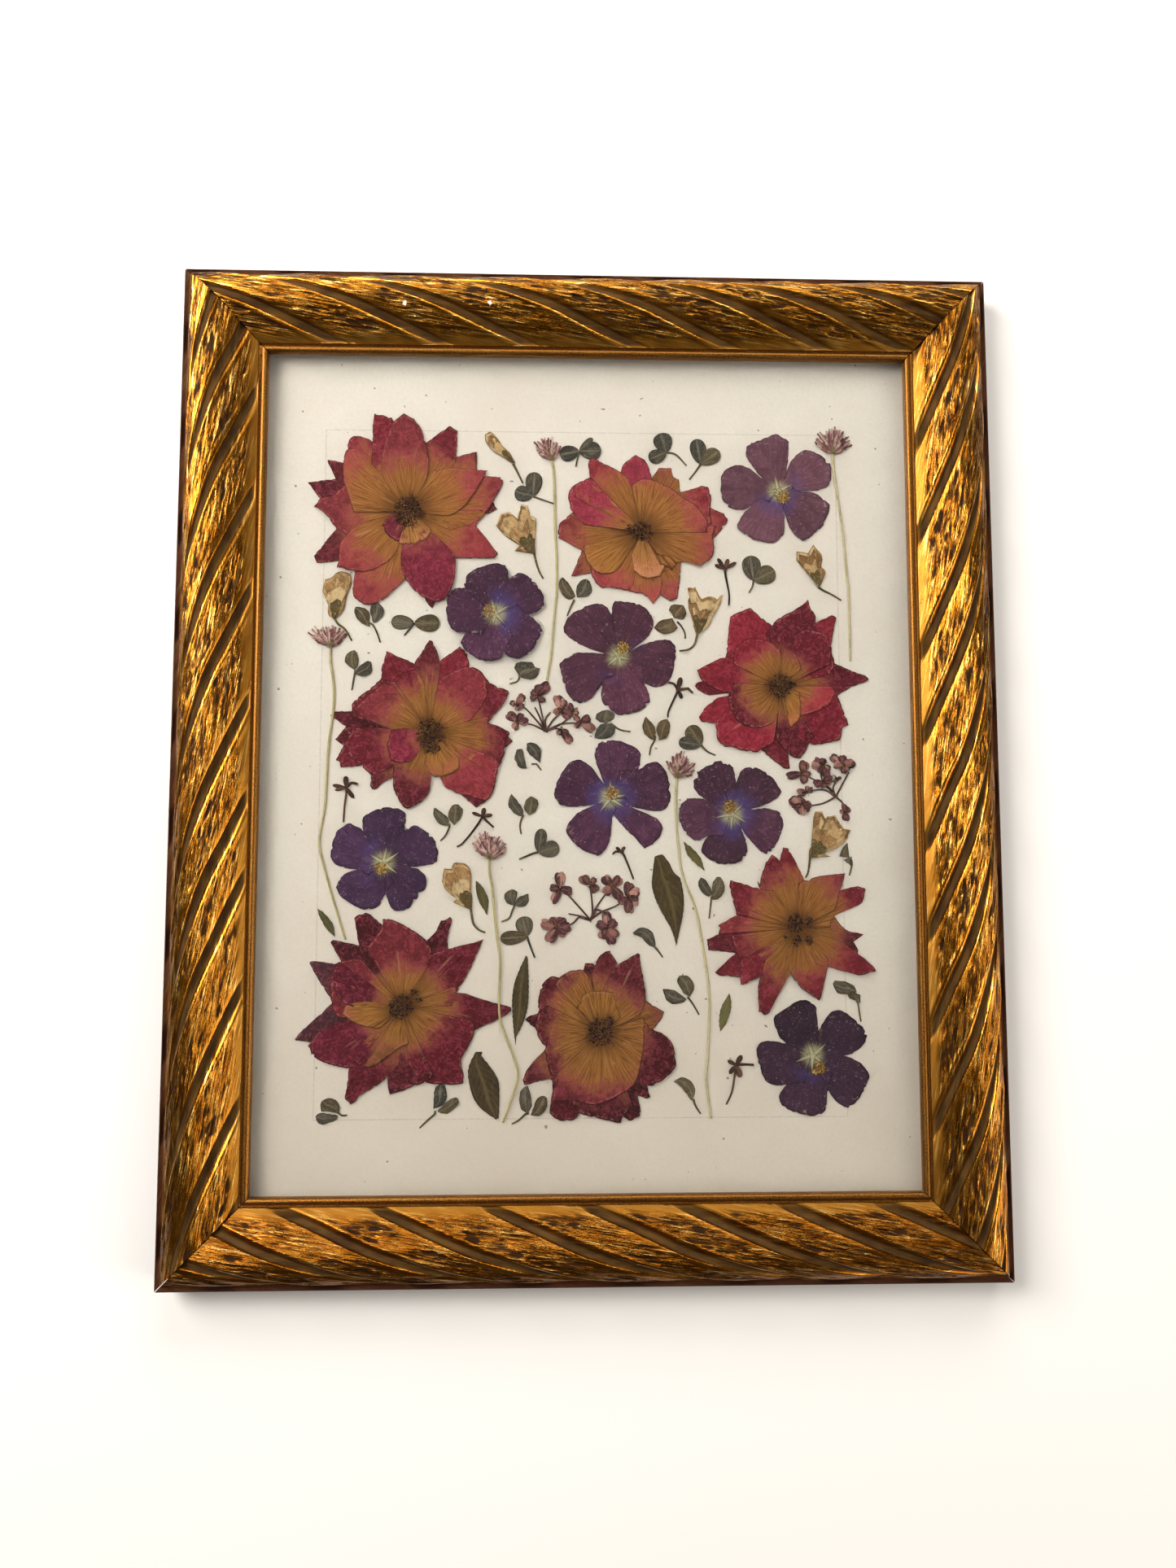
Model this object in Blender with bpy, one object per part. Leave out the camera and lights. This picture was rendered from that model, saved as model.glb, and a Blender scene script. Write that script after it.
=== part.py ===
"""Pressed flowers under glass in a carved and gilded wooden frame, lying on its back.

The frame is a mitred moulding carved as a twisted rope. Its rabbet holds the glass, a sheet of
paper with the pressed plants, and a backing board that framer's points keep in. The plants lie on
the paper in up to three layers. +X runs along the top rail, +Y points to the top rail, +Z comes
out of the glass, and the origin is under the middle of the frame on its back. Everything is
written in millimetres and scaled to metres when a mesh is made.
"""

import math

import bmesh
import bpy
from mathutils import Vector

MM = 0.001

# Driving dimensions: an 11 x 14 in picture size, with a lip over its edges.
SIGHT_WIDTH = 266.7
SIGHT_HEIGHT = 342.9
RAIL_WIDTH = 34.925
HALF_WIDTH = SIGHT_WIDTH / 2 + RAIL_WIDTH
HALF_HEIGHT = SIGHT_HEIGHT / 2 + RAIL_WIDTH
RABBET_INSET = RAIL_WIDTH - 7.95
RABBET_HEIGHT = 10.4
GAP = 0.3
MITRE_GAP = 0.3

# Sheets, from the glass down to the back.
GLASS = (279.4, 355.6, 2.0)
PAPER = (278.0, 354.2, 0.4)
BOARD = (278.6, 354.8, 3.0)
GLASS_TOP = RABBET_HEIGHT - GAP
BOARD_TOP = 5.1
PAPER_TOP = 5.8
POINT_TOP = BOARD_TOP - BOARD[2] - GAP

# The three layers that the plants lie in, bottom and top.
LOW = (PAPER_TOP + GAP, PAPER_TOP + GAP + 0.4)
MIDDLE = (LOW[1] + GAP, LOW[1] + GAP + 0.4)
HIGH = (MIDDLE[1] + GAP, GLASS_TOP - GLASS[2] - GAP)


# ---------------------------------------------------------------- scene, materials, small tools

for old in list(bpy.data.objects):
    bpy.data.objects.remove(old, do_unlink=True)


def material(name, colour, roughness, metallic=0.0, transmission=0.0):
    """A Principled material; colour is sRGB, 0 to 255."""
    made = bpy.data.materials.new(name)
    made.use_nodes = True
    shader = made.node_tree.nodes["Principled BSDF"]
    linear = [(c / 255) ** 2.2 for c in colour]
    shader.inputs["Base Color"].default_value = (*linear, 1)
    shader.inputs["Roughness"].default_value = roughness
    shader.inputs["Metallic"].default_value = metallic
    shader.inputs["Transmission Weight"].default_value = transmission
    made.diffuse_color = (*linear, 1)
    return made


def add_object(name, mesh, look):
    mesh.materials.append(look)
    made = bpy.data.objects.new(name, mesh)
    bpy.context.scene.collection.objects.link(made)
    return made


def mesh_from(bm, name):
    """The finished mesh, in metres, with its faces turned out."""
    bmesh.ops.recalc_face_normals(bm, faces=bm.faces)
    bmesh.ops.scale(bm, vec=(MM, MM, MM), verts=bm.verts)
    mesh = bpy.data.meshes.new(name)
    bm.to_mesh(mesh)
    bm.free()
    return mesh


def slab(bm, outline, bottom, top):
    """A flat piece: the outline, in mm, extruded from one height to the other."""
    floor = bm.faces.new([bm.verts.new((x, y, bottom)) for x, y in outline])
    raised = bmesh.ops.extrude_face_region(bm, geom=[floor], use_keep_orig=True)
    corners = [v for v in raised["geom"] if isinstance(v, bmesh.types.BMVert)]
    bmesh.ops.translate(bm, vec=(0, 0, top - bottom), verts=corners)


def add_slab(name, outline, layer, look):
    bm = bmesh.new()
    slab(bm, outline, *layer)
    return add_object(name, mesh_from(bm, name), look)


def box_outline(width, height, centre=(0, 0)):
    x, y = centre
    return [(x + width / 2 * i, y + height / 2 * j) for i, j in ((-1, -1), (1, -1), (1, 1), (-1, 1))]


def cutter(name, outline, layer):
    """A hidden helper that a Boolean joins to a piece or takes from it."""
    bm = bmesh.new()
    slab(bm, outline, *layer)
    made = bpy.data.objects.new(name, mesh_from(bm, name))
    bpy.context.scene.collection.objects.link(made)
    made.hide_render = True
    made.display_type = "WIRE"
    return made


def boolean(target, other, operation):
    modifier = target.modifiers.new(other.name, "BOOLEAN")
    modifier.operation = operation
    modifier.solver = "EXACT"
    modifier.object = other


# ---------------------------------------------------------------- moulding

# The carved face in section, from the inner ends of the strands out over the crown to the back:
# distance in from the outer face, height above the back, and how much of the carving shows there.
CARVED_FACE = (
    (31.4, 14.2, 0.15),
    (27.8, 16.8, 0.8),
    (22.3, 20.3, 1.0),
    (16.8, 22.8, 1.0),
    (11.8, 23.6, 1.0),
    (7.0, 22.2, 1.0),
    (3.6, 18.8, 1.0),
    (2.1, 14.8, 0.6),
    (0.0, 14.1, 0.0),
    (0.3, 4.5, 0.0),
)
# The rest of the section: the back, the rabbet, the lip, the sight bead and the channel behind it.
PLAIN_FACE = (
    (0.6, 0.0),
    (RABBET_INSET, 0.0),
    (RABBET_INSET, RABBET_HEIGHT),
    (RAIL_WIDTH, RABBET_HEIGHT),
    (RAIL_WIDTH, 13.4),
    (RAIL_WIDTH - 1.15, 14.2),
    (RAIL_WIDTH - 2.25, 14.0),
    (RAIL_WIDTH - 2.85, 13.2),
)
TWIST = math.radians(25)
PITCH = 40.0
# How far round the section the carving goes.
CARVED_WIDTH = 37.0
# One strand across, as shares of the pitch from the middle of one groove to the next.
STRAND = ((0.0, -2.3), (0.15, 0.0), (0.85, 0.0))
RUN_OUT = 110.0

# Where the grooves meet the inner edge, along each rail, clockwise seen from the front.
GROOVES = {
    "top": (-104, -60.5, -24, 21, 60.5, 100, 134),
    "right": (-134, -94, -45, -10, 34, 71, 109, 148),
    "bottom": (-116, -77, -36, 1, 40, 84, 122),
    "left": (-134, -89, -45, -13, 26, 72, 113, 155),
}


def groove_line(tips, half_length):
    """The tips, carried on at the mean pitch past both ends of the rail."""
    line = list(tips)
    while line[0] > -half_length - PITCH:
        line.insert(0, line[0] - PITCH)
    while line[-1] < half_length + RUN_OUT + PITCH:
        line.append(line[-1] + PITCH)
    return line


def groove_run(along):
    """How far along the rail a groove has run: it slants by the twist and flattens past the crown."""
    along = min(along, CARVED_WIDTH)
    return along / math.tan(TWIST) + 0.04 * max(along - 14, 0) ** 2


def rail_section():
    """For each point of the section: inset, height, carving share, run-out of the twist, normal."""
    points = [(d, z, share) for d, z, share in CARVED_FACE] + [(d, z, 0.0) for d, z in PLAIN_FACE]
    rows = []
    along = 0.0
    for i, (d, z, share) in enumerate(points):
        if 0 < i < len(CARVED_FACE):
            along += math.dist((d, z), points[i - 1][:2])
        before, after = points[i - 1], points[(i + 1) % len(points)]
        tangent = Vector((after[0] - before[0], after[1] - before[1])).normalized()
        normal = Vector((tangent.y, -tangent.x))
        rows.append((d, z, share, groove_run(along), normal))
    return rows


def rail_mesh(name, tips, length, reach):
    """A rail along X, mitred at both ends. Its outer face is at Y = reach."""
    bm = bmesh.new()
    line = groove_line(tips, length / 2)
    section = rail_section()
    rings = []
    for start, end in zip(line, line[1:]):
        for share, relief in STRAND:
            t = start + share * (end - start)
            ring = []
            for d, z, carving, run_out, normal in section:
                lift = relief * carving
                ring.append(bm.verts.new((t - run_out, reach - d - normal.x * lift, z + normal.y * lift)))
            rings.append(ring)
    for left, right in zip(rings, rings[1:]):
        for i in range(len(left)):
            j = (i + 1) % len(left)
            bm.faces.new((left[i], left[j], right[j], right[i]))
    for side in (-1, 1):
        corner = (side * (length / 2 - MITRE_GAP / math.sqrt(2)), reach, 0)
        whole = bm.verts[:] + bm.edges[:] + bm.faces[:]
        bmesh.ops.bisect_plane(bm, geom=whole, plane_co=corner, plane_no=(side, -1, 0), clear_outer=True)
    bmesh.ops.holes_fill(bm, edges=[e for e in bm.edges if e.is_boundary], sides=0)
    bmesh.ops.dissolve_limit(bm, angle_limit=math.radians(0.3), verts=bm.verts, edges=bm.edges)
    return mesh_from(bm, name)


GILT = material("gilded_wood", (190, 130, 45), 0.42, 0.35)
RAILS = {}
for side, length, reach, turn in (
    ("top", 2 * HALF_WIDTH, HALF_HEIGHT, 0),
    ("right", 2 * HALF_HEIGHT, HALF_WIDTH, -90),
    ("bottom", 2 * HALF_WIDTH, HALF_HEIGHT, 180),
    ("left", 2 * HALF_HEIGHT, HALF_WIDTH, 90),
):
    rail = add_object("rail_" + side, rail_mesh("rail_" + side, GROOVES[side], length, reach), GILT)
    rail.rotation_euler.z = math.radians(turn)
    RAILS[side] = rail


# ---------------------------------------------------------------- glass, paper, board, fixings

def add_sheet(name, size, top, look):
    return add_slab(name, box_outline(size[0], size[1]), (top - size[2], top), look)


add_sheet("glass", GLASS, GLASS_TOP, material("glass", (235, 240, 236), 0.03, 0.0, 1.0))
add_sheet("mounting_paper", PAPER, PAPER_TOP, material("paper", (228, 218, 200), 0.9))
add_sheet("backing_board", BOARD, BOARD_TOP, material("greyboard", (150, 138, 118), 0.92))

STEEL = material("steel", (150, 150, 148), 0.35, 1.0)
POINT_THICKNESS = 0.7
POINT_OUTLINE = ((5.5, 0), (0, 4.5), (-9, 4.5), (-11, 2), (-11, -2), (-9, -4.5), (0, -4.5))
POINT_SLOT = (7.0, 10.0)
# Which rail each point is driven into, and how far along the rail it sits.
POINTS = (("left", -90), ("left", 90), ("top", 0), ("right", 90), ("right", -90), ("bottom", 0))


def on_rail(side, along, outward):
    """A place near a rail's rabbet wall, by the distance along the rail and outward from the wall."""
    x, y = HALF_WIDTH - RABBET_INSET + outward, HALF_HEIGHT - RABBET_INSET + outward
    return {"top": (along, y), "bottom": (along, -y), "left": (-x, along), "right": (x, along)}[side]


for number, (side, along) in enumerate(POINTS, 1):
    outline = []
    slot = []
    for outward, across in POINT_OUTLINE:
        outline.append(on_rail(side, along + across, outward))
    depth, width = POINT_SLOT
    for outward, across in ((-3, -width / 2), (depth, -width / 2), (depth, width / 2), (-3, width / 2)):
        slot.append(on_rail(side, along + across, outward))
    layer = (POINT_TOP - POINT_THICKNESS, POINT_TOP)
    add_slab(f"framers_point_{number}", outline, layer, STEEL)
    cut = cutter(f"slot_{number}", slot, (layer[0] - GAP, layer[1] + GAP))
    boolean(RAILS[side], cut, "DIFFERENCE")

# A sawtooth hanger, sunk into the back of the top rail so that the frame lies flat.
HANGER_Y = HALF_HEIGHT - 12.5
HANGER = (44.0, 9.0)
HANGER_LAYER = (1.7, 2.7)
TOOTH = 3.0


def hanger_outline():
    half, rise = HANGER[0] / 2, HANGER[1] / 2
    points = [(-half, -rise), (-half, rise), (half, rise), (half, -rise), (15, -rise)]
    x = 12.0
    while x > -12:
        points += [(x, -1.0), (x - TOOTH / 2, 0.8)]
        x -= TOOTH
    points += [(-12, -1.0), (-15, -rise)]
    return [(x, HANGER_Y + y) for x, y in points]


add_slab("sawtooth_hanger", hanger_outline(), HANGER_LAYER, STEEL)
for name, size, depth in (("hanger_pocket", (46.0, 11.0), 3.0), ("hook_pocket", (27.0, 10.0), 5.0)):
    boolean(RAILS["top"], cutter(name, box_outline(*size, (0, HANGER_Y)), (-1, depth)), "DIFFERENCE")


# ---------------------------------------------------------------- flattened flowers

# Outlines are in mm from the middle of the sight opening, x to the right and y up, with a point at
# each tip, each notch between petals and each bend. The second entry is the stamens: middle, radius.
ROSES = (
    (LOW, (-75.5, 106, 5.8), (
        (-90.6, 141), (-90, 147.8), (-84, 146.5), (-82, 145), (-77.5, 148), (-72, 144.3),
        (-68.4, 135.6), (-58.4, 143), (-55.1, 141), (-55.5, 129.6), (-47, 132), (-46.8, 124.8),
        (-42.2, 123.7), (-44, 121.5), (-37, 121), (-36, 118.4), (-40, 110.4), (-38.3, 107.3),
        (-42, 105.3), (-47, 100.3), (-37.8, 88.5), (-39, 86.2), (-55.3, 86.3), (-57.5, 71),
        (-63.5, 68.2), (-65, 64.8), (-69.4, 70.3), (-76.3, 77), (-81.3, 71.9), (-86.3, 67.5),
        (-92, 66), (-96.6, 68.8), (-97.8, 80.3), (-104.7, 81.7), (-104, 84.6), (-113, 83.6),
        (-114, 86.8), (-105, 98.5), (-110, 104.8), (-114.3, 107.5), (-112, 111), (-117.2, 118),
        (-105.6, 119.6), (-109.7, 127.8), (-103, 126.8), (-102.8, 130), (-101.3, 131.8),
        (-99, 133), (-100, 137), (-98.4, 138.4), (-90.6, 136),
    )),
    (LOW, (23, 99.6, 5.4), (
        (13.5, 123.7), (14.6, 127), (19.9, 131.5), (24.4, 128.4), (26.8, 121.2), (29.9, 126),
        (35.2, 125.8), (35.8, 122), (38.2, 121), (39.3, 115.6), (48.2, 118.2), (51.3, 117.3),
        (51.9, 114), (51.3, 107.4), (57.9, 106), (58.3, 102.4), (52.4, 97), (52.9, 91.5),
        (51.6, 87), (46.9, 83.4), (39.8, 85.3), (38.5, 81), (38.2, 75.3), (37, 69.5),
        (34.3, 68.6), (29.9, 71.6), (27.1, 67.2), (23.3, 71.3), (17.1, 72.6), (8.9, 74.3),
        (5.8, 73.8), (2.4, 77), (1.1, 80.1), (-7.3, 78.7), (-2, 89.3), (-12.8, 95.4),
        (-12.3, 101), (-5.8, 105), (-8, 109), (-8.3, 114), (-6, 117.8), (0.5, 121.2),
        (0, 127.8), (1.8, 129.8),
    )),
    (LOW, (80.2, 33.2, 5.6), (
        (59.4, 62.3), (63.5, 64.4), (67.8, 66.1), (72.3, 62.2), (76.9, 58.4), (79.1, 61.3),
        (86, 65), (89.8, 67.5), (92.3, 69.7), (93, 66.3), (95.1, 63.1), (95.2, 59.8),
        (102.3, 63.3), (104, 62.2), (102.9, 56.9), (101.6, 48.8), (102.9, 42.8), (110.4, 39.4),
        (116, 37.5), (117.3, 35.9), (115.1, 34.7), (110.1, 32.8), (103.8, 29.2), (105.1, 25.6),
        (108.5, 16.6), (105.7, 15.9), (104.6, 10.3), (96, 8.6), (91.3, 8.4), (90.1, 5.6),
        (87.9, 2.8), (85.4, 3.1), (82.6, 5), (82.3, 2.5), (83.5, -1.6), (81.6, -1.8), (79.1, 0),
        (75.4, 2.8), (71.5, 6.3), (69.8, 5.3), (65.4, 5.3), (59.1, 7.5), (56.9, 7.2),
        (54.1, 9.4), (52.8, 13.1), (52.9, 17.2), (46.9, 17.8), (45.8, 19.7), (48.5, 23.8),
        (51.9, 26.6), (50.1, 29.1), (45.1, 31.6), (44.3, 32.8), (44.8, 34.1), (47.3, 35),
        (45.2, 39.5), (54.8, 44.4), (57.3, 45), (58.2, 53.1),
    )),
    (MIDDLE, (-66, 14, 6.2), (
        (-71.9, 41.6), (-65.9, 51.4), (-64.7, 50.9), (-61.4, 42.5), (-53.4, 48.8), (-51.3, 47.5),
        (-49.7, 44.4), (-49.4, 41.3), (-44.1, 38.1), (-41.8, 32.5), (-38.3, 32.3), (-33.3, 30.6),
        (-32.8, 29.4), (-35.1, 25), (-41.2, 17.1), (-37, 15.6), (-32.6, 13.1), (-32.6, 10.9),
        (-31.3, 9.5), (-33.9, 7.1), (-34.8, 3.1), (-37.3, -1.9), (-38.3, -9.3), (-39.2, -13),
        (-41.9, -15.2), (-44.4, -16.8), (-45.9, -18.1), (-52.2, -12.7), (-58.8, -9.4),
        (-60.9, -9.9), (-64.4, -4.6), (-65, -10.8), (-67.8, -15.1), (-73.1, -18.3),
        (-74.7, -18.4), (-76.9, -16.1), (-79.8, -9.9), (-80, -5.5), (-83.8, -7.7),
        (-87.5, -10.6), (-89.4, -10.2), (-88.9, -5.2), (-92.8, -2.1), (-93.1, -0.9),
        (-101.4, -1.6), (-101.7, 0.6), (-103.6, 1.3), (-101.3, 5.6), (-100.3, 7.5),
        (-103.9, 9.9), (-99.7, 15.3), (-106.1, 19.7), (-105, 21.4), (-96.6, 21.9), (-97.2, 23.1),
        (-96.6, 25.6), (-89.1, 31.9), (-85.6, 35), (-85.6, 38.8), (-84.7, 41.9), (-83.4, 46.6),
        (-81.8, 45.9),
    )),
    (LOW, (-75, -98.5, 6.2), (
        (-95, -62.4), (-94.1, -61.4), (-91.3, -60.8), (-88.8, -61.4), (-83.4, -65.8),
        (-83.4, -63.6), (-81.9, -62.9), (-76.3, -64.9), (-70, -68.6), (-65.6, -72.1),
        (-60.9, -67.1), (-60, -63.9), (-58.4, -63.9), (-56.3, -62.4), (-55.5, -64.3),
        (-56.9, -69.9), (-56.9, -75.3), (-44.4, -72.3), (-42.8, -71.4), (-45, -76.7),
        (-48.8, -85.1), (-53.4, -92.9), (-49.4, -93.3), (-42, -95.8), (-36.4, -97.3),
        (-31.6, -98.6), (-31.4, -100.1), (-34.8, -102.8), (-45.9, -107.8), (-48.1, -113.9),
        (-51.3, -119.8), (-50.3, -125.1), (-50.3, -128.6), (-51.3, -129.3), (-65.6, -128.3),
        (-79.4, -133.1), (-80.1, -131.4), (-80.4, -125.8), (-85, -129.5), (-91.9, -133.6),
        (-93.1, -135.8), (-95, -136.8), (-97.5, -134.5), (-96.6, -128.3), (-95.9, -122.3),
        (-100, -122), (-108.8, -118.9), (-112.5, -114), (-111.3, -112.3), (-117.2, -111.5),
        (-117, -109.8), (-109.4, -102.6), (-102.8, -96.4), (-109.7, -86.1), (-112.5, -80.8),
        (-110.6, -80), (-102.8, -81.1), (-100.3, -79.6), (-103.6, -74), (-104.4, -72.3),
        (-103.4, -71.7), (-93.8, -73.7),
    )),
    (LOW, (4.5, -109, 6.3), (
        (-20.4, -99.5), (-20.1, -94.5), (-18.9, -90.1), (-16.7, -87.3), (-14.5, -86.4),
        (-12, -87), (-7.9, -84.5), (-5.1, -83.9), (-2.3, -84.2), (-1.4, -81.4), (1.4, -81.1),
        (2.4, -82.3), (3.6, -79.5), (6.1, -76.9), (8.6, -76.4), (11.8, -82), (19.9, -77.1),
        (20.8, -77.5), (21.3, -83.3), (22.7, -90.1), (23, -96.1), (30.6, -100.9),
        (30.2, -102.3), (26.1, -107.9), (29.9, -109.5), (33.6, -113.3), (35, -118.3),
        (35, -122.6), (32.4, -125.8), (27.4, -129.5), (23.6, -130), (24.7, -134.8),
        (23.6, -135.3), (19.6, -133.9), (20.8, -139.5), (20.7, -142), (17.7, -143.7),
        (14.6, -142.9), (12.7, -144.8), (8, -143.9), (-3.6, -140.8), (-5.8, -143.3),
        (-10.8, -143.8), (-15.1, -141.7), (-15.8, -139.5), (-14.6, -131.1), (-17.3, -127.7),
        (-25.8, -129.8), (-27, -126.7), (-22, -120.1), (-17.9, -116.1), (-18.6, -113.3),
        (-21.4, -107.6), (-25.6, -103.8), (-24.5, -102.6), (-20.4, -101.1),
    )),
    (LOW, (86.2, -67.2, 6.5), (
        (48.2, -71.8), (52.9, -69.8), (53.8, -67.4), (52.8, -66.1), (60.4, -61.8),
        (57.6, -49.9), (58, -47.6), (70.1, -51.1), (70.7, -46.8), (72.9, -40.5), (75.7, -37.2),
        (78.5, -39.9), (80.1, -34.3), (82.3, -34.6), (85.1, -39.9), (88.8, -47.7),
        (90.4, -47.7), (94.1, -46.1), (105.7, -44.9), (103.5, -51.8), (109.8, -50.3),
        (114, -51.1), (112.3, -56.8), (108.5, -58.9), (100.7, -62.7), (100.7, -64.6),
        (105.4, -67.7), (112.8, -69.8), (108.5, -72.8), (110.5, -76.4), (110.1, -77.5),
        (116, -82.6), (117.4, -84.7), (114.1, -85.8), (110.4, -86.3), (104.1, -84.8),
        (97.6, -82.9), (96, -89.5), (94.4, -95.8), (93.6, -96.6), (91.3, -94.8), (86, -90.8),
        (82.3, -85.4), (76.6, -95.1), (72.9, -101.7), (71.6, -102.2), (69.1, -100.8),
        (68.9, -90.8), (70.1, -86.7), (62.9, -90.1), (61.9, -89.8), (61.6, -87), (53.5, -86.3),
        (51.5, -85), (59.8, -77.3), (48.8, -76.1),
    )),
)

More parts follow.
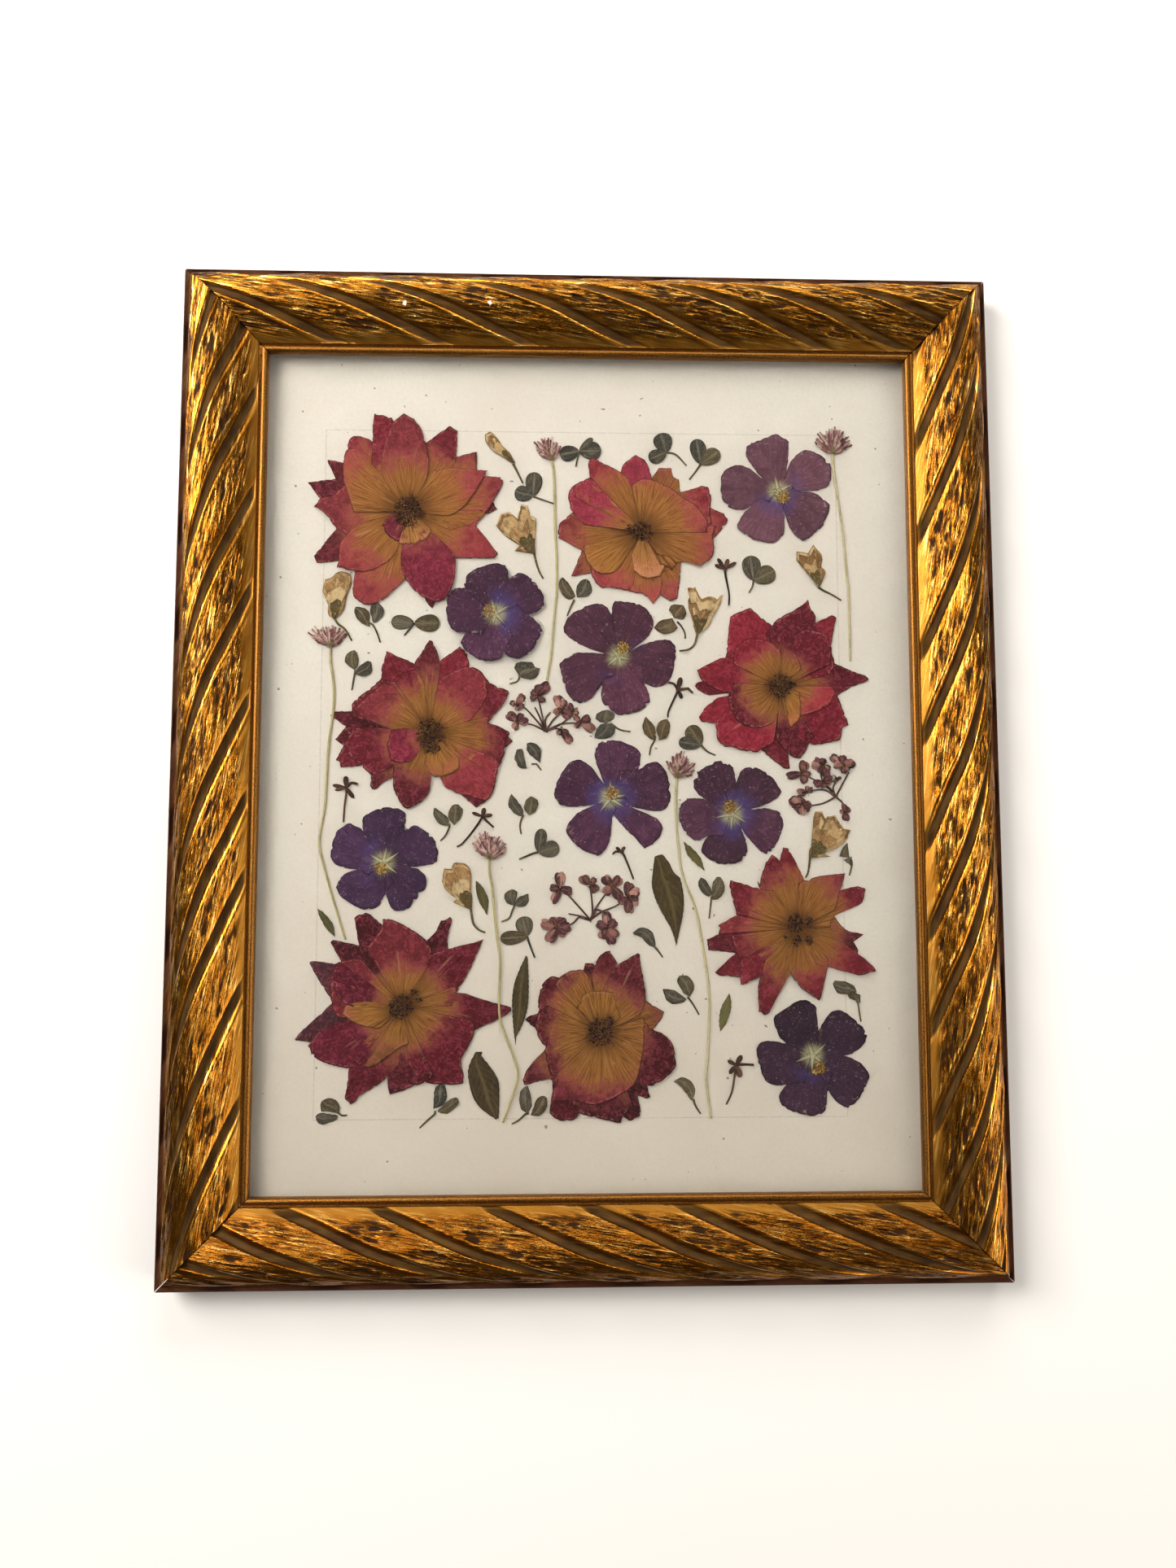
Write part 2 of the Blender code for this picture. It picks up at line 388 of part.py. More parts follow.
PURPLE_FLOWERS = (
    (LOW, (82.3, 113.7, 3.2), (
        (74.2, 120.5), (67.6, 130), (66.9, 134.3), (68.5, 137), (73, 138.7), (79.8, 141.5),
        (85.2, 138.4), (85, 132.8), (83.8, 123), (86, 129.6), (89.8, 133.4), (94.4, 134.2),
        (102, 129.6), (103.2, 124), (102.3, 119.6), (97.6, 117), (88.5, 116.5), (95.4, 115.8),
        (101.3, 111.8), (102, 108.4), (98.5, 101), (91.6, 95.4), (89, 95.6), (84.8, 101),
        (82.5, 109.5), (82.9, 104), (82.3, 97.8), (79, 94.6), (75.4, 94), (68.5, 96),
        (62.9, 100), (62.6, 101.2), (66, 107.2), (72.5, 112.6), (66, 108.4), (59, 109.3),
        (56.3, 113.4), (56, 117.8), (56.9, 124), (62.3, 127.4), (67.3, 126.5), (71, 123.4),
    )),
    (HIGH, None, (
        (-51.7, 73.4), (-51.8, 75.1), (-50.8, 77.9), (-48.6, 80.4), (-45.1, 82.3), (-38.9, 83.9),
        (-35.8, 83.4), (-33.9, 82), (-33.1, 77.5), (-31.4, 78.9), (-28.3, 79.8), (-25.1, 78.6),
        (-21.7, 75.4), (-18.9, 71.1), (-18.1, 67.9), (-18.9, 65.4), (-21.4, 63.3), (-25, 62),
        (-21.4, 59.4), (-19, 55.3), (-20.8, 51.9), (-23.3, 47.5), (-27, 44.4), (-30.1, 43.6),
        (-33.9, 45), (-34.9, 46.6), (-36.4, 43.8), (-40.6, 42.5), (-45, 43.1), (-48.1, 45),
        (-51.3, 47.2), (-52.9, 50.3), (-50.9, 54.4), (-54.4, 54.5), (-56.9, 56.3), (-58.4, 60),
        (-59.1, 63.8), (-58.3, 70.1), (-56.7, 72.6), (-54.5, 73.3),
    )),
    (LOW, (14.2, 48.8, 2.9), (
        (6.5, 46.3), (-1.4, 49.1), (-7, 52.2), (-10.1, 55.3), (-10, 58.4), (-7.9, 62.2),
        (-2.6, 65.6), (1.8, 67.2), (5.5, 67.2), (8, 65.6), (9.4, 63), (9.9, 66.3), (11.1, 68.4),
        (18, 68.3), (23, 66.3), (26.4, 62.5), (27.3, 59.1), (26.1, 55.6), (23, 51.9),
        (17.4, 47.6), (23, 50.4), (29.9, 52.2), (33.6, 52.1), (35.8, 50), (36.4, 47.5),
        (35.2, 38.8), (33, 34.4), (29.3, 32.2), (25.5, 32.8), (23, 34.1), (24.6, 30.6),
        (25.8, 26.3), (24.3, 24.7), (21.1, 22.2), (13.3, 20.5), (11.1, 21.3), (8, 23.8),
        (5.8, 25.6), (5.2, 30), (5.9, 35.5), (4.3, 31.3), (1.8, 28.4), (-1.4, 25.9),
        (-3.6, 25.4), (-7, 27.2), (-9.5, 31.3), (-11.8, 40), (-11.4, 42.8), (-8.3, 45),
        (-4.5, 46.5),
    )),
    (LOW, (9.7, -11.9, 3.1), (
        (7.4, -9.3), (4.9, -4.3), (3.1, 1.4), (2.7, 5.6), (4.9, 9.1), (9.9, 9.9), (14.3, 9.3),
        (18, 7.6), (21.1, 5.3), (21.6, 1.9), (20.8, -2), (24.3, 0.4), (27.4, 1.1), (29.9, -0.2),
        (32.1, -3.3), (33.3, -7.4), (33.8, -12.4), (33.3, -16.1), (31.1, -18.6), (26.8, -19.3),
        (17.4, -17.6), (23, -20.1), (28, -22.4), (30.3, -25.5), (29.6, -28.9), (26.8, -32.4),
        (23, -35), (20.5, -31.8), (15.5, -26.8), (10, -20.9), (9.3, -27.4), (8, -33),
        (6.1, -36.1), (3.6, -37.7), (-2, -35.5), (-5.8, -32.7), (-8.9, -28.6), (-9.1, -26.4),
        (-7.6, -23.6), (-4.5, -20.2), (-0.1, -18.1), (4.3, -16.6), (-3.3, -17.4), (-8.3, -17.5),
        (-12, -16.4), (-14.1, -13), (-13.6, -9.3), (-11.4, -4.3), (-8.3, 0.1), (-5.1, 1.9),
        (-2, 1.4), (1.8, -1.8), (4.3, -5.4),
    )),
    (LOW, (58, -17.4, 3.3), (
        (47.5, -14.3), (45.4, -12.4), (43.5, -9.3), (43.4, -6.4), (45.1, -5.4), (44.8, -3.3),
        (51, 0.6), (54.8, 1.6), (59.1, -0.2), (60.4, -3), (60.9, -7.4), (62.6, -3.6),
        (64.8, -1.4), (67.3, -1), (71, -1.8), (76.6, -5.8), (79.9, -11.1), (78.5, -13.3),
        (74.8, -15.8), (71, -17.3), (66.5, -18.4), (71, -18.2), (74.8, -18.1), (78.5, -19.6),
        (80.4, -22.7), (80.1, -26.8), (76, -34.9), (73.5, -36.9), (71, -36.1), (65.3, -30),
        (63, -26.5), (64.6, -31.1), (65.3, -34.9), (64.4, -38), (61, -40.5), (57.3, -41.1),
        (53.5, -40.8), (49.8, -39.3), (46.8, -36.8), (46.5, -34.3), (47.9, -31.1),
        (49.3, -29.6), (44.8, -31.4), (41, -29.6), (38.2, -25.5), (37.1, -21.1), (37.6, -17.4),
        (39.8, -14.6), (43.5, -13.9),
    )),
    (LOW, (-84.4, -43, 2.9), (
        (-92.3, -27), (-92.3, -23), (-90.6, -20.8), (-85, -18.3), (-80, -17.9), (-76.9, -18.6),
        (-75, -20.2), (-74.4, -22.7), (-75.3, -27), (-70.6, -25.3), (-66.9, -27.4),
        (-64.4, -29.3), (-62.2, -33), (-61.3, -36.8), (-61.9, -39.9), (-65, -41.4), (-72, -42.3),
        (-69.5, -43.1), (-66.9, -45.2), (-66.1, -48), (-66.6, -51.1), (-71.3, -56.8),
        (-72.5, -58.6), (-76.9, -60.1), (-79.4, -59.6), (-80.9, -57.4), (-82.6, -53),
        (-84.1, -56.1), (-85.9, -58.5), (-89.4, -59.4), (-93.1, -58.8), (-100, -54.6),
        (-102.7, -50.6), (-101.3, -47.4), (-98.1, -44.6), (-94, -43.4), (-98, -42.8),
        (-101.9, -41.8), (-104.4, -39.3), (-104.7, -35.5), (-103.8, -30.5), (-102.2, -27.4),
        (-98.1, -24.7), (-95, -25.5),
    )),
    (LOW, (93.2, -123.8, 3.2), (
        (79.8, -113.6), (77.3, -110.8), (75.4, -105.1), (76, -102.6), (84.8, -97),
        (88.2, -96.3), (91, -97.6), (92.6, -99.5), (93.5, -108.6), (95.1, -105.8),
        (99.1, -101.1), (103.5, -100.9), (109.8, -105.6), (112.6, -108.9), (113.1, -111.4),
        (111.6, -114.8), (107.9, -117.3), (104.4, -118.8), (107.9, -120.1), (112.3, -123.3),
        (113.8, -126.4), (112.9, -130.1), (110.4, -134.5), (107.9, -137.6), (105.1, -139.4),
        (102.3, -138.6), (99.1, -135.8), (96.9, -132.4), (96, -138.9), (94.8, -141.1),
        (91, -142.8), (86.6, -142.1), (79.1, -139.2), (77.1, -136.1), (77.6, -133.3),
        (80.1, -130.2), (75.4, -130.4), (72.3, -129.2), (70.4, -126.4), (68.1, -118.3),
        (68.5, -115.1), (71, -112.9), (76, -112.9),
    )),
)
STAMEN_RISE = 0.5
STAMEN_SIDES = 8


def add_flower(name, layer, stamens, outline, look):
    flower = add_slab(name, outline, layer, look)
    if stamens is None:
        return
    x, y, radius = stamens
    turns = [2 * math.pi * i / STAMEN_SIDES for i in range(STAMEN_SIDES)]
    ring = [(x + radius * math.cos(a), y + radius * math.sin(a)) for a in turns]
    heap = cutter(name + "_stamens", ring, (layer[0] + 0.1, layer[1] + STAMEN_RISE))
    boolean(flower, heap, "UNION")


ROSE = material("rose_petal", (146, 50, 62), 0.62)
PURPLE = material("purple_petal", (78, 52, 84), 0.6)
for number, (layer, stamens, outline) in enumerate(ROSES, 1):
    add_flower(f"rose_{number}", layer, stamens, outline, ROSE)
for number, (layer, stamens, outline) in enumerate(PURPLE_FLOWERS, 1):
    add_flower(f"purple_flower_{number}", layer, stamens, outline, PURPLE)


# ---------------------------------------------------------------- leaves

LEAVES = (
    ((27.1, -38), (30.2, -36.9), (33, -40.5), (35.2, -44.9), (37.4, -46.6), (38.6, -51.8),
     (39, -56.8), (38.5, -61.8), (37.3, -67.4), (35.7, -74.3), (33.9, -68), (30.5, -61.8),
     (27.4, -55.5), (25.9, -49.9), (26.3, -44.3)),
    ((-45.6, -116.4), (-42.5, -116.5), (-43.4, -117.9), (-39.5, -122.6), (-36.4, -127.9),
     (-35.9, -134.5), (-36.1, -142.6), (-37.3, -143.1), (-43.1, -138.9), (-46.3, -134.5),
     (-48.1, -128.3), (-48.3, -122.6)),
    ((-25.4, -78.1), (-24.7, -78.6), (-24.3, -92), (-25.1, -100.8), (-27.6, -107.6),
     (-29.1, -110.1), (-29.5, -113.9), (-30.1, -109.5), (-30.8, -102), (-30.9, -94.5),
     (-29.8, -88.3), (-27.3, -82)),
    ((-45.9, -47.7), (-43.1, -50.5), (-40.9, -54.9), (-40.8, -58), (-41.3, -61.8),
     (-44.7, -56.1), (-45.9, -51.1)),
    ((39.1, -31.8), (42.9, -34.9), (46, -38.6), (47.7, -43.9), (43.5, -40.5), (40.4, -36.8)),
    ((-109.8, -59.1), (-106.9, -61.1), (-103.4, -65.5), (-102.6, -70.4), (-106.3, -66.8),
     (-109.1, -61.8)),
    ((57.3, -93.6), (58, -97), (57.6, -100.8), (55.7, -105.8), (53.4, -108.8), (52.9, -105.1),
     (53.5, -100.1), (55.4, -96.4)),
)
LEAF = material("leaf", (74, 68, 44), 0.7)
for number, outline in enumerate(LEAVES, 1):
    add_slab(f"leaf_{number}", outline, LOW, LEAF)


# ---------------------------------------------------------------- plants with stalks

def sides(path, width):
    """The two sides of a strip along the path: (left side, right side)."""
    left, right = [], []
    for i, point in enumerate(path):
        here = Vector(point)
        before = Vector(path[max(i - 1, 0)])
        after = Vector(path[min(i + 1, len(path) - 1)])
        direction = ((here - before).normalized() + (after - here).normalized()).normalized()
        side = Vector((-direction.y, direction.x)) * width / 2
        left.append(tuple(here + side))
        right.append(tuple(here - side))
    return left, right


def strip(path, width):
    left, right = sides(path, width)
    return left + right[::-1]


def stalked(head, path, width):
    """A head, drawn clockwise from the left of its stalk's root to the right, and the stalk."""
    left, right = sides(path, width)
    return list(head) + left[1:] + right[:0:-1]


def oval(middle, direction, length, width, turns):
    """Points of an oval at these angles, in degrees, from its long axis."""
    (x, y), (along_x, along_y) = middle, direction
    points = []
    for turn in turns:
        ahead = length / 2 * math.cos(math.radians(turn))
        aside = width / 2 * math.sin(math.radians(turn))
        points.append((x + along_x * ahead - along_y * aside, y + along_y * ahead + along_x * aside))
    return points


def lobe_reach(length, width, turn):
    """How far an oval that starts in the branching point reaches at an angle from its axis."""
    if abs(turn) >= math.pi / 2:
        return 0.0
    a, b = length / 2, width / 2
    return length * math.cos(turn) * b * b / ((b * math.cos(turn)) ** 2 + (a * math.sin(turn)) ** 2)


def lobe(tip, width):
    """An arm that is one oval from the branching point to its tip."""
    return ("lobe", (tip,), width)


def stalk(*path, width=0.9):
    """An arm that is a strip along a path from the branching point."""
    return ("stalk", path, width)


def valley(core, arm, neighbour, half_gap):
    """Where two arms part, and the outline turns back."""
    reach = 0.5
    for kind, angle, path, width in (arm, neighbour):
        if kind == "lobe":
            reach = max(reach, lobe_reach(math.dist(core, path[0]), width, half_gap))
        elif half_gap < math.pi / 2:
            reach = max(reach, width / 2 / math.sin(half_gap))
    turn = arm[1] - half_gap
    return core + Vector((math.cos(turn), math.sin(turn))) * reach


def lobe_points(core, angle, tip, width, gap_before, gap_after):
    """The oval's outline, clockwise, without what its neighbours on either side hide."""
    direction = Vector((math.cos(angle), math.sin(angle)))
    length = math.dist(core, tip)
    step = 35 if width > 3 else 70
    points = []
    for turn in range(140, -141, -step):
        point = Vector(oval(core + direction * length / 2, direction, length, width, [turn])[0])
        off = (point - core).angle(direction, 0.0)
        room = gap_before if turn > 0 else gap_after
        if turn == 0 or off < room - math.radians(3):
            points.append(point)
    return points


def spray(centre, arms):
    """The outline of arms that leave one point, each a lobe or a stalk."""
    core = Vector(centre)
    fan = []
    for kind, path, width in arms:
        first = Vector(path[0]) - core
        fan.append((kind, math.atan2(first.y, first.x), path, width))
    fan.sort(key=lambda arm: -arm[1])
    outline = []
    for i, arm in enumerate(fan):
        neighbour = fan[(i + 1) % len(fan)]
        gap_before = ((fan[i - 1][1] - arm[1]) % (2 * math.pi)) / 2
        gap_after = ((arm[1] - neighbour[1]) % (2 * math.pi)) / 2
        kind, angle, path, width = arm
        if kind == "lobe":
            outline += lobe_points(core, angle, path[0], width, gap_before, gap_after)
        else:
            left, right = sides((centre, *path), width)
            outline += left[1:] + right[:0:-1]
        outline.append(valley(core, arm, neighbour, gap_after))
    return [tuple(point) for point in outline]


# Clover heads, fanned out over the top of a long stem.
STEM = material("dry_stem", (168, 158, 112), 0.75)
CLOVERS = (
    (LOW, ((-16.1, 129), (-20.5, 131.5), (-21.9, 135.6), (-18.3, 138), (-14, 136.4), (-12, 132.4),
           (-14.7, 129)),
     ((-15.4, 129), (-14.6, 124), (-14.1, 114), (-13.9, 99), (-13.3, 86.5), (-13.2, 72),
      (-13.8, 66), (-15.5, 46), (-17.2, 34.9))),
    (LOW, ((103.3, 133), (98.4, 135.2), (97.3, 139), (100.5, 141.8), (105, 143), (109, 140.6),
           (111.3, 136.8), (108, 134), (104.3, 133)),
     ((103.8, 133), (104.1, 127), (105.1, 117.8), (106.6, 106), (107.9, 94), (109.1, 78.4),
      (109.5, 72), (109.6, 43.6))),
    (LOW, ((-106.9, 48.6), (-111.5, 50.5), (-114.7, 53.2), (-112.5, 56), (-108.5, 56.9),
           (-105.6, 56.6), (-102.8, 55), (-99.9, 53.9), (-102.5, 50.6), (-105.8, 48.6)),
     ((-106.3, 48.6), (-106.4, 42.5), (-105.5, 36.9), (-104.8, 31.3), (-104.7, 25),
      (-105.2, 18.8), (-106.6, 6.3), (-107.5, -16.8), (-109.6, -32), (-107.5, -41.8),
      (-105, -50.5), (-101.9, -60.5), (-98.3, -71.6))),
    (LOW, ((36, -5.4), (34, -2.8), (32.6, 0.4), (34.5, 3), (38, 4.3), (41.2, 2.2), (43.8, -0.4),
           (42.9, -4), (39.5, -4.5), (37.1, -5.4)),
     ((36.5, -5.4), (36.1, -10.5), (36, -20), (36.3, -26.5), (37.1, -35.5), (37.8, -42),
      (39.8, -49.3), (42.9, -56.8), (44.8, -63.6), (46.3, -72.5), (47.3, -79.5), (48.5, -87.6),
      (49.1, -97), (48.8, -107), (48.2, -118.9), (47.4, -127), (48.2, -134.5), (49.3, -143.3))),
    (MIDDLE, ((-41, -38.6), (-44.5, -36.2), (-47.2, -32.6), (-44.5, -30.4), (-40, -29.7),
              (-36.4, -31.4), (-33.9, -35), (-36.6, -37.8), (-39.9, -38.6)),
     ((-40.4, -38.6), (-40.4, -44.3), (-39.2, -51.1), (-38.3, -60.5), (-37, -72), (-35.9, -80.1),
      (-36.2, -94), (-35.8, -103.3), (-33.3, -110.8), (-30.1, -118.9), (-28.5, -125.8),
      (-30.4, -133.3), (-34.5, -144.3))),
)
STEM_WIDTH = 1.0
for number, (layer, head, path) in enumerate(CLOVERS, 1):
    add_slab(f"clover_{number}", stalked(head, path, STEM_WIDTH), layer, STEM)

# Cream pea blossoms: petals out of a calyx on a bent stalk.
CREAM = material("cream_petal", (190, 166, 118), 0.75)
BLOSSOMS = (
    (((-32.6, 127.4), (-35.6, 129.6), (-40, 132.4), (-43.3, 136.6), (-43.6, 139.6), (-41.6, 140.8),
      (-39.4, 139.4), (-37, 135.4), (-33, 131.6), (-30.6, 127.2)),
     ((-31.6, 127), (-29.6, 123), (-27.5, 118.5))),
    (((-23.4, 88.4), (-31, 89.6), (-28.6, 92), (-35, 96), (-38.7, 100.3), (-36.7, 105.4),
      (-32.9, 106.2), (-29.8, 103.4), (-28.3, 109.6), (-25.3, 109), (-24.4, 104.8), (-21.9, 103.7),
      (-22.4, 99.6), (-24.6, 95), (-22.4, 91.5), (-22, 88.4)),
     ((-22.7, 88.4), (-21.6, 84), (-20.4, 80.6), (-18.8, 77.8))),
    (((-105.6, 60.2), (-107.8, 62.6), (-107.9, 69.4), (-110.3, 72.3), (-109.3, 76.8), (-107.4, 77.2),
      (-105, 79.2), (-102.6, 80.7), (-98.6, 79), (-98.4, 75), (-99.7, 71.5), (-101, 65.6),
      (-101.6, 63.6), (-104.6, 60.2)),
     ((-105.1, 60.2), (-103.4, 57.9), (-100.6, 55.7), (-97.8, 50.9))),
    (((45, 54.8), (43.8, 58.1), (44.1, 61.8), (42, 65.6), (41.6, 69.6), (42.6, 71.2), (41.5, 74.4),
      (44.8, 74.7), (46.3, 71.3), (47.6, 69.6), (50.7, 70.9), (54.1, 69.7), (56.3, 71.6),
      (54.8, 66.9), (51.6, 61.3), (50.7, 58.6), (46.1, 54.8)),
     ((45.5, 54.8), (44.3, 50.6), (41.9, 48.3), (37.9, 47.6))),
    (((96.1, 75.2), (93.6, 80), (92.3, 83.4), (94, 84.8), (87.6, 86.8), (87.8, 90.4), (92.6, 89.6),
      (94.8, 93.4), (98.4, 88.6), (97.6, 84.6), (100, 81.7), (97.3, 75.2)),
     ((96.6, 75.2), (99, 73.6), (102.3, 72), (106.3, 69.5))),
    (((90.7, -38.4), (91.1, -34.9), (94.6, -30.6), (93, -24.3), (93.5, -19.3), (96.6, -19.4),
      (98.2, -22.6), (98.9, -21.2), (102.3, -21), (104.2, -24.6), (105.1, -25.8), (108.4, -26.9),
      (106.6, -31.1), (102.9, -34.3), (98.5, -35.5), (97.6, -37), (100, -37.9), (93.6, -37.8),
      (91.9, -38.6)),
     ((91.3, -38.4), (90.4, -44.3), (89.3, -46.7))),
    (((-48.5, -59.4), (-51.6, -58), (-55, -56.6), (-53, -54.4), (-56.8, -52.8), (-59.3, -49.6),
      (-59.6, -46.8), (-59, -42.9), (-55.9, -43), (-55, -40.6), (-51.6, -40.6), (-48.8, -42.4),
      (-47.7, -46.1), (-50.4, -49.9), (-48.4, -51.8), (-47.3, -54.3), (-47.4, -59.4)),
     ((-47.9, -59.4), (-47.4, -62.6), (-46.6, -65.5), (-44.4, -67.8), (-42, -68.8))),
)
STALK_WIDTH = 0.9
for number, (head, path) in enumerate(BLOSSOMS, 1):
    add_slab(f"cream_blossom_{number}", stalked(head, path, STALK_WIDTH), LOW, CREAM)

# Brown sprigs: a star of narrow dried lobes on a stalk.
SPRIGS = (
    ((57.4, 82.6), (lobe((53, 84.4), 1.7), lobe((54.2, 87.2), 1.7), lobe((58.8, 87), 1.9),
                    lobe((62.3, 85.5), 1.7), stalk((57.6, 79.6), (59, 72), (58.8, 67)))),
    ((37.2, 31.2), (stalk((35.4, 33.8), (33, 34.2), width=1.2), lobe((38.5, 36.6), 2.2),
                    stalk((41.4, 31.8), (43.4, 29.8), width=1.3), lobe((38.9, 27.3), 1.7),
                    stalk((36.1, 28.6), (33.1, 21.9), (33, 19.6)))),
    ((-99.2, -9.8), (lobe((-99.3, -5), 2.2), lobe((-104.8, -8.9), 1.6), lobe((-103.7, -11), 1.5),
                     stalk((-97, -8), (-94.4, -8.4), width=1.3), lobe((-95.8, -14.3), 1.8),
                     stalk((-99.1, -12.5), (-99.7, -18), (-100, -24.1)))),
    ((-43.4, -21.6), (lobe((-42.7, -17.9), 2.0), lobe((-47.9, -20), 1.4), lobe((-39.2, -20.9), 1.6),
                      stalk((-41.8, -23.4), (-38.8, -26.1), width=1.1),
                      stalk((-45, -24.3), (-48.1, -28.6), (-51.9, -33), (-53.8, -33.9)))),
    ((13.4, -36), (stalk((11, -36), (9.9, -37.1), width=1.0), lobe((11.2, -34.1), 1.4),
                   lobe((14.9, -33.9), 1.4), stalk((14.6, -37.6), (16.8, -43), (18.4, -47.3)))),
    ((59.6, -122.2), (lobe((62.1, -118.3), 2.2), stalk((63, -122), (66.9, -122.2), width=1.1),
                      lobe((61.5, -127.2), 2.6), lobe((56.1, -120.3), 1.7), lobe((56.8, -125.8), 1.8),
                      stalk((59.2, -125.4), (57.9, -132.6), (55.5, -137.9)))),
)
SPRIG = material("brown_sprig", (74, 50, 42), 0.7)
for number, (centre, arms) in enumerate(SPRIGS, 1):
    add_slab(f"sprig_{number}", spray(centre, arms), LOW, SPRIG)

# Umbels: small dark florets on pedicels that leave one point. Each pedicel's path ends in the
# middle of its floret, whose length and width follow; one pedicel has lost its floret.
UMBELS = (
    ((-17.6, 13.6), (
        (((-22, 15.9), (-25, 16.7), (-29.4, 17.7)), (9, 6.6)),
        (((-22.4, 19.2), (-26, 23), (-29.4, 25.2)), (8.4, 7)),
        (((-20.6, 20.4), (-22.2, 23.6)), (6, 4.6)),
        (((-19, 19.6), (-21, 28.4)), (9.4, 6.4)),
        (((-17.8, 18.6), (-15.7, 21.6)), (6, 2.8)),
        (((-14.6, 18.4), (-12.6, 20.4), (-11.2, 23.4)), (9.6, 7)),
        (((-13.4, 15.9), (-10.4, 16.9), (-3.8, 17.2)), (9, 6.4)),
        (((-10.6, 17.2), (-6.2, 21.6)), (7.6, 4)),
        (((-14, 14.8), (-9.8, 12)), (8.2, 3.8)))),
    ((102.4, -13.3), (
        (((97.6, -10.4), (90.4, -11)), (7.6, 4)),
        (((100.4, -10.2), (97.2, -7)), (7.6, 4)),
        (((98.4, -9), (88.6, -3.6)), (8.2, 5.6)),
        (((96.8, -6), (97, -0.6)), (7.4, 6.6)),
        (((101.4, -9.6), (103.2, -6)), (4.6, 2.6)),
        (((105.4, -7.8), (108, -3.2), (105.2, 0.4)), (7.8, 6)),
        (((105.2, -15.8), (106.1, -19.9)), (7, 3.8)),
        (((96.4, -16.2), (88.2, -17.2)), (8.8, 6.6)))),
    ((0.6, -63.9), (
        (((-4, -62.6), (-7, -65.4), (-12.6, -66.6)), (11, 6.6)),
        (((-2.6, -62.4), (-8.2, -61.3)), None),
        (((-2.4, -60.2), (-10.6, -51.2)), (10.6, 7)),
        (((1.6, -60), (0.6, -49.4)), (8.2, 4.2)),
        (((3.2, -58.6), (8.6, -50.4)), (9.4, 6.4)),
        (((5.2, -60.6), (11, -58.2), (15.6, -55.2)), (10, 8.4)),
        (((3.4, -59.6), (6.4, -60.6), (8.2, -67)), (12.4, 6.2)))),
)
PEDICEL_WIDTH = 0.8
FLORET_TURNS = range(0, 360, 60)
KNOT_WIDTH = 1.8
UMBEL = material("umbel_floret", (84, 46, 60), 0.65)


def add_umbel(name, junction, florets):
    """Pedicels and florets as overlapping slabs that one union with the knot in the middle joins."""
    bm = bmesh.new()
    for path, size in florets:
        slab(bm, strip((junction, *path), PEDICEL_WIDTH), *LOW)
        if size:
            heading = Vector(path[-1]) - Vector(path[-2])
            slab(bm, oval(path[-1], heading.normalized(), *size, FLORET_TURNS), *LOW)
    umbel = add_object(name, mesh_from(bm, name), UMBEL)
    knot = cutter(name + "_knot", oval(junction, (1, 0), KNOT_WIDTH, KNOT_WIDTH, FLORET_TURNS), LOW)
    boolean(umbel, knot, "UNION")
    umbel.modifiers[knot.name].use_self = True
    flat = umbel.modifiers.new("one_face", "DECIMATE")
    flat.decimate_type = "DISSOLVE"
    flat.angle_limit = math.radians(1)


for number, (junction, florets) in enumerate(UMBELS, 1):
    add_umbel(f"umbel_{number}", junction, florets)

# Pairs of leaf lobes on a short stalk.
LEAF_PAIRS = (
    ((-72.2, 58.6), (lobe((-81.8, 59.2), 6), lobe((-61.7, 58.7), 7.2), stalk((-76.3, 53.4)))),
    ((46.6, 8.1), (lobe((41.6, 16), 7), lobe((37.3, 9.4), 5.4), stalk((49.4, 5.3), (52.6, 3.9)))),
    ((-20.6, -36.2), (lobe((-19, -26.6), 5), lobe((-12, -34), 6.6), stalk((-22.9, -36.8), (-28.4, -39.1)))),
    ((-25, -70.4), (lobe((-27, -62.4), 7), lobe((-35.9, -71.3), 5.6),
                    stalk((-24, -73.5), (-21.9, -79)))),
)
GREY_GREEN = material("leaf_pair", (70, 78, 76), 0.7)
for number, (centre, arms) in enumerate(LEAF_PAIRS, 1):
    add_slab(f"leaf_pair_{number}", spray(centre, arms), LOW, GREY_GREEN)
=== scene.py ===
# %% [markdown]
# # Pressed flowers under glass in a carved, gilded frame
#
# The real object is four mitred lengths of moulding carved like a twisted rope and gilded over
# red clay, with glass, a sheet of cream paper and dried plants held in its back. The plain solids
# come first, already in place. Each cell below dresses one kind of piece: it either gives a solid
# a better finish or lays a detailed piece exactly where the solid is.

# %% Load the plain model
import math
import random

import bmesh
import bpy
import numpy as np
from mathutils import Matrix, Vector, noise


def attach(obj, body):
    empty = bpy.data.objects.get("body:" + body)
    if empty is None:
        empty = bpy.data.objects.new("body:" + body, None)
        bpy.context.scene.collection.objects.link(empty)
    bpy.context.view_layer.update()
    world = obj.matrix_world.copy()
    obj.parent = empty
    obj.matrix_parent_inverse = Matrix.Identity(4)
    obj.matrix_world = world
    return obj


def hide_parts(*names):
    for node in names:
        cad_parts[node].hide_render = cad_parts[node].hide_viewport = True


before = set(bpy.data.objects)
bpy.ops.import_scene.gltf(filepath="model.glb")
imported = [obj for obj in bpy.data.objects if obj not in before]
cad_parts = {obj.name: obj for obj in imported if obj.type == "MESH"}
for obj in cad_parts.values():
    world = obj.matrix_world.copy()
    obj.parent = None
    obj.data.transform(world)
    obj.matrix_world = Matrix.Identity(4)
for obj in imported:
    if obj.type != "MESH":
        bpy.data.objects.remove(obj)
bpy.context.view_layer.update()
MM = 0.001
rng = random.Random(11)
print("solids to dress:", len(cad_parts))

# %% [markdown]
# ## Camera, floor and light
#
# The picture was taken from half a metre above the glass, a little below its middle, with a wide
# lens, so the far rails lean outwards. A camera is set by its place, its turn and its focal
# length. The light is a studio's: a big soft panel on the left, two weaker ones at the top and on
# the right, and a dim pale room round them. Panels stand off to the sides, so that the glass,
# which mirrors what is straight above it, stays clear.

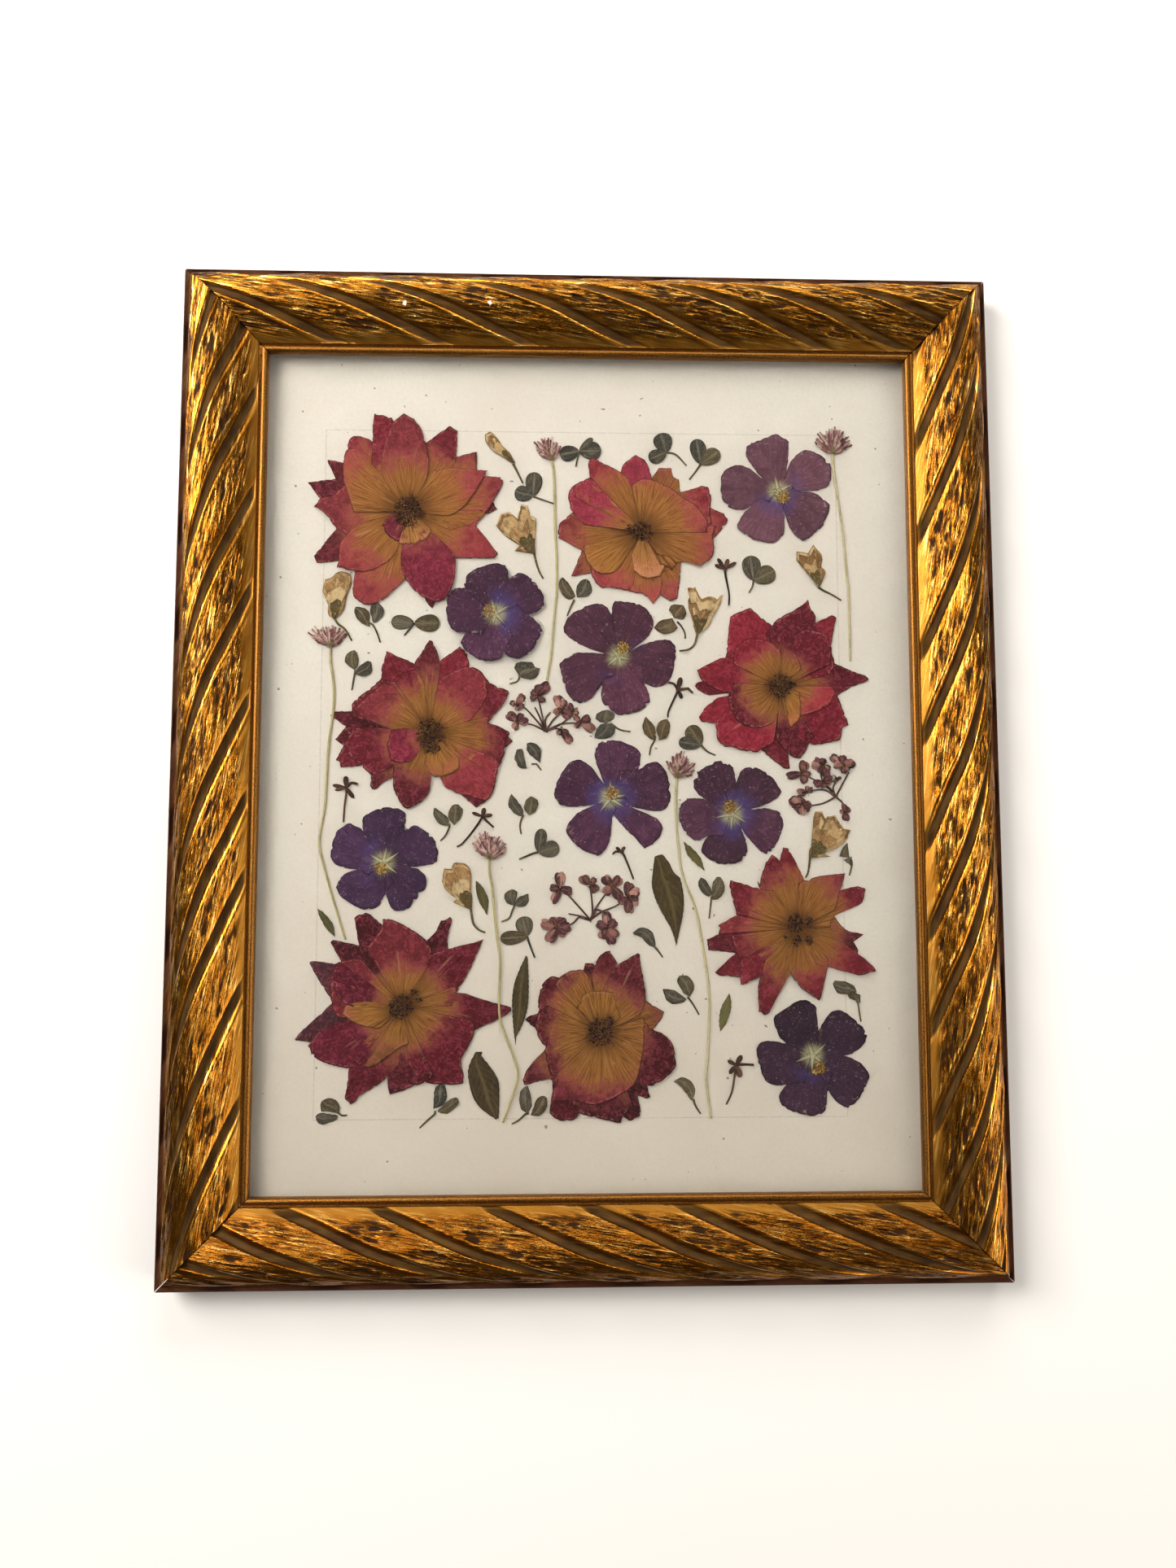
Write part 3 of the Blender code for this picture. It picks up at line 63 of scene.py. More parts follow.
# %% Camera
LENS, SENSOR = 27.03, 36.0
camera_data = bpy.data.cameras.new("photo_view")
camera_data.lens, camera_data.sensor_width = LENS, SENSOR
camera_data.clip_start = 0.01
camera = bpy.data.objects.new("photo_view", camera_data)
camera.location = Vector((-16.1, -50.6, 489.4)) * MM
camera.rotation_euler = [math.radians(a) for a in (5.023, -1.882, -0.034)]
bpy.context.scene.collection.objects.link(camera)
bpy.context.scene.camera = camera
print("camera height above the table:", round(camera.location.z, 3), "m")

# %% Soft studio light
def panel(name, place, target, size, power, colour):
    """A square soft light at one place, turned to look at another."""
    data = bpy.data.lights.new(name, "AREA")
    data.shape = "RECTANGLE"
    data.size, data.size_y = size
    data.energy = power
    data.color = colour
    light = bpy.data.objects.new(name, data)
    light.location = place
    light.rotation_euler = (Vector(target) - Vector(place)).to_track_quat("-Z", "Y").to_euler()
    bpy.context.scene.collection.objects.link(light)


panel("key_left", (-0.85, 0.5, 0.95), (0, 0.06, 0), (0.7, 0.8), 37, (1.0, 0.96, 0.93))
panel("fill_top", (0.2, 1.05, 0.68), (0, 0.05, 0), (1.1, 0.5), 13, (1.0, 0.97, 0.95))
panel("fill_right", (1.2, -0.35, 0.65), (0, 0, 0), (0.9, 1.0), 17, (1.0, 0.93, 0.86))

ROOM_GLOW = 0.11
world = bpy.data.worlds.new("studio")
world.use_nodes = True
background = world.node_tree.nodes["Background"]
background.inputs["Color"].default_value = (1.0, 0.97, 0.93, 1)
background.inputs["Strength"].default_value = ROOM_GLOW
bpy.context.scene.world = world
bpy.context.scene.view_settings.view_transform = "Standard"
print("panels:", len(bpy.data.lights), "and the room's glow:", ROOM_GLOW)

# %% [markdown]
# ## Sums on sockets
#
# A material is a graph of nodes. Written out one by one, its maths is hard to read, so a small
# class wraps a socket and lets Python's own signs add the Math nodes. `Finish` holds one
# material: it makes nodes, joins them up and ends in the Principled shader.

# %% A socket that can be reckoned with
class Field:
    """A number that varies over a surface."""

    def __init__(self, finish, socket):
        self.finish, self.socket = finish, socket

    def __add__(self, other):
        return self.finish.math("ADD", self, other)

    def __sub__(self, other):
        return self.finish.math("SUBTRACT", self, other)

    def __rsub__(self, other):
        return self.finish.math("SUBTRACT", other, self)

    def __mul__(self, other):
        return self.finish.math("MULTIPLY", self, other)

    __radd__, __rmul__ = __add__, __mul__

    def greatest(self, other):
        return self.finish.math("MAXIMUM", self, other)

    def rise(self, low, high):
        """0 below one value, 1 above the other, and smooth between them."""
        settings = {"interpolation_type": "SMOOTHSTEP"}
        return self.finish.add("ShaderNodeMapRange", settings, self, low, high)


def linear(colour):
    """A colour as the eye's scale counts it, 0 to 255, turned into amounts of light."""
    return tuple(((c / 255 + 0.055) / 1.055) ** 2.4 if c > 10 else c / 255 / 12.92 for c in colour)


# %% A finish
class Finish:
    """One material, built up from expressions."""

    def __init__(self, name, roughness=0.6, metallic=0.0):
        self.material = bpy.data.materials.new(name)
        self.material.use_nodes = True
        self.tree = self.material.node_tree
        self.shader = self.tree.nodes["Principled BSDF"]
        self.set("Roughness", roughness)
        self.set("Metallic", metallic)

    def feed(self, socket, value):
        if isinstance(value, Field):
            self.tree.links.new(value.socket, socket)
        elif isinstance(value, tuple) and socket.type == "RGBA":
            socket.default_value = (*value[:3], 1)
        else:
            socket.default_value = value

    def add(self, kind, settings, *values, output=0, **named):
        """Any node: its settings first, then the values of its sockets in order or by name."""
        node = self.tree.nodes.new(kind)
        for key, value in settings.items():
            setattr(node, key, value)
        for socket, value in zip(node.inputs, values):
            self.feed(socket, value)
        for key, value in named.items():
            self.feed(node.inputs[key], value)
        return Field(self, node.outputs[output])

    def math(self, operation, *values):
        return self.add("ShaderNodeMath", {"operation": operation}, *values)

    def set(self, socket, value):
        self.feed(self.shader.inputs[socket], value)

    def place(self):
        """Where a point is on the object, in metres."""
        return self.add("ShaderNodeTexCoord", {}, output="Object")

    def attribute(self, name, output="Fac"):
        return self.add("ShaderNodeAttribute", {"attribute_name": name}, output=output)

    def stretched(self, vector, scale, shift=(0, 0, 0)):
        return self.add("ShaderNodeMapping", {}, Vector=vector, Location=shift, Scale=scale)

    def noise(self, vector, scale=1.0, detail=3.0, roughness=0.55, distortion=0.0):
        return self.add("ShaderNodeTexNoise", {}, Vector=vector, Scale=scale, Detail=detail,
                        Roughness=roughness, Distortion=distortion)

    def mix(self, share, first, second):
        """Two colours mixed by a share from 0 to 1; a colour may be given as the eye counts it."""
        node = self.tree.nodes.new("ShaderNodeMix")
        node.data_type = "RGBA"
        for index, value in ((0, share), (6, first), (7, second)):
            self.feed(node.inputs[index], linear(value) if isinstance(value, tuple) else value)
        return Field(self, node.outputs[2])

    def layers(self, colour, *coats):
        """Coats of colour laid over a first one, each with the share that it covers."""
        for share, coat in coats:
            colour = self.mix(share, colour, coat)
        return colour

    def relief(self, *bumps):
        """Small relief that is seen in the shading alone: heights, strengths and depths."""
        below = {}
        for height, strength, distance in bumps:
            below["Normal"] = self.add("ShaderNodeBump", {}, Height=height, Strength=strength,
                                       Distance=distance, **below)
        self.set("Normal", below["Normal"])


# %% [markdown]
# ## The floor
#
# A plain pale sheet, big enough that no other view finds its edge.

# %% Floor
def as_mesh(bm, name, unit=1.0):
    """What the bmesh holds, as a mesh, with the length of its unit given in metres."""
    bmesh.ops.scale(bm, verts=bm.verts, vec=(unit, unit, unit))
    mesh = bpy.data.meshes.new(name)
    bm.to_mesh(mesh)
    bm.free()
    return mesh


def link(name, mesh):
    made = bpy.data.objects.new(name, mesh)
    bpy.context.scene.collection.objects.link(made)
    return made


FLOOR_REACH = 6.0
bm = bmesh.new()
bmesh.ops.create_grid(bm, x_segments=1, y_segments=1, size=FLOOR_REACH)
floor = link("floor", as_mesh(bm, "floor"))
floor_finish = Finish("pale_floor", roughness=0.9)
floor_finish.set("Base Color", linear((206, 204, 200)))
floor.data.materials.append(floor_finish.material)
print("floor:", 2 * FLOOR_REACH, "m square")

# %% [markdown]
# ## The carved rails
#
# Each rail is one length of wood, carved as a rope of slanting strands with a scooped groove
# between them, then pecked with small gouge strokes that look like bark. A photograph of gouge
# marks stretched over a smooth bar would look painted on, so the carving here is real relief. A
# bmesh grid is wrapped round the moulding's section, with its columns running along the grooves,
# and every point is pushed in by the depth of the carving there.

# %% The moulding's section
SIGHT = (266.7, 342.9)
RAIL_WIDTH = 34.925
HALF = (SIGHT[0] / 2 + RAIL_WIDTH, SIGHT[1] / 2 + RAIL_WIDTH)
# Distance in from the outer face, height above the back, share of the carving that shows there.
CARVED_FACE = ((31.4, 14.2, 0.15), (27.8, 16.8, 0.8), (22.3, 20.3, 1), (16.8, 22.8, 1),
               (11.8, 23.6, 1), (7, 22.2, 1), (3.6, 18.8, 1), (2.1, 14.8, 0.6), (0, 14.1, 0),
               (0.3, 4.5, 0))
# The rest, by distance out from the sight edge: rabbet, lip, bead and the channel behind it.
RABBET_STEP = 7.95
BEAD_FACE = ((RABBET_STEP, 0), (RABBET_STEP, 10.4), (0, 10.4), (0, 12.9), (0.25, 13.6),
             (0.75, 14.05), (1.35, 14.2), (1.95, 14.1), (2.45, 13.7), (2.85, 13.2), (3.25, 13.5))
PLAIN_FACE = ((0.6, 0), *((RAIL_WIDTH - d, z) for d, z in BEAD_FACE))
CROWN = 23.6
# The carved face's width round its curve, and where the grooves start to flatten.
CARVED_WIDTH, FLAT_FROM = 37, 14
TWIST = math.radians(25)
PITCH, RUN_OUT = 40.0, 110.0
MITRE_GAP = 0.3
ROW, COLUMN = 0.5, 0.85
print("outer size:", 2 * HALF[0], "by", 2 * HALF[1], "mm")

# %% Rows round the section
def curve_through(points, step):
    """Points about one step apart on a smooth curve through the given ones."""
    points = np.array(points, float)
    ends = np.vstack([2 * points[0] - points[1], points, 2 * points[-1] - points[-2]])
    made = []
    for a, b, c, d in zip(ends, ends[1:], ends[2:], ends[3:]):
        count = max(1, round(np.linalg.norm((c - b)[:2]) / step))
        for t in np.arange(count) / count:
            made.append(0.5 * (2 * b + (c - a) * t + (2 * a - 5 * b + 4 * c - d) * t * t
                               + (3 * b - a - 3 * c + d) * t ** 3))
    return np.array(made + [points[-1]])


def groove_run(around):
    """How far along the rail a groove has run, and how steeply: it flattens out past the crown."""
    around = np.minimum(around, CARVED_WIDTH)
    past = np.maximum(around - FLAT_FROM, 0)
    return around / math.tan(TWIST) + 0.04 * past ** 2, 1 / math.tan(TWIST) + 0.08 * past


def section_rows():
    """Rows round the section: inset, height, carving share, way round, the groove's run."""
    along = [0.0]
    for p, q in zip(CARVED_FACE, CARVED_FACE[1:]):
        along.append(along[-1] + math.dist(p[:2], q[:2]))
    carved = curve_through([(*p, a, 0) for p, a in zip(CARVED_FACE, along)], ROW)
    carved[:, 4] = groove_run(carved[:, 3])[0]
    plain = []
    before = carved[-1]
    for d, z in PLAIN_FACE + (CARVED_FACE[0][:2],):
        length = math.dist(before[:2], (d, z))
        left = 0 if d > 1 else carved[-1][4]
        after = np.array([d, z, 0, before[3] + length, left])
        steps = max(1, round(length / (8 if z == 0 else 1.2)))
        for i in range(1, steps + 1):
            plain.append(before + (after - before) * i / steps)
        before = after
    rows = np.vstack([carved, plain])
    rows[:, 0] = rows[:, 0].clip(0, RAIL_WIDTH)
    rows[:, 1] = rows[:, 1].clip(0, CROWN)
    return rows, len(carved)


SECTION, CARVED_ROWS = section_rows()
print("section rows:", len(SECTION), "of them carved:", CARVED_ROWS)

# %% [markdown]
# ### Strands, grooves and gouge strokes
#
# The carver spaced the grooves by eye, so their places are written down one by one for each rail.
# A groove has a round floor and steep walls, and each strand swells towards a thick rounded edge
# beside it. The top of a strand is torn like bark: fibres a millimetre wide, long thin cuts, and
# now and then an almond-shaped gouge. The cuts come in crowds with calmer places between.

# %% Carving
GROOVES = {"top": (-104, -60.5, -24, 21, 60.5, 100, 134),
           "right": (-134, -94, -45, -10, 34, 71, 109, 148),
           "bottom": (-116, -77, -36, 1, 40, 84, 122),
           "left": (-134, -89, -45, -13, 26, 72, 113, 155)}
GROOVE_DEPTH, GROOVE_HALF = 2.4, 2.2
# Painted shade: how much each rail's gold is darkened as a whole, for the light that falls on
# its side.
SIDE_SHADE = {"top": 0.1, "right": 0.4, "bottom": 1, "left": 0.25}
# Each kind of cut: how many per mm of rail, shortest and longest, narrowest and widest, depth.
CUTS = ((8, 6, 17, 0.35, 0.65, 0.6), (0.8, 5, 11, 0.7, 1.3, 1.0))


def ease(x):
    """0 below 0, 1 above 1, and smooth between."""
    x = np.clip(x, 0, 1)
    return x * x * (3 - 2 * x)


def groove_lines(tips, half):
    line = list(tips)
    while line[0] > -half - PITCH:
        line.insert(0, line[0] - PITCH)
    while line[-1] < half + RUN_OUT + PITCH:
        line.append(line[-1] + PITCH)
    return np.array(line)


def clouds(x, y, size, seed):
    """Slow noise from -1 to 1 over arrays of points, one swing in about the given size."""
    flat = [noise.noise((a, b, seed)) for a, b in zip(x.ravel() / size, y.ravel() / size)]
    return np.array(flat).reshape(x.shape)


print("grooves carved:", sum(len(tips) for tips in GROOVES.values()))

# %% Gouge strokes
def strokes(x, around, half, seed):
    """How deep the cuts go at each point, 0 to 1, and how far their lips stand up."""
    random_ = np.random.default_rng(seed)
    depth, lips = np.zeros(len(x)), np.zeros(len(x))
    for per_mm, short, long, thin, wide, deep in CUTS:
        for _ in range(int(2 * half * per_mm)):
            middle = random_.uniform(-half, half), random_.uniform(1.5, CARVED_WIDTH - 1)
            crowd = noise.noise((middle[0] / 24, middle[1] / 8, seed + 0.5))
            length, width = random_.uniform(short, long), random_.uniform(thin, wide)
            slant, strength = random_.uniform(-0.06, 0.3), deep * random_.uniform(0.4, 1)
            if crowd < random_.uniform(-0.5, 0.3):
                continue
            near = np.flatnonzero((abs(x - middle[0]) < length / 2)
                                  & (abs(around - middle[1]) < 2 + length / 5))
            ahead = (x[near] - middle[0]) / (length / 2)
            aside = (around[near] - middle[1] + slant * (x[near] - middle[0])) / width
            shape = np.clip(1 - ahead ** 2, 0, 1) * (1 - 0.35 * ahead)
            aside = abs(aside / (0.3 + 0.7 * np.sqrt(shape)))
            depth[near] = np.maximum(depth[near], strength * shape * np.clip(1 - aside ** 2, 0, 1))
            lip = strength * shape * np.exp(-((aside - 1.3) / 0.35) ** 2)
            lips[near] = np.maximum(lips[near], lip)
    return np.clip(depth, 0, 1), lips * (1 - np.clip(depth * 3, 0, 1))


# %% Depth of the carving
def carve(side, half, groove_place, x, around, share):
    """Depth of the carving in mm, and the marks that the gilding follows."""
    seed = {"top": 3, "right": 17, "bottom": 29, "left": 41}[side]
    line = groove_lines(GROOVES[side], half)
    index = np.clip(np.searchsorted(line, groove_place, side="right") - 1, 0, len(line) - 2)
    start, end = line[index], line[index + 1]
    wave = 0.4 * clouds(x, around * 2, 30, seed)
    across = 1 / np.hypot(1, groove_run(around)[1])
    before = (groove_place - start) * across + wave
    after = (end - groove_place) * across - wave
    near = np.minimum(before, after)
    groove = ease((GROOVE_HALF - near) / 1.25)
    # The thick rounded edge, or arris, stands on the side of the groove that faces the sight.
    arris = np.exp(-((after - GROOVE_HALF - 0.9) / 1.1) ** 2)
    dome = ease(near / 6.5)
    rough = ease((near - 3) / 1.5) * ease((around - 1.5) / 4) * ease((CARVED_WIDTH - around) / 4)
    pits, lips = (values * rough for values in strokes(x, around, half, seed))
    fibres = clouds(x / 8, around + 0.12 * x, 1.25, seed + 0.25) * rough
    lumps = clouds(x, around, 9, seed + 0.75)
    swell = clouds(x / 2.2, around, 4.5, seed + 0.9) * rough
    depth = GROOVE_DEPTH * groove + 0.8 * (1 - dome) * (1 - groove) - 0.7 * arris
    depth = depth + 0.8 * pits - 0.28 * lips + 0.22 * fibres + 0.34 * swell
    depth = depth + 0.16 * (1 + lumps) * (1 - groove) + 0.25
    face = (share * 2).clip(0, 1)
    marks = {"groove": groove * face, "pit": pits, "dome": dome * (1 - groove) * face}
    return depth.clip(0, None) * share, marks


# %% Wrap a grid round each rail
def give_marks(mesh, marks):
    for name, values in marks.items():
        layer = mesh.attributes.new(name, "FLOAT", "POINT")
        layer.data.foreach_set("value", np.asarray(values, np.float32))


def triangles(piece):
    piece.data.calc_loop_triangles()
    return len(piece.data.loop_triangles)


def rail(side, length, reach, turn):
    half = length / 2
    low, high = -half - PITCH, half + RUN_OUT + PITCH
    columns, rows = round((high - low) / COLUMN), len(SECTION) - 1
    bm = bmesh.new()
    bmesh.ops.create_grid(bm, x_segments=columns, y_segments=rows, size=1)
    mesh = as_mesh(bm, "rail_" + side)
    spots = np.empty(len(mesh.vertices) * 3)
    mesh.vertices.foreach_get("co", spots)
    spots = spots.reshape(-1, 3)
    groove_place = low + (high - low) * (spots[:, 0] + 1) / 2
    row = np.rint((spots[:, 1] + 1) / 2 * rows).astype(int)
    inset, height, share, around, run_out = SECTION[row].T
    x = groove_place - run_out
    tangent = np.roll(SECTION[:, :2], -1, axis=0) - np.roll(SECTION[:, :2], 1, axis=0)
    tangent[[0, -1]] = SECTION[1, :2] - SECTION[-2, :2]
    tangent /= np.linalg.norm(tangent, axis=1)[:, None]
    depth, marks = carve(side, half, groove_place, x, around, share)
    inset = (inset - tangent[row, 1] * depth).clip(0, None)
    height = height + tangent[row, 0] * depth
    spots[:, 0], spots[:, 1], spots[:, 2] = x, reach - inset, height
    mesh.vertices.foreach_set("co", spots.ravel())
    on_face = row < CARVED_ROWS
    bead = (row > CARVED_ROWS) & (height > 11)
    marks = {key: value * on_face for key, value in marks.items()}
    # The last mark carries each rail's painted shade, one share for the whole rail.
    marks.update(along=x / 100, around=around / 100, face=on_face, bead=bead,
                 outer=ease((3.2 - inset) / 1.4) * on_face, inner=ease((6 - around) / 5) * on_face,
                 toned=np.full(len(row), SIDE_SHADE[side]))
    give_marks(mesh, marks)
    return mitred(mesh, side, half, reach, turn)


# %% Close each bar and cut its mitres
def mitred(mesh, side, half, reach, turn):
    """Closes the grid to a bar, cuts both ends at 45 degrees and turns the bar to its side."""
    bm = bmesh.new()
    bm.from_mesh(mesh)
    bmesh.ops.remove_doubles(bm, verts=bm.verts, dist=1e-4)
    for face in bm.faces:
        face.smooth = True
    for end in (-1, 1):
        corner = (end * (half - MITRE_GAP / math.sqrt(2)), reach, 0)
        whole = bm.verts[:] + bm.edges[:] + bm.faces[:]
        bmesh.ops.bisect_plane(bm, geom=whole, plane_co=corner, plane_no=(end, -1, 0),
                               clear_outer=True)
    bmesh.ops.holes_fill(bm, edges=[e for e in bm.edges if e.is_boundary], sides=0)
    ends = [f for f in bm.faces if len(f.verts) > 6]
    bmesh.ops.triangulate(bm, faces=ends)
    bmesh.ops.recalc_face_normals(bm, faces=bm.faces)
    bmesh.ops.rotate(bm, verts=bm.verts, cent=(0, 0, 0),
                     matrix=Matrix.Rotation(math.radians(turn), 3, "Z"))
    bmesh.ops.scale(bm, verts=bm.verts, vec=(MM, MM, MM))
    bm.to_mesh(mesh)
    bm.free()
    return link("carved_rail_" + side, mesh)


RAILS = {}
for side, length, reach, turn in (("top", 2 * HALF[0], HALF[1], 0),
                                  ("right", 2 * HALF[1], HALF[0], -90),
                                  ("bottom", 2 * HALF[0], HALF[1], 180),
                                  ("left", 2 * HALF[1], HALF[0], 90)):
    RAILS[side] = rail(side, length, reach, turn)
    print(side, "rail:", triangles(RAILS[side]), "triangles")

# %% [markdown]
# ### Pockets in the back
#
# The glass, paper and board are kept in by six steel points pushed into the wood, and the hanger
# lies in a shallow pocket so that the frame rests flat. A Boolean takes each of these out of the
# rail, as a chisel would, and one pass per rail is enough when its cutters share a mesh.

# %% The slots' and the pocket's places
GAP = 0.3
RABBET = (SIGHT[0] / 2 + RABBET_STEP, SIGHT[1] / 2 + RABBET_STEP)
POINT_LAYER = (1.1, 1.8)
POINTS = (("left", -90), ("left", 90), ("top", 0), ("right", 90), ("right", -90), ("bottom", 0))
HANGER_Y = HALF[1] - 12.5


def block(bm, low, high):
    """A plain block between two corners, in mm."""
    made = bmesh.ops.create_cube(bm, size=1)["verts"]
    low, high = Vector(low), Vector(high)
    bmesh.ops.scale(bm, verts=made, vec=high - low)
    bmesh.ops.translate(bm, verts=made, vec=(low + high) / 2)


def slot_corners(side, place, depth=(-3, 7), width=10):
    """Opposite corners of a slot across the rabbet wall of one rail."""
    sign = -1 if side in ("left", "bottom") else 1
    wall = RABBET[0] if side in ("left", "right") else RABBET[1]
    reach = sorted(sign * (wall + d) for d in depth)
    span = (place - width / 2, place + width / 2)
    xs, ys = (reach, span) if side in ("left", "right") else (span, reach)
    return (xs[0], ys[0], POINT_LAYER[0] - GAP), (xs[1], ys[1], POINT_LAYER[1] + GAP)


def apply_modifiers(piece):
    """Makes what the modifiers show the piece's own mesh."""
    plain, graph = piece.data, bpy.context.evaluated_depsgraph_get()
    piece.data = bpy.data.meshes.new_from_object(piece.evaluated_get(graph))
    piece.modifiers.clear()
    bpy.data.meshes.remove(plain)


# %% Cut them out of the rails
SHARP_FROM = math.radians(62)
# Two steps of the hanger's pocket: half its length, half its width and its depth.
HANGER_POCKET = ((23, 5.5, 3), (13.5, 5, 5))
for side, piece in RAILS.items():
    bm = bmesh.new()
    for where, place in POINTS:
        if where == side:
            block(bm, *slot_corners(side, place))
    for x, y, deep in HANGER_POCKET if side == "top" else ():
        block(bm, (-x, HANGER_Y - y, -1), (x, HANGER_Y + y, deep))
    chisel = link("chisel_" + side, as_mesh(bm, "chisel_" + side, MM))
    cut = piece.modifiers.new("pockets", "BOOLEAN")
    cut.operation, cut.solver, cut.object = "DIFFERENCE", "EXACT", chisel
    cut.use_self = side == "top"
    apply_modifiers(piece)
    piece.data.set_sharp_from_angle(angle=SHARP_FROM)
    bpy.data.objects.remove(chisel)
    print(side, "rail after its pockets:", triangles(piece), "triangles")

# %% [markdown]
# ### Gilding
#
# Gold leaf is laid over red clay, rubbed, and given a coat of dark size that stays in the
# hollows. So the colour follows the carving: bright on the crowns and sharp edges, olive brown in
# the grooves, nearly black in the gouge strokes, and red where rubbing has gone through. Pale
# streaks in the gold are painted highlights, and each rail is darkened as a whole by painted shade
# for the light on its side. The marks that were stored on the mesh while carving drive all of it.

# %% Gilding
# Two flakes are missing from the top rail and show the white ground under the gold.
CHIPS = ((-76, 189), (-41, 189.5))


def gilding():
    look = Finish("gilding")
    along, around = look.attribute("along"), look.attribute("around")
    place = look.add("ShaderNodeCombineXYZ", {}, along, around + along * 0.16)
    fibre = look.noise(look.stretched(place, (2.6, 62, 1)), 3.0, 3, 0.55, 0.3)
    grain = look.noise(look.stretched(place, (2.2, 44, 1), (1, 4, 0)), 2.6, 3, 0.55, 0.35)
    cloud = look.noise(look.stretched(place, (3, 8, 1)), 3.0, 3, 0.5)
    speck = look.noise(look.stretched(place, (60, 110, 1), (3, 1, 0)), 2.2, 3, 0.6)
    groove, pit, outer, bead, inner = (
        look.attribute(mark) for mark in ("groove", "pit", "outer", "bead", "inner"))
    torn = look.attribute("dome") * (1 - inner)
    clay = (cloud * 0.6 + speck * 0.5).rise(0.58, 0.68) * (1 - groove)
    hollow = look.mix(cloud.rise(0.3, 0.7), (48, 31, 12), (76, 53, 21))
    rim = look.mix(speck.rise(0.42, 0.58), (84, 52, 20), (134, 90, 38))
    flat = look.stretched(look.place(), (1, 1, 0))
    chip = 0
    for x, y in CHIPS:
        away = look.add("ShaderNodeVectorMath", {"operation": "DISTANCE"}, flat,
                        (x * MM, y * MM, 0), output="Value")
        chip = chip + (1 - (away + speck * 0.0022).rise(0.0017, 0.0021))
    gold = look.layers(
        look.mix(cloud.rise(0.35, 0.65), (128, 76, 14), (166, 112, 34)),
        # Painted highlight: pale yellow streaks laid into the gold's colour.
        (grain.rise(0.54, 0.66) * 0.6, (230, 196, 112)),
        # Painted shade: the whole rail darkened by its own share, for how light falls on its side.
        (look.attribute("toned") * 0.5, (86, 38, 4)),
        (grain.rise(0.46, 0.38) * torn * 0.8, (88, 50, 10)),
        (fibre.rise(0.45, 0.39) * torn * 0.85, (46, 24, 6)),
        (clay * 0.4, (110, 46, 14)),
        (inner * (1 - bead) * 0.65, (112, 78, 28)),
        (groove.rise(0.2, 0.75) * 0.96, hollow),
        (outer.rise(0.1, 0.9) * 0.92, (52, 26, 16)),
        (pit.rise(0.15, 0.5) * 0.94, (34, 17, 6)),
        (speck.rise(0.71, 0.75) * (1 - groove) * 0.7, (34, 18, 8)),
        (chip, (222, 208, 188)),
        (bead * 0.9, rim))
    bare = look.mix(fibre.rise(0.3, 0.7), (126, 92, 58), (164, 126, 84))
    gilt = (look.attribute("face") + bead).rise(0.2, 0.6)
    look.set("Base Color", look.mix(gilt, bare, gold))
    dull = groove.rise(0.25, 0.8).greatest(pit.rise(0.2, 0.7)).greatest(outer.rise(0.05, 0.6))
    look.set("Metallic", gilt * (0.97 - (dull * 0.45).greatest(chip)))
    shine = 0.17 + speck * 0.12 + (bead + inner * (1 - bead)) * 0.2
    look.set("Roughness", shine + dull * 0.5 + (1 - gilt) * 0.35 + clay * 0.1)
    look.set("Specular IOR Level", 0.15)
    look.relief((grain, torn * 0.34 + 0.05, 0.0011), (fibre, torn * 0.5 + 0.06, 0.0008),
                (speck, 0.06, 0.0003))
    return look.material


# %% Gild the rails
GILDING = gilding()
for side, piece in RAILS.items():
    piece.data.materials.clear()
    piece.data.materials.append(GILDING)
    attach(piece, "root")
    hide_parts("rail_" + side)
print("nodes in the gilding:", len(GILDING.node_tree.nodes))

# %% [markdown]
# ## Glass, paper, board and steel
#
# These solids already have the right shape, so they stay and only get a finish. The glass is
# plain clear glass, through which the specimens are seen; the paper is a warm laid sheet with a
# faint ruled pencil line round the specimens; the board behind it is pressed grey pulp.

# %% Clear glass
def dress(node, look):
    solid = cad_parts[node]
    for index in range(len(solid.material_slots)):
        solid.material_slots[index].material = look


def glass_finish():
    look = Finish("clear_glass", roughness=0.0)
    look.set("Transmission Weight", 1.0)
    look.set("IOR", 1.5)
    look.set("Specular IOR Level", 0.2)
    look.set("Base Color", (0.985, 0.995, 0.985))
    return look.material


# %% Cream paper
# The ruled pencil rectangle round the specimens, in mm, and its middle.
RULED, RULED_MIDDLE = (215, 284), (-2.5, -1)


def paper_finish():
    look = Finish("cream_paper", roughness=0.92)
    place = look.place()
    cloud = look.noise(place, 14, 4, 0.6)
    grain = look.noise(place, 900, 3, 0.6)
    laid = look.noise(look.stretched(place, (60, 1400, 1)), 1.0, 2, 0.5)
    x, y = (look.add("ShaderNodeSeparateXYZ", {}, place, output=axis) for axis in ("X", "Y"))
    aside = look.math("ABSOLUTE", x - RULED_MIDDLE[0] * MM) - RULED[0] / 2 * MM
    ahead = look.math("ABSOLUTE", y - RULED_MIDDLE[1] * MM) - RULED[1] / 2 * MM
    ruled = 1 - look.math("ABSOLUTE", aside.greatest(ahead)).rise(0.00012, 0.00028)
    dust = look.noise(place, 380, 1, 0.3).rise(0.79, 0.8)
    # Grain, painted shade that darkens the lower end, the pencil line and dust, over a cloudy
    # cream.
    look.set("Base Color", look.layers(
        look.mix(cloud.rise(0.3, 0.7), (229, 220, 207), (236, 229, 217)),
        (grain.rise(0.35, 0.75) * 0.3, (214, 202, 182)),
        ((1 - y.rise(-0.2, 0.02)) * 0.35, (196, 178, 152)),
        (ruled * grain.rise(0.2, 0.6) * 0.35, (150, 142, 134)),
        (dust * 0.7, (92, 74, 56))))
    look.relief((grain * 0.7 + laid * 0.3, 0.25, 0.0002))
    return look.material


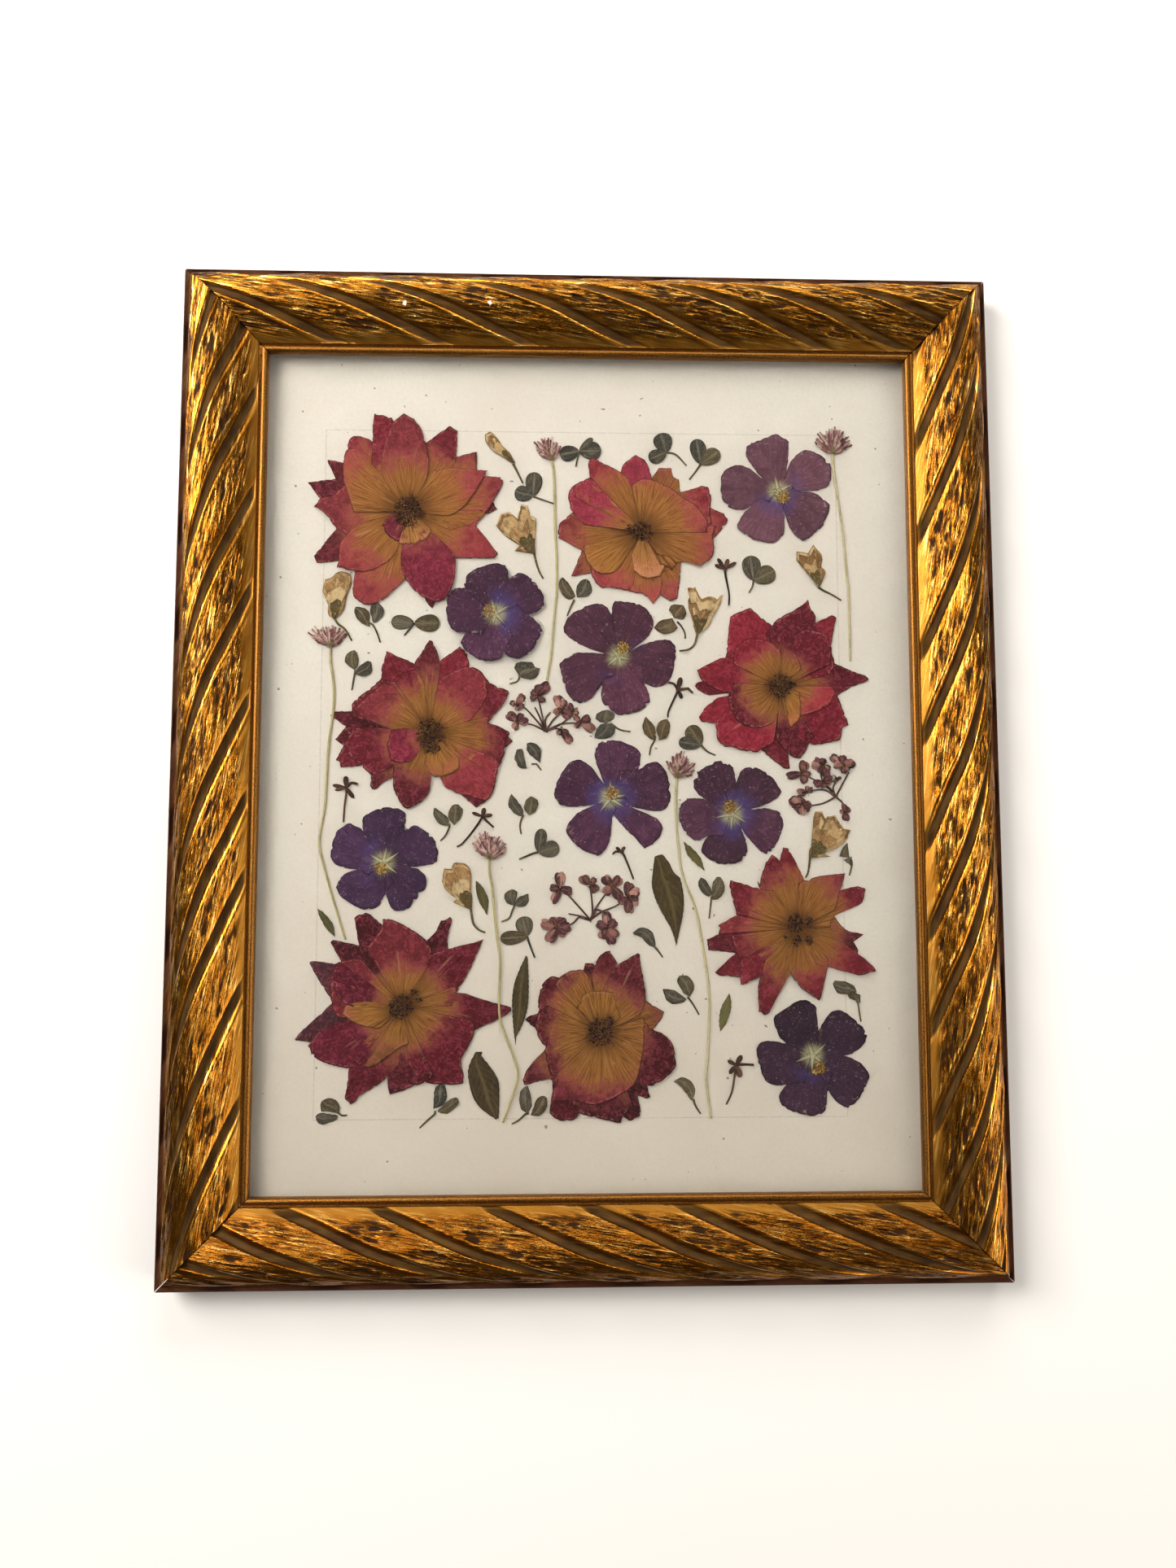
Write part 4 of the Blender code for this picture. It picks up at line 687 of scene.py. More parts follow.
# %% Grey board and thin steel
def board_finish():
    look = Finish("grey_board", roughness=0.95)
    place = look.place()
    cloud = look.noise(place, 22, 4, 0.6)
    pulp = look.noise(place, 1200, 4, 0.7)
    flecks = look.noise(look.stretched(place, (260, 700, 1)), 2.0, 2, 0.5)
    look.set("Base Color", look.layers(
        look.mix(cloud.rise(0.3, 0.7), (146, 134, 114), (168, 156, 134)),
        (flecks.rise(0.66, 0.74) * 0.6, (96, 84, 68)),
        (pulp.rise(0.3, 0.8) * 0.35, (186, 174, 150))))
    look.relief((pulp, 0.5, 0.0003))
    return look.material


def steel_finish():
    look = Finish("thin_steel", roughness=0.35, metallic=1.0)
    place = look.place()
    brushed = look.noise(look.stretched(place, (300, 5000, 300)), 1.0, 3, 0.6)
    rust = look.noise(place, 420, 4, 0.6)
    colour = look.mix(brushed, (132, 132, 130), (178, 178, 174))
    look.set("Base Color", look.mix(rust.rise(0.6, 0.72) * 0.7, colour, (112, 74, 46)))
    look.set("Roughness", 0.3 + brushed * 0.2 + rust.rise(0.6, 0.72) * 0.3)
    look.set("Metallic", 1 - rust.rise(0.6, 0.72) * 0.6)
    look.relief((brushed, 0.2, 0.0001))
    return look.material


# %% Nails, and the solids that stay
NAIL_X, NAIL_Z, NAIL_RADIUS, NAIL_FLATNESS = 18.5, 1.45, 1.9, 0.42


def hanger_nails():
    """Two low nail heads that hold the sawtooth hanger in its pocket."""
    bm = bmesh.new()
    for x in (-NAIL_X, NAIL_X):
        head = bmesh.ops.create_uvsphere(bm, u_segments=12, v_segments=6, radius=NAIL_RADIUS)
        bmesh.ops.scale(bm, verts=head["verts"], vec=(1, 1, NAIL_FLATNESS))
        bmesh.ops.translate(bm, verts=head["verts"], vec=(x, HANGER_Y, NAIL_Z))
    mesh = as_mesh(bm, "hanger_nails", MM)
    mesh.shade_smooth()
    mesh.materials.append(STEEL)
    piece = link("hanger_nails", mesh)
    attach(piece, "root")


STEEL = steel_finish()
hanger_nails()
dress("glass", glass_finish())
dress("mounting_paper", paper_finish())
dress("backing_board", board_finish())
STEEL_NODES = ["sawtooth_hanger"] + [f"framers_point_{n}" for n in range(1, 7)]
for node in STEEL_NODES:
    dress(node, STEEL)
print("solids dressed in steel:", len(STEEL_NODES))

# %% [markdown]
# ## Dried plants
#
# A pressed petal is a sheet thinner than paper that still remembers its folds. Cut-out flat
# shapes would be quick and would look like felt. So every petal, leaf and stem is a small grid of
# its own: the grid is bent to the outline, wrinkled, given the thickness of a real petal, and it
# stores where each point lies on it. The finishes read that, so that veins run from root to tip.

# %% Lines and ragged rims
PAPER_TOP, GLASS_BOTTOM = 5.8, 8.1
PETAL_THICKNESS = 0.09


def as_points(numbers):
    """A row of numbers, x, y, x, y and so on, as points."""
    return list(zip(numbers[::2], numbers[1::2]))


def on_line(points, count):
    """So many points, equally far apart, along a line through the given ones."""
    points = np.array(points, float)
    run = np.concatenate([[0], np.cumsum(np.linalg.norm(np.diff(points, axis=0), axis=1))])
    places = np.linspace(0, run[-1], count)
    return np.stack([np.interp(places, run, points[:, i]) for i in (0, 1)], axis=1)


def outline(points, step=1.3, sharp=50):
    """A smooth line through the points that keeps its sharp corners."""
    points = [np.array(p, float) for p in points]
    corners = [0]
    for i in range(1, len(points) - 1):
        first, second = points[i] - points[i - 1], points[i + 1] - points[i]
        turn = math.degrees(abs(math.atan2(first[0] * second[1] - first[1] * second[0],
                                           first @ second)))
        if turn > sharp:
            corners.append(i)
    corners.append(len(points) - 1)
    line = []
    for start, end in zip(corners, corners[1:]):
        line.extend(curve_through(points[start:end + 1], step)[:-1])
    return np.array(line + [points[-1]])


def ragged(line, amount, seed, middle):
    """The line with small tears in it, and nicks that run in towards the middle."""
    x, y = line.T
    shift = np.stack([clouds(x, y, 1.3, seed), clouds(x, y, 1.3, seed + 31)], axis=1)
    inward = np.array(middle, float) - line
    inward /= np.linalg.norm(inward, axis=1)[:, None] + 1e-6
    nick = np.clip(clouds(x, y, 1.5, seed + 5) - 0.22, 0, 1) * 6 * amount
    return line + shift * amount + inward * nick[:, None]


print("room for the plants:", round(GLASS_BOTTOM - PAPER_TOP, 2), "mm")

# %% One specimen
def give_tone(mesh, tones):
    layer = mesh.attributes.new("tone", "FLOAT_COLOR", "POINT")
    colours = np.c_[tones, np.ones(len(tones))].astype(np.float32)
    layer.data.foreach_set("color", colours.ravel())


class Specimen:
    """The sheets and grains of one dried plant, gathered into one piece."""

    def __init__(self, name, seed=0):
        self.name, self.seed = name, seed
        self.bm = bmesh.new()
        self.grains = bmesh.new()
        self.places, self.marks, self.grain_marks = [], [], []

    def sheet(self, grid, height, tone, share=None, edge=None, across=None, ahead=None,
              wrinkle=0.1, curl=0.0, creases=0):
        """One grid of points, rows from root to tip, wrinkled and set at a height in mm."""
        rows, columns = grid.shape[:2]
        self.seed += 1
        u, v = np.meshgrid(np.linspace(-1, 1, columns), np.linspace(0, 1, rows))
        across = u if across is None else across
        ahead = v if ahead is None else ahead
        if edge is None:
            width = np.linalg.norm(grid[:, 0] - grid[:, -1], axis=1)[:, None] / 2
            length = np.linalg.norm(grid[-1].mean(0) - grid[0].mean(0))
            edge = np.minimum(width * (1 - abs(u)), length * (1 - v))
        x, y = grid[..., 0], grid[..., 1]
        z = height + wrinkle * clouds(x, y, 3.1, self.seed * 1.7)
        z = z + 0.5 * wrinkle * clouds(across * 7, ahead * 1.5, 1, self.seed * 2.3)
        z = z + curl * np.exp(-edge / 0.9)
        fold = np.zeros_like(x)
        for _ in range(creases):
            line = rng.uniform(-0.8, 0.8) + rng.uniform(-1.2, 1.2) * (v - 0.5) ** 2
            start = rng.uniform(0, 0.5)
            part = ease((v - start) * 6) * ease((start + rng.uniform(0.25, 0.5) - v) * 6)
            ridge = np.exp(-((u - line * (0.4 + 0.6 * v)) / 0.05) ** 2) * part
            fold = np.maximum(fold, ridge * rng.uniform(0.4, 1))
        z = z + 0.14 * fold
        z = np.clip(z, PAPER_TOP + 0.06, GLASS_BOTTOM - 0.16)
        bmesh.ops.create_grid(self.bm, x_segments=columns - 1, y_segments=rows - 1, size=1)
        self.places.append(np.stack([x, y, z], axis=-1).reshape(-1, 3))
        share = np.zeros_like(x) if share is None else share
        tone = np.broadcast_to(np.array(linear(tone)), x.shape + (3,))
        self.marks.append({"share": share, "edge": edge, "across": across + self.seed * 3.7,
                           "ahead": ahead, "fold": fold, "tone": tone})

    def grain(self, place, size, tone, squash=0.7):
        """One tiny low lump, such as an anther, that stays clear of the glass."""
        place = (*place[:2], min(place[2], GLASS_BOTTOM - 0.1 - size * squash))
        made = bmesh.ops.create_icosphere(self.grains, subdivisions=1, radius=size)["verts"]
        bmesh.ops.scale(self.grains, verts=made, vec=(1, rng.uniform(0.7, 1.3), squash))
        bmesh.ops.translate(self.grains, verts=made, vec=place)
        self.grain_marks.append((len(made), linear(tone)))

    def finish(self, look, node=None, slot=None):
        mesh = as_mesh(self.bm, self.name)
        mesh.vertices.foreach_set("co", (np.concatenate(self.places) * MM).ravel())
        for key in ("share", "edge", "across", "ahead", "fold"):
            give_marks(mesh, {key: np.concatenate([m[key].ravel() for m in self.marks])})
        give_tone(mesh, np.concatenate([m["tone"].reshape(-1, 3) for m in self.marks]))
        piece = link(self.name, mesh)
        wall = piece.modifiers.new("thickness", "SOLIDIFY")
        wall.thickness, wall.offset = PETAL_THICKNESS * MM, 0
        apply_modifiers(piece)
        if self.grain_marks:
            piece = self.with_grains(piece)
        piece.data.name = self.name
        piece.data.materials.clear()
        piece.data.materials.append(look)
        piece.data.shade_smooth()
        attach(piece, "root")
        if node:
            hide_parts(node)
        return piece

    def with_grains(self, piece):
        mesh = as_mesh(self.grains, self.name + "_grains", MM)
        count = len(mesh.vertices)
        give_marks(mesh, {"share": np.zeros(count), "edge": np.full(count, 9.0),
                          "across": np.zeros(count), "ahead": np.full(count, -1.0),
                          "fold": np.zeros(count)})
        give_tone(mesh, np.array([t for n, t in self.grain_marks for _ in range(n)]))
        other = link(self.name + "_grains", mesh)
        with bpy.context.temp_override(active_object=piece, object=piece,
                                       selected_editable_objects=[piece, other]):
            bpy.ops.object.join()
        return piece


# %% Petals, blades and stems
def fan(root, rim, rows, start=0.05):
    """A grid from a root point out to a rim."""
    root = np.array(root, float)
    near = root + (rim - root) * start
    return near[None] + (rim - near)[None] * np.linspace(0, 1, rows)[:, None, None]


def fan_edge(root, rim, grid):
    """Distance in mm from each point to the petal's border."""
    rows, columns = grid.shape[:2]
    rim_gap = np.linalg.norm(rim[None] - grid, axis=-1)
    run = np.concatenate([[0], np.cumsum(np.linalg.norm(np.diff(rim, axis=0), axis=1))])
    far = np.linspace(0, 1, rows)[:, None]
    side = np.minimum(run, run[-1] - run)[None] * far
    return np.minimum(rim_gap * 0.7, side)


def blade(left, right, count, columns=7):
    """A grid between two sides, both from root to tip."""
    left, right = on_line(left, count), on_line(right, count)
    share = np.linspace(0, 1, columns)[None, :, None]
    return left[:, None] * (1 - share) + right[:, None] * share


def leaf_blade(points, tip, step=1.0, columns=7):
    """A blade from a closed outline that starts at the root, with the tip's index."""
    left = outline(points[:tip + 1], step)
    right = outline(points[tip:] + points[:1], step)[::-1]
    length = np.linalg.norm(np.array(points[tip]) - points[0])
    return blade(left, right, max(5, round(length / step)), columns)


def strip(path, width, taper=0.35, step=1.0):
    """A thin blade along a path, narrower at its far end."""
    line = outline(path, step)
    ahead = np.gradient(line, axis=0)
    ahead /= np.linalg.norm(ahead, axis=1)[:, None]
    aside = np.stack([-ahead[:, 1], ahead[:, 0]], axis=1)
    half = width / 2 * np.linspace(1, 1 - taper, len(line))[:, None, None]
    spread = np.linspace(-1, 1, 5)[None, :, None]
    return line[:, None] + aside[:, None] * half * spread


def dome(grid, rise):
    """Extra height that makes a strip round."""
    spread = np.linspace(-1, 1, grid.shape[1])[None]
    return rise * np.sqrt(np.clip(1 - spread ** 2 * 0.98, 0, 1)) * np.ones((grid.shape[0], 1))


def add_stem(plant, path, width, height, tone, taper=0.35):
    grid = strip(path, width, taper)
    plant.sheet(grid, height + dome(grid, width * 0.35), tone, edge=np.ones(grid.shape[:2]),
                wrinkle=0.03)


# %% Ovals
def oval(middle, tip, width, count=9):
    """Points round an oval that is fuller towards its tip, from its root."""
    middle, tip = np.array(middle, float), np.array(tip, float)
    length = np.linalg.norm(tip - middle)
    along = (tip - middle) / length
    aside = np.array([-along[1], along[0]])
    points = []
    for turn in np.linspace(0, 2 * math.pi, 2 * count, endpoint=False):
        reach = length / 2 * (1 - math.cos(turn))
        half = width / 2 * math.sin(turn) * (1 - 0.25 * math.cos(turn))
        points.append(tuple(middle + along * reach + aside * half))
    return points, count


print("points in a small oval:", len(oval((0, 0), (0, 5), 3)[0]))

# %% [markdown]
# ### Petal and leaf finishes
#
# A dried petal keeps a little of everything: a straw-coloured base, a salmon band, a wine-red tip,
# fine veins and bruises. A dark rim round its border is painted shade for the thin shadow where
# petals overlap, and the pale lines on its folds are painted highlights. Each point knows how far
# along and across its petal it is and how far from the flower's middle, so one graph of noises
# stretched along the petal makes all of them, and no two petals match.

# %% Noises that all petals share
def plant_noises(look, length, width):
    place = look.place()
    across, ahead = look.attribute("across"), look.attribute("ahead")
    along = look.add("ShaderNodeCombineXYZ", {}, across * width, ahead * length, across)
    veins = look.noise(along, 1.0, 4, 0.65, 0.4)
    blotch = look.noise(place, 210, 4, 0.6, 0.6)
    fine = look.noise(place, 1100, 3, 0.6)
    return place, veins, blotch, fine


def hairs(look, width, length, thin=0.022):
    """Hair-thin lines that run from root to tip: where a stretched noise crosses its middle."""
    across, ahead = look.attribute("across"), look.attribute("ahead")
    along = look.add("ShaderNodeCombineXYZ", {}, across * width, ahead * length, 3.0)
    level = look.noise(along, 1.0, 2, 0.5, 0.2)
    return 1 - look.math("ABSOLUTE", level - 0.5).rise(thin * 0.4, thin * 1.6)


# %% Rose petals' finish
def rose_finish():
    look = Finish("dried_rose")
    look.set("Specular IOR Level", 0.06)
    place, veins, blotch, fine = plant_noises(look, 3.2, 22)
    share, edge, fold = (look.attribute(name) for name in ("share", "edge", "fold"))
    tone = look.attribute("tone", "Color")
    grains = look.attribute("ahead").rise(-0.5, -0.4)
    hair = hairs(look, 9, 0.8)
    mottle = look.noise(place, 380, 5, 0.7, 1.4)
    reach = share + (veins - 0.5) * 0.6 + (blotch - 0.5) * 0.6 + (mottle - 0.5) * 0.4
    straw = look.layers(
        look.mix(veins.rise(0.35, 0.62), (136, 84, 32), (180, 126, 60)),
        (0.14, tone),
        # Painted shade round the stamens: the straw darkens towards the flower's middle.
        ((1 - share.rise(0.15, 0.5)) * 0.75, (104, 64, 24)),
        (hair * share.rise(1.1, 0.5) * 0.7, (84, 46, 20)))
    salmon = look.mix(0.5, tone, (184, 108, 78))
    rosy = look.mix(0.5, tone, (200, 88, 106))
    deep = look.mix(0.6, tone, (62, 12, 20))
    bruise = look.noise(place, 620, 3, 0.6, 1.6)
    glint = edge.rise(0.3, 0.5) * (1 - edge.rise(0.6, 1.0)) * mottle.rise(0.45, 0.6)
    look.set("Base Color", look.layers(
        straw,
        (reach.rise(0.7, 0.94), salmon),
        (reach.rise(0.82, 1.12), tone),
        (mottle.rise(0.46, 0.6) * share.rise(0.5, 1.0) * 0.6, rosy),
        (veins.rise(0.54, 0.7) * share.rise(0.5, 1.2) * 0.35, rosy),
        ((1 - veins.rise(0.3, 0.46)) * 0.6 * share.rise(0.4, 1.1), deep),
        (blotch.rise(0.5, 0.64) * share.rise(0.7, 1.2) * 0.5, deep),
        (bruise.rise(0.54, 0.64) * share.rise(0.3, 1.0) * 0.3, deep),
        (hair * share.rise(0.9, 1.5) * 0.4, deep),
        # Painted highlight along the folds.
        (fold.rise(0.3, 0.9) * 0.3, (206, 150, 116)),
        # Painted shade: a dark rim round each petal's border, for the thin shadow where petals
        # overlap.
        ((1 - edge.rise(0.05, 0.4)) * 0.6, (58, 16, 20)),
        (glint * share.rise(0.4, 0.9) * 0.35, (204, 132, 112)),
        (1 - grains, tone)))
    look.set("Roughness", 0.46 + blotch * 0.3)
    look.relief((veins, 0.7, 0.0005), (mottle, 0.7, 0.0006), (fine, 0.2, 0.0001))
    return look.material


# %% Purple petals' finish
def purple_finish():
    look = Finish("dried_purple_flower")
    look.set("Specular IOR Level", 0.06)
    place, veins, blotch, fine = plant_noises(look, 2.0, 30)
    share, edge = look.attribute("share"), look.attribute("edge")
    tone = look.attribute("tone", "Color")
    grains = look.attribute("ahead").rise(-0.5, -0.4)
    mottle = look.noise(place, 520, 4, 0.65, 1.0)
    dark = look.mix(0.6, tone, (28, 12, 24))
    pale = look.mix(0.4, tone, (196, 150, 160))
    part = look.noise(place, 42, 1, 0.4).rise(0.5, 0.62)
    # Painted sheen: pale blue patches towards the flower's middle.
    blue_sheen = 1 - (share + (veins - 0.5) * 0.5).rise(0.14, 0.5)
    star = 1 - (share + (veins - 0.5) * 0.4).rise(0.06, 0.2)
    near_rim = 1 - edge.rise(0.8, 3.0)
    look.set("Base Color", look.layers(
        tone,
        (blotch.rise(0.35, 0.68) * 0.7, dark),
        (mottle.rise(0.52, 0.68) * 0.35, pale),
        ((1 - veins.rise(0.3, 0.5)) * 0.6, dark),
        (hairs(look, 12, 0.7, 0.04) * 0.6, dark),
        (veins.rise(0.58, 0.74) * 0.25, pale),
        (blue_sheen * part * 0.6, (82, 72, 134)),
        (star * 0.85, (190, 184, 142)),
        (mottle.rise(0.62, 0.7) * near_rim * 0.6, (196, 170, 160)),
        (fine.rise(0.66, 0.71) * 0.7, (188, 164, 168)),
        # Painted shade: a dark rim round each petal's border, for the thin shadow where petals
        # overlap.
        ((1 - edge.rise(0.0, 0.4)) * 0.7, (30, 12, 20)),
        (1 - grains, tone)))
    look.set("Roughness", 0.44 + blotch * 0.35)
    look.relief((veins, 0.5, 0.0004), (mottle, 0.4, 0.0003), (fine, 0.2, 0.0001))
    return look.material


# %% Leaves', stems' and small blossoms' finish
def plant_finish(name, light, dark, length=3.0, width=14.0, contrast=0.5):
    """Leaves, stems and small blossoms: a tone with paler veins and darker bruises."""
    look = Finish(name)
    look.set("Specular IOR Level", 0.06)
    place, veins, blotch, fine = plant_noises(look, length, width)
    tone, edge = look.attribute("tone", "Color"), look.attribute("edge")
    share, ahead, fold = (look.attribute(key) for key in ("share", "ahead", "fold"))
    grains = ahead.rise(-0.5, -0.4)
    light, dark = look.mix(0.65, tone, light), look.mix(0.65, tone, dark)
    mottle = look.noise(place, 460, 4, 0.65, 1.2)
    # A blade's share is 1 along its midrib and 0 at its sides, so side veins lean off the rib.
    slant = look.math("PINGPONG", ahead * 9 + share * 2.2, 0.5)
    look.set("Base Color", look.layers(
        tone,
        (blotch.rise(0.48, 0.66) * contrast, dark),
        (mottle.rise(0.5, 0.66) * contrast * 0.7, dark),
        ((1 - mottle.rise(0.34, 0.46)) * contrast * 0.6, light),
        (veins.rise(0.52, 0.7) * contrast, light),
        ((1 - veins.rise(0.28, 0.42)) * contrast * 0.8, dark),
        ((1 - slant.rise(0.03, 0.12)) * share.rise(0.02, 0.2) * 0.3, light),
        (share.rise(0.8, 0.97) * 0.55, light),
        # Painted highlight along the folds.
        (fold.rise(0.2, 0.8) * 0.6, light),
        ((1 - edge.rise(0.0, 0.4)) * 0.5, dark),
        (1 - grains, tone)))
    look.set("Roughness", 0.55 + fine * 0.25)
    look.relief((veins, 0.5, 0.0003), (fine, 0.25, 0.0001))
    return look.material


# %% The finishes of all the plants
ROSE, PURPLE = rose_finish(), purple_finish()
LEAF = plant_finish("dried_leaf", (128, 112, 72), (30, 24, 14), contrast=0.5)
GREY_LEAF = plant_finish("grey_green_leaf", (156, 144, 118), (24, 20, 16), 2.5, 8, 0.7)
CREAM = plant_finish("cream_blossom", (226, 200, 150), (84, 54, 24), 3, 12, 0.7)
CLOVER = plant_finish("clover_head", (226, 206, 178), (84, 50, 44), 2.0, 6, 0.4)
SPRIG = plant_finish("brown_sprig", (122, 86, 62), (26, 14, 12), 3, 8, 0.55)
UMBEL = plant_finish("umbel_floret", (184, 128, 118), (36, 14, 22), 2.5, 8, 0.6)
print("materials so far:", len(bpy.data.materials))

# %% [markdown]
# ## The roses
#
# Seven garden roses were opened flat and pressed, so each shows all its petals, its sepals behind
# them and its stamens in front. Each petal is written down by its rim, from the bottom layer to
# the top one, and fans out from a point near the flower's middle. Its colour is told by how far
# it lies from that middle, which is why the straw-coloured hearts run together.

# %% Tones, and the upper left rose
# A petal is its tone and then the points of its rim, each as x,y with no space between. The
# bottom petal comes first.
WINE, CRIMSON, ROSE_RED = (80, 20, 28), (114, 26, 38), (138, 48, 52)
MAGENTA, STRAW, PALE, MAUVE = (122, 30, 52), (164, 108, 48), (188, 136, 88), (88, 54, 60)
ROSES = [((-75.5, 106), 30, (
    (WINE, -105,98.5, -114,86.8, -113,83.6, -104,84.6, -104.7,81.7),
    (WINE, -69.4,70.3, -65,64.8, -63.5,68.2),
    (WINE, -105.6,119.6, -109.7,127.8, -103,126.8),
    (WINE, -107,111, -112,111, -117.2,118, -105.6,119.6),
    (WINE, -42,105.3, -38.3,107.3, -40,110.4, -43,112),
    (CRIMSON, -68.4,135.6, -58.4,143, -55.1,141, -55.5,129.6, -57,123),
    (CRIMSON, -57,126, -55.5,129.6, -47,132, -46.8,123),
    (ROSE_RED, -44,107, -47,100.3, -37.8,88.5, -39,86.2, -55.3,86.3, -60,92),
    (ROSE_RED, -44,121.5, -37,121, -36,118.4, -40,110.4, -44,104, -48,101, -58,98),
    (ROSE_RED, -101,118, -107,112.5, -112,111, -114.3,107.5, -110,104.8, -105,98.5, -98,94),
    (CRIMSON, -101.3,127, -101.3,131.8, -100,137, -98.4,138.4, -90.6,136, -84,128),
    (CRIMSON, -91,122, -90.6,141, -90,147.8, -84,146.5, -82,145, -78,135),
    (ROSE_RED, -97,80, -97.8,72, -96.6,68.8, -92,66, -86.3,67.5, -81.3,71.9, -76.3,77, -72,82),
    (ROSE_RED, -98,105, -100.5,113.5, -102.5,120, -102.5,128, -101.3,131.8, -99,133, -96,131,
     -90,125, -85.5,120.5, -80,117),
    (ROSE_RED, -86,120, -86.5,127, -86,133, -84.5,138, -82,144, -77.5,148, -72,144.3, -68.5,136,
     -67,127, -68.5,118),
    (ROSE_RED, -68,118, -66,121, -65,123.5, -57,124.7, -50,124.3, -42.2,123.7, -45.5,118,
     -49.5,111, -54,106.5, -58,104),
    (ROSE_RED, -90,102, -97,99, -101,95, -103.5,91, -103.8,85, -104.3,82, -99,80.5, -95,79.8,
     -90,80.5, -84,84, -80.5,88, -78,93),
    (MAGENTA, -78,88, -78,83, -76.5,78, -72,72, -67,68.5, -62.5,67.5, -58.5,70, -56,76, -55.3,84,
     -57,89, -62,94, -66,97),
    (PALE, -79.5,98, -79,92, -74,91.5, -69,93, -65.5,96.5, -66,98.5),
    (MAGENTA, -78,102, -81,104.5, -84,103, -86,99.5, -84,96, -81.5,93.5, -79,92.5, -78,97)))]

# %% The upper middle rose
ROSES.append(((22.5, 98.1), 29, (
    (WINE, 26.8,119, 26.8,121.2, 29.9,126, 35.2,125.8, 35.8,122, 38.2,121, 39.3,112),
    (CRIMSON, 51.3,109, 57.9,106, 58.3,102.4, 52.4,95),
    (WINE, -2,92, -7.3,78.7, 1.1,80.1, 6,78),
    (CRIMSON, -5.8,107, -12.3,101, -12.8,95.4, -2,89.3, 0,86),
    (CRIMSON, 33,116, 39.3,115.6, 48.2,118.2, 51.3,117.3, 51.9,114, 51.3,107.4, 52,102),
    (MAGENTA, 12,119, 13.5,123.7, 14.6,127, 19.9,131.5, 24.4,128.4, 26.8,121.2, 28,116),
    (ROSE_RED, 39,88, 38.5,81, 38.2,75.3, 37,69.5, 34.3,68.6, 29.9,71.6, 28,76),
    (ROSE_RED, 31,76, 29.9,71.6, 27.1,67.2, 23.3,71.3, 17.1,72.6, 14,76),
    (ROSE_RED, 19,76, 17.1,72.6, 8.9,74.3, 5.8,73.8, 2.4,77, 1.1,80.1, 0,86),
    (CRIMSON, -6,113, -6,117.8, 0.5,121.2, 0,127.8, 1.8,129.8, 13.5,123.7, 18,118),
    (MAGENTA, 1,121.2, -6,117.8, -8.3,114, -8,109, -5.8,105, -2,101),
    (ROSE_RED, 54,101, 52.4,97, 52.9,91.5, 51.6,87, 46.9,83.4, 39.8,85.3, 35,84),
    (ROSE_RED, 18,118, 24,121, 33,118, 40,113, 46,109, 50,103, 50,98),
    (STRAW, -2,92, -2,90, 0,84, 4,80.3, 9,80, 13,83, 16,88),
    (PALE, 18,88, 19,81, 24,78, 30,79, 32,84, 29,90),
    (ROSE_RED, 29,88, 35,87.5, 37,84.5, 35,81.5, 33,83.5, 30,84))))

# %% The right rose
ROSES.append(((79.8, 32.8), 17, (
    (WINE, 55,31, 50.1,29.1, 45.1,31.6, 44.3,32.8, 44.8,34.1, 47.3,35, 52,38),
    (WINE, 84,8, 82.3,2.5, 83.5,-1.6, 81.6,-1.8, 79.1,0, 75.4,2.8, 71.5,6.3),
    (WINE, 102.9,42.8, 110.4,39.4, 116,37.5, 117.3,35.9, 115.1,34.7, 110.1,32.8, 103.8,29.2),
    (CRIMSON, 57,42, 57.3,45, 58.2,53.1, 59.4,62.3, 63.5,64.4, 67.8,66.1, 72.3,62.2, 76.9,58.4,
     80,54),
    (CRIMSON, 95.2,57, 95.2,59.8, 102.3,63.3, 104,62.2, 102.9,56.9, 101.6,48.8, 102.9,42.8,
     101,38),
    (WINE, 74,55, 76.9,58.4, 79.1,61.3, 86,65, 89.8,67.5, 92.3,69.7, 93,66.3, 95.1,63.1,
     95.2,59.8, 95,52),
    (CRIMSON, 102,32, 103.8,29.2, 105.1,25.6, 108.5,16.6, 105.7,15.9, 104.6,10.3, 96,8.6,
     91.3,8.4, 86,12),
    (WINE, 94,12, 91.3,8.4, 90.1,5.6, 87.9,2.8, 85.4,3.1, 82.6,5, 78,10),
    (CRIMSON, 54,28, 51.9,26.6, 48.5,23.8, 45.8,19.7, 46.9,17.8, 52.9,17.2, 58,18),
    (CRIMSON, 77,9, 71.5,6.3, 69.8,5.3, 65.4,5.3, 59.1,7.5, 56.9,7.2, 54.1,9.4, 52.8,13.1,
     52.9,17.2, 57,22),
    (CRIMSON, 56,30, 47.3,35, 45.2,39.5, 54.8,44.4, 57.3,45, 62,47),
    (WINE, 89,40, 86,50, 87,55, 91,57, 95,56.5, 100,55, 101.6,48.8, 101,42),
    (ROSE_RED, 102.3,33, 102.3,28.7, 98,23.7, 88,20.3, 83,22),
    (CRIMSON, 60,42, 62,50, 68,53, 75,52, 80,48),
    (WINE, 60,34, 58,26, 62,18, 69,15, 76,17, 79,22),
    (STRAW, 88,30, 88,20, 84,15.5, 83.4,17.5, 82,24))))

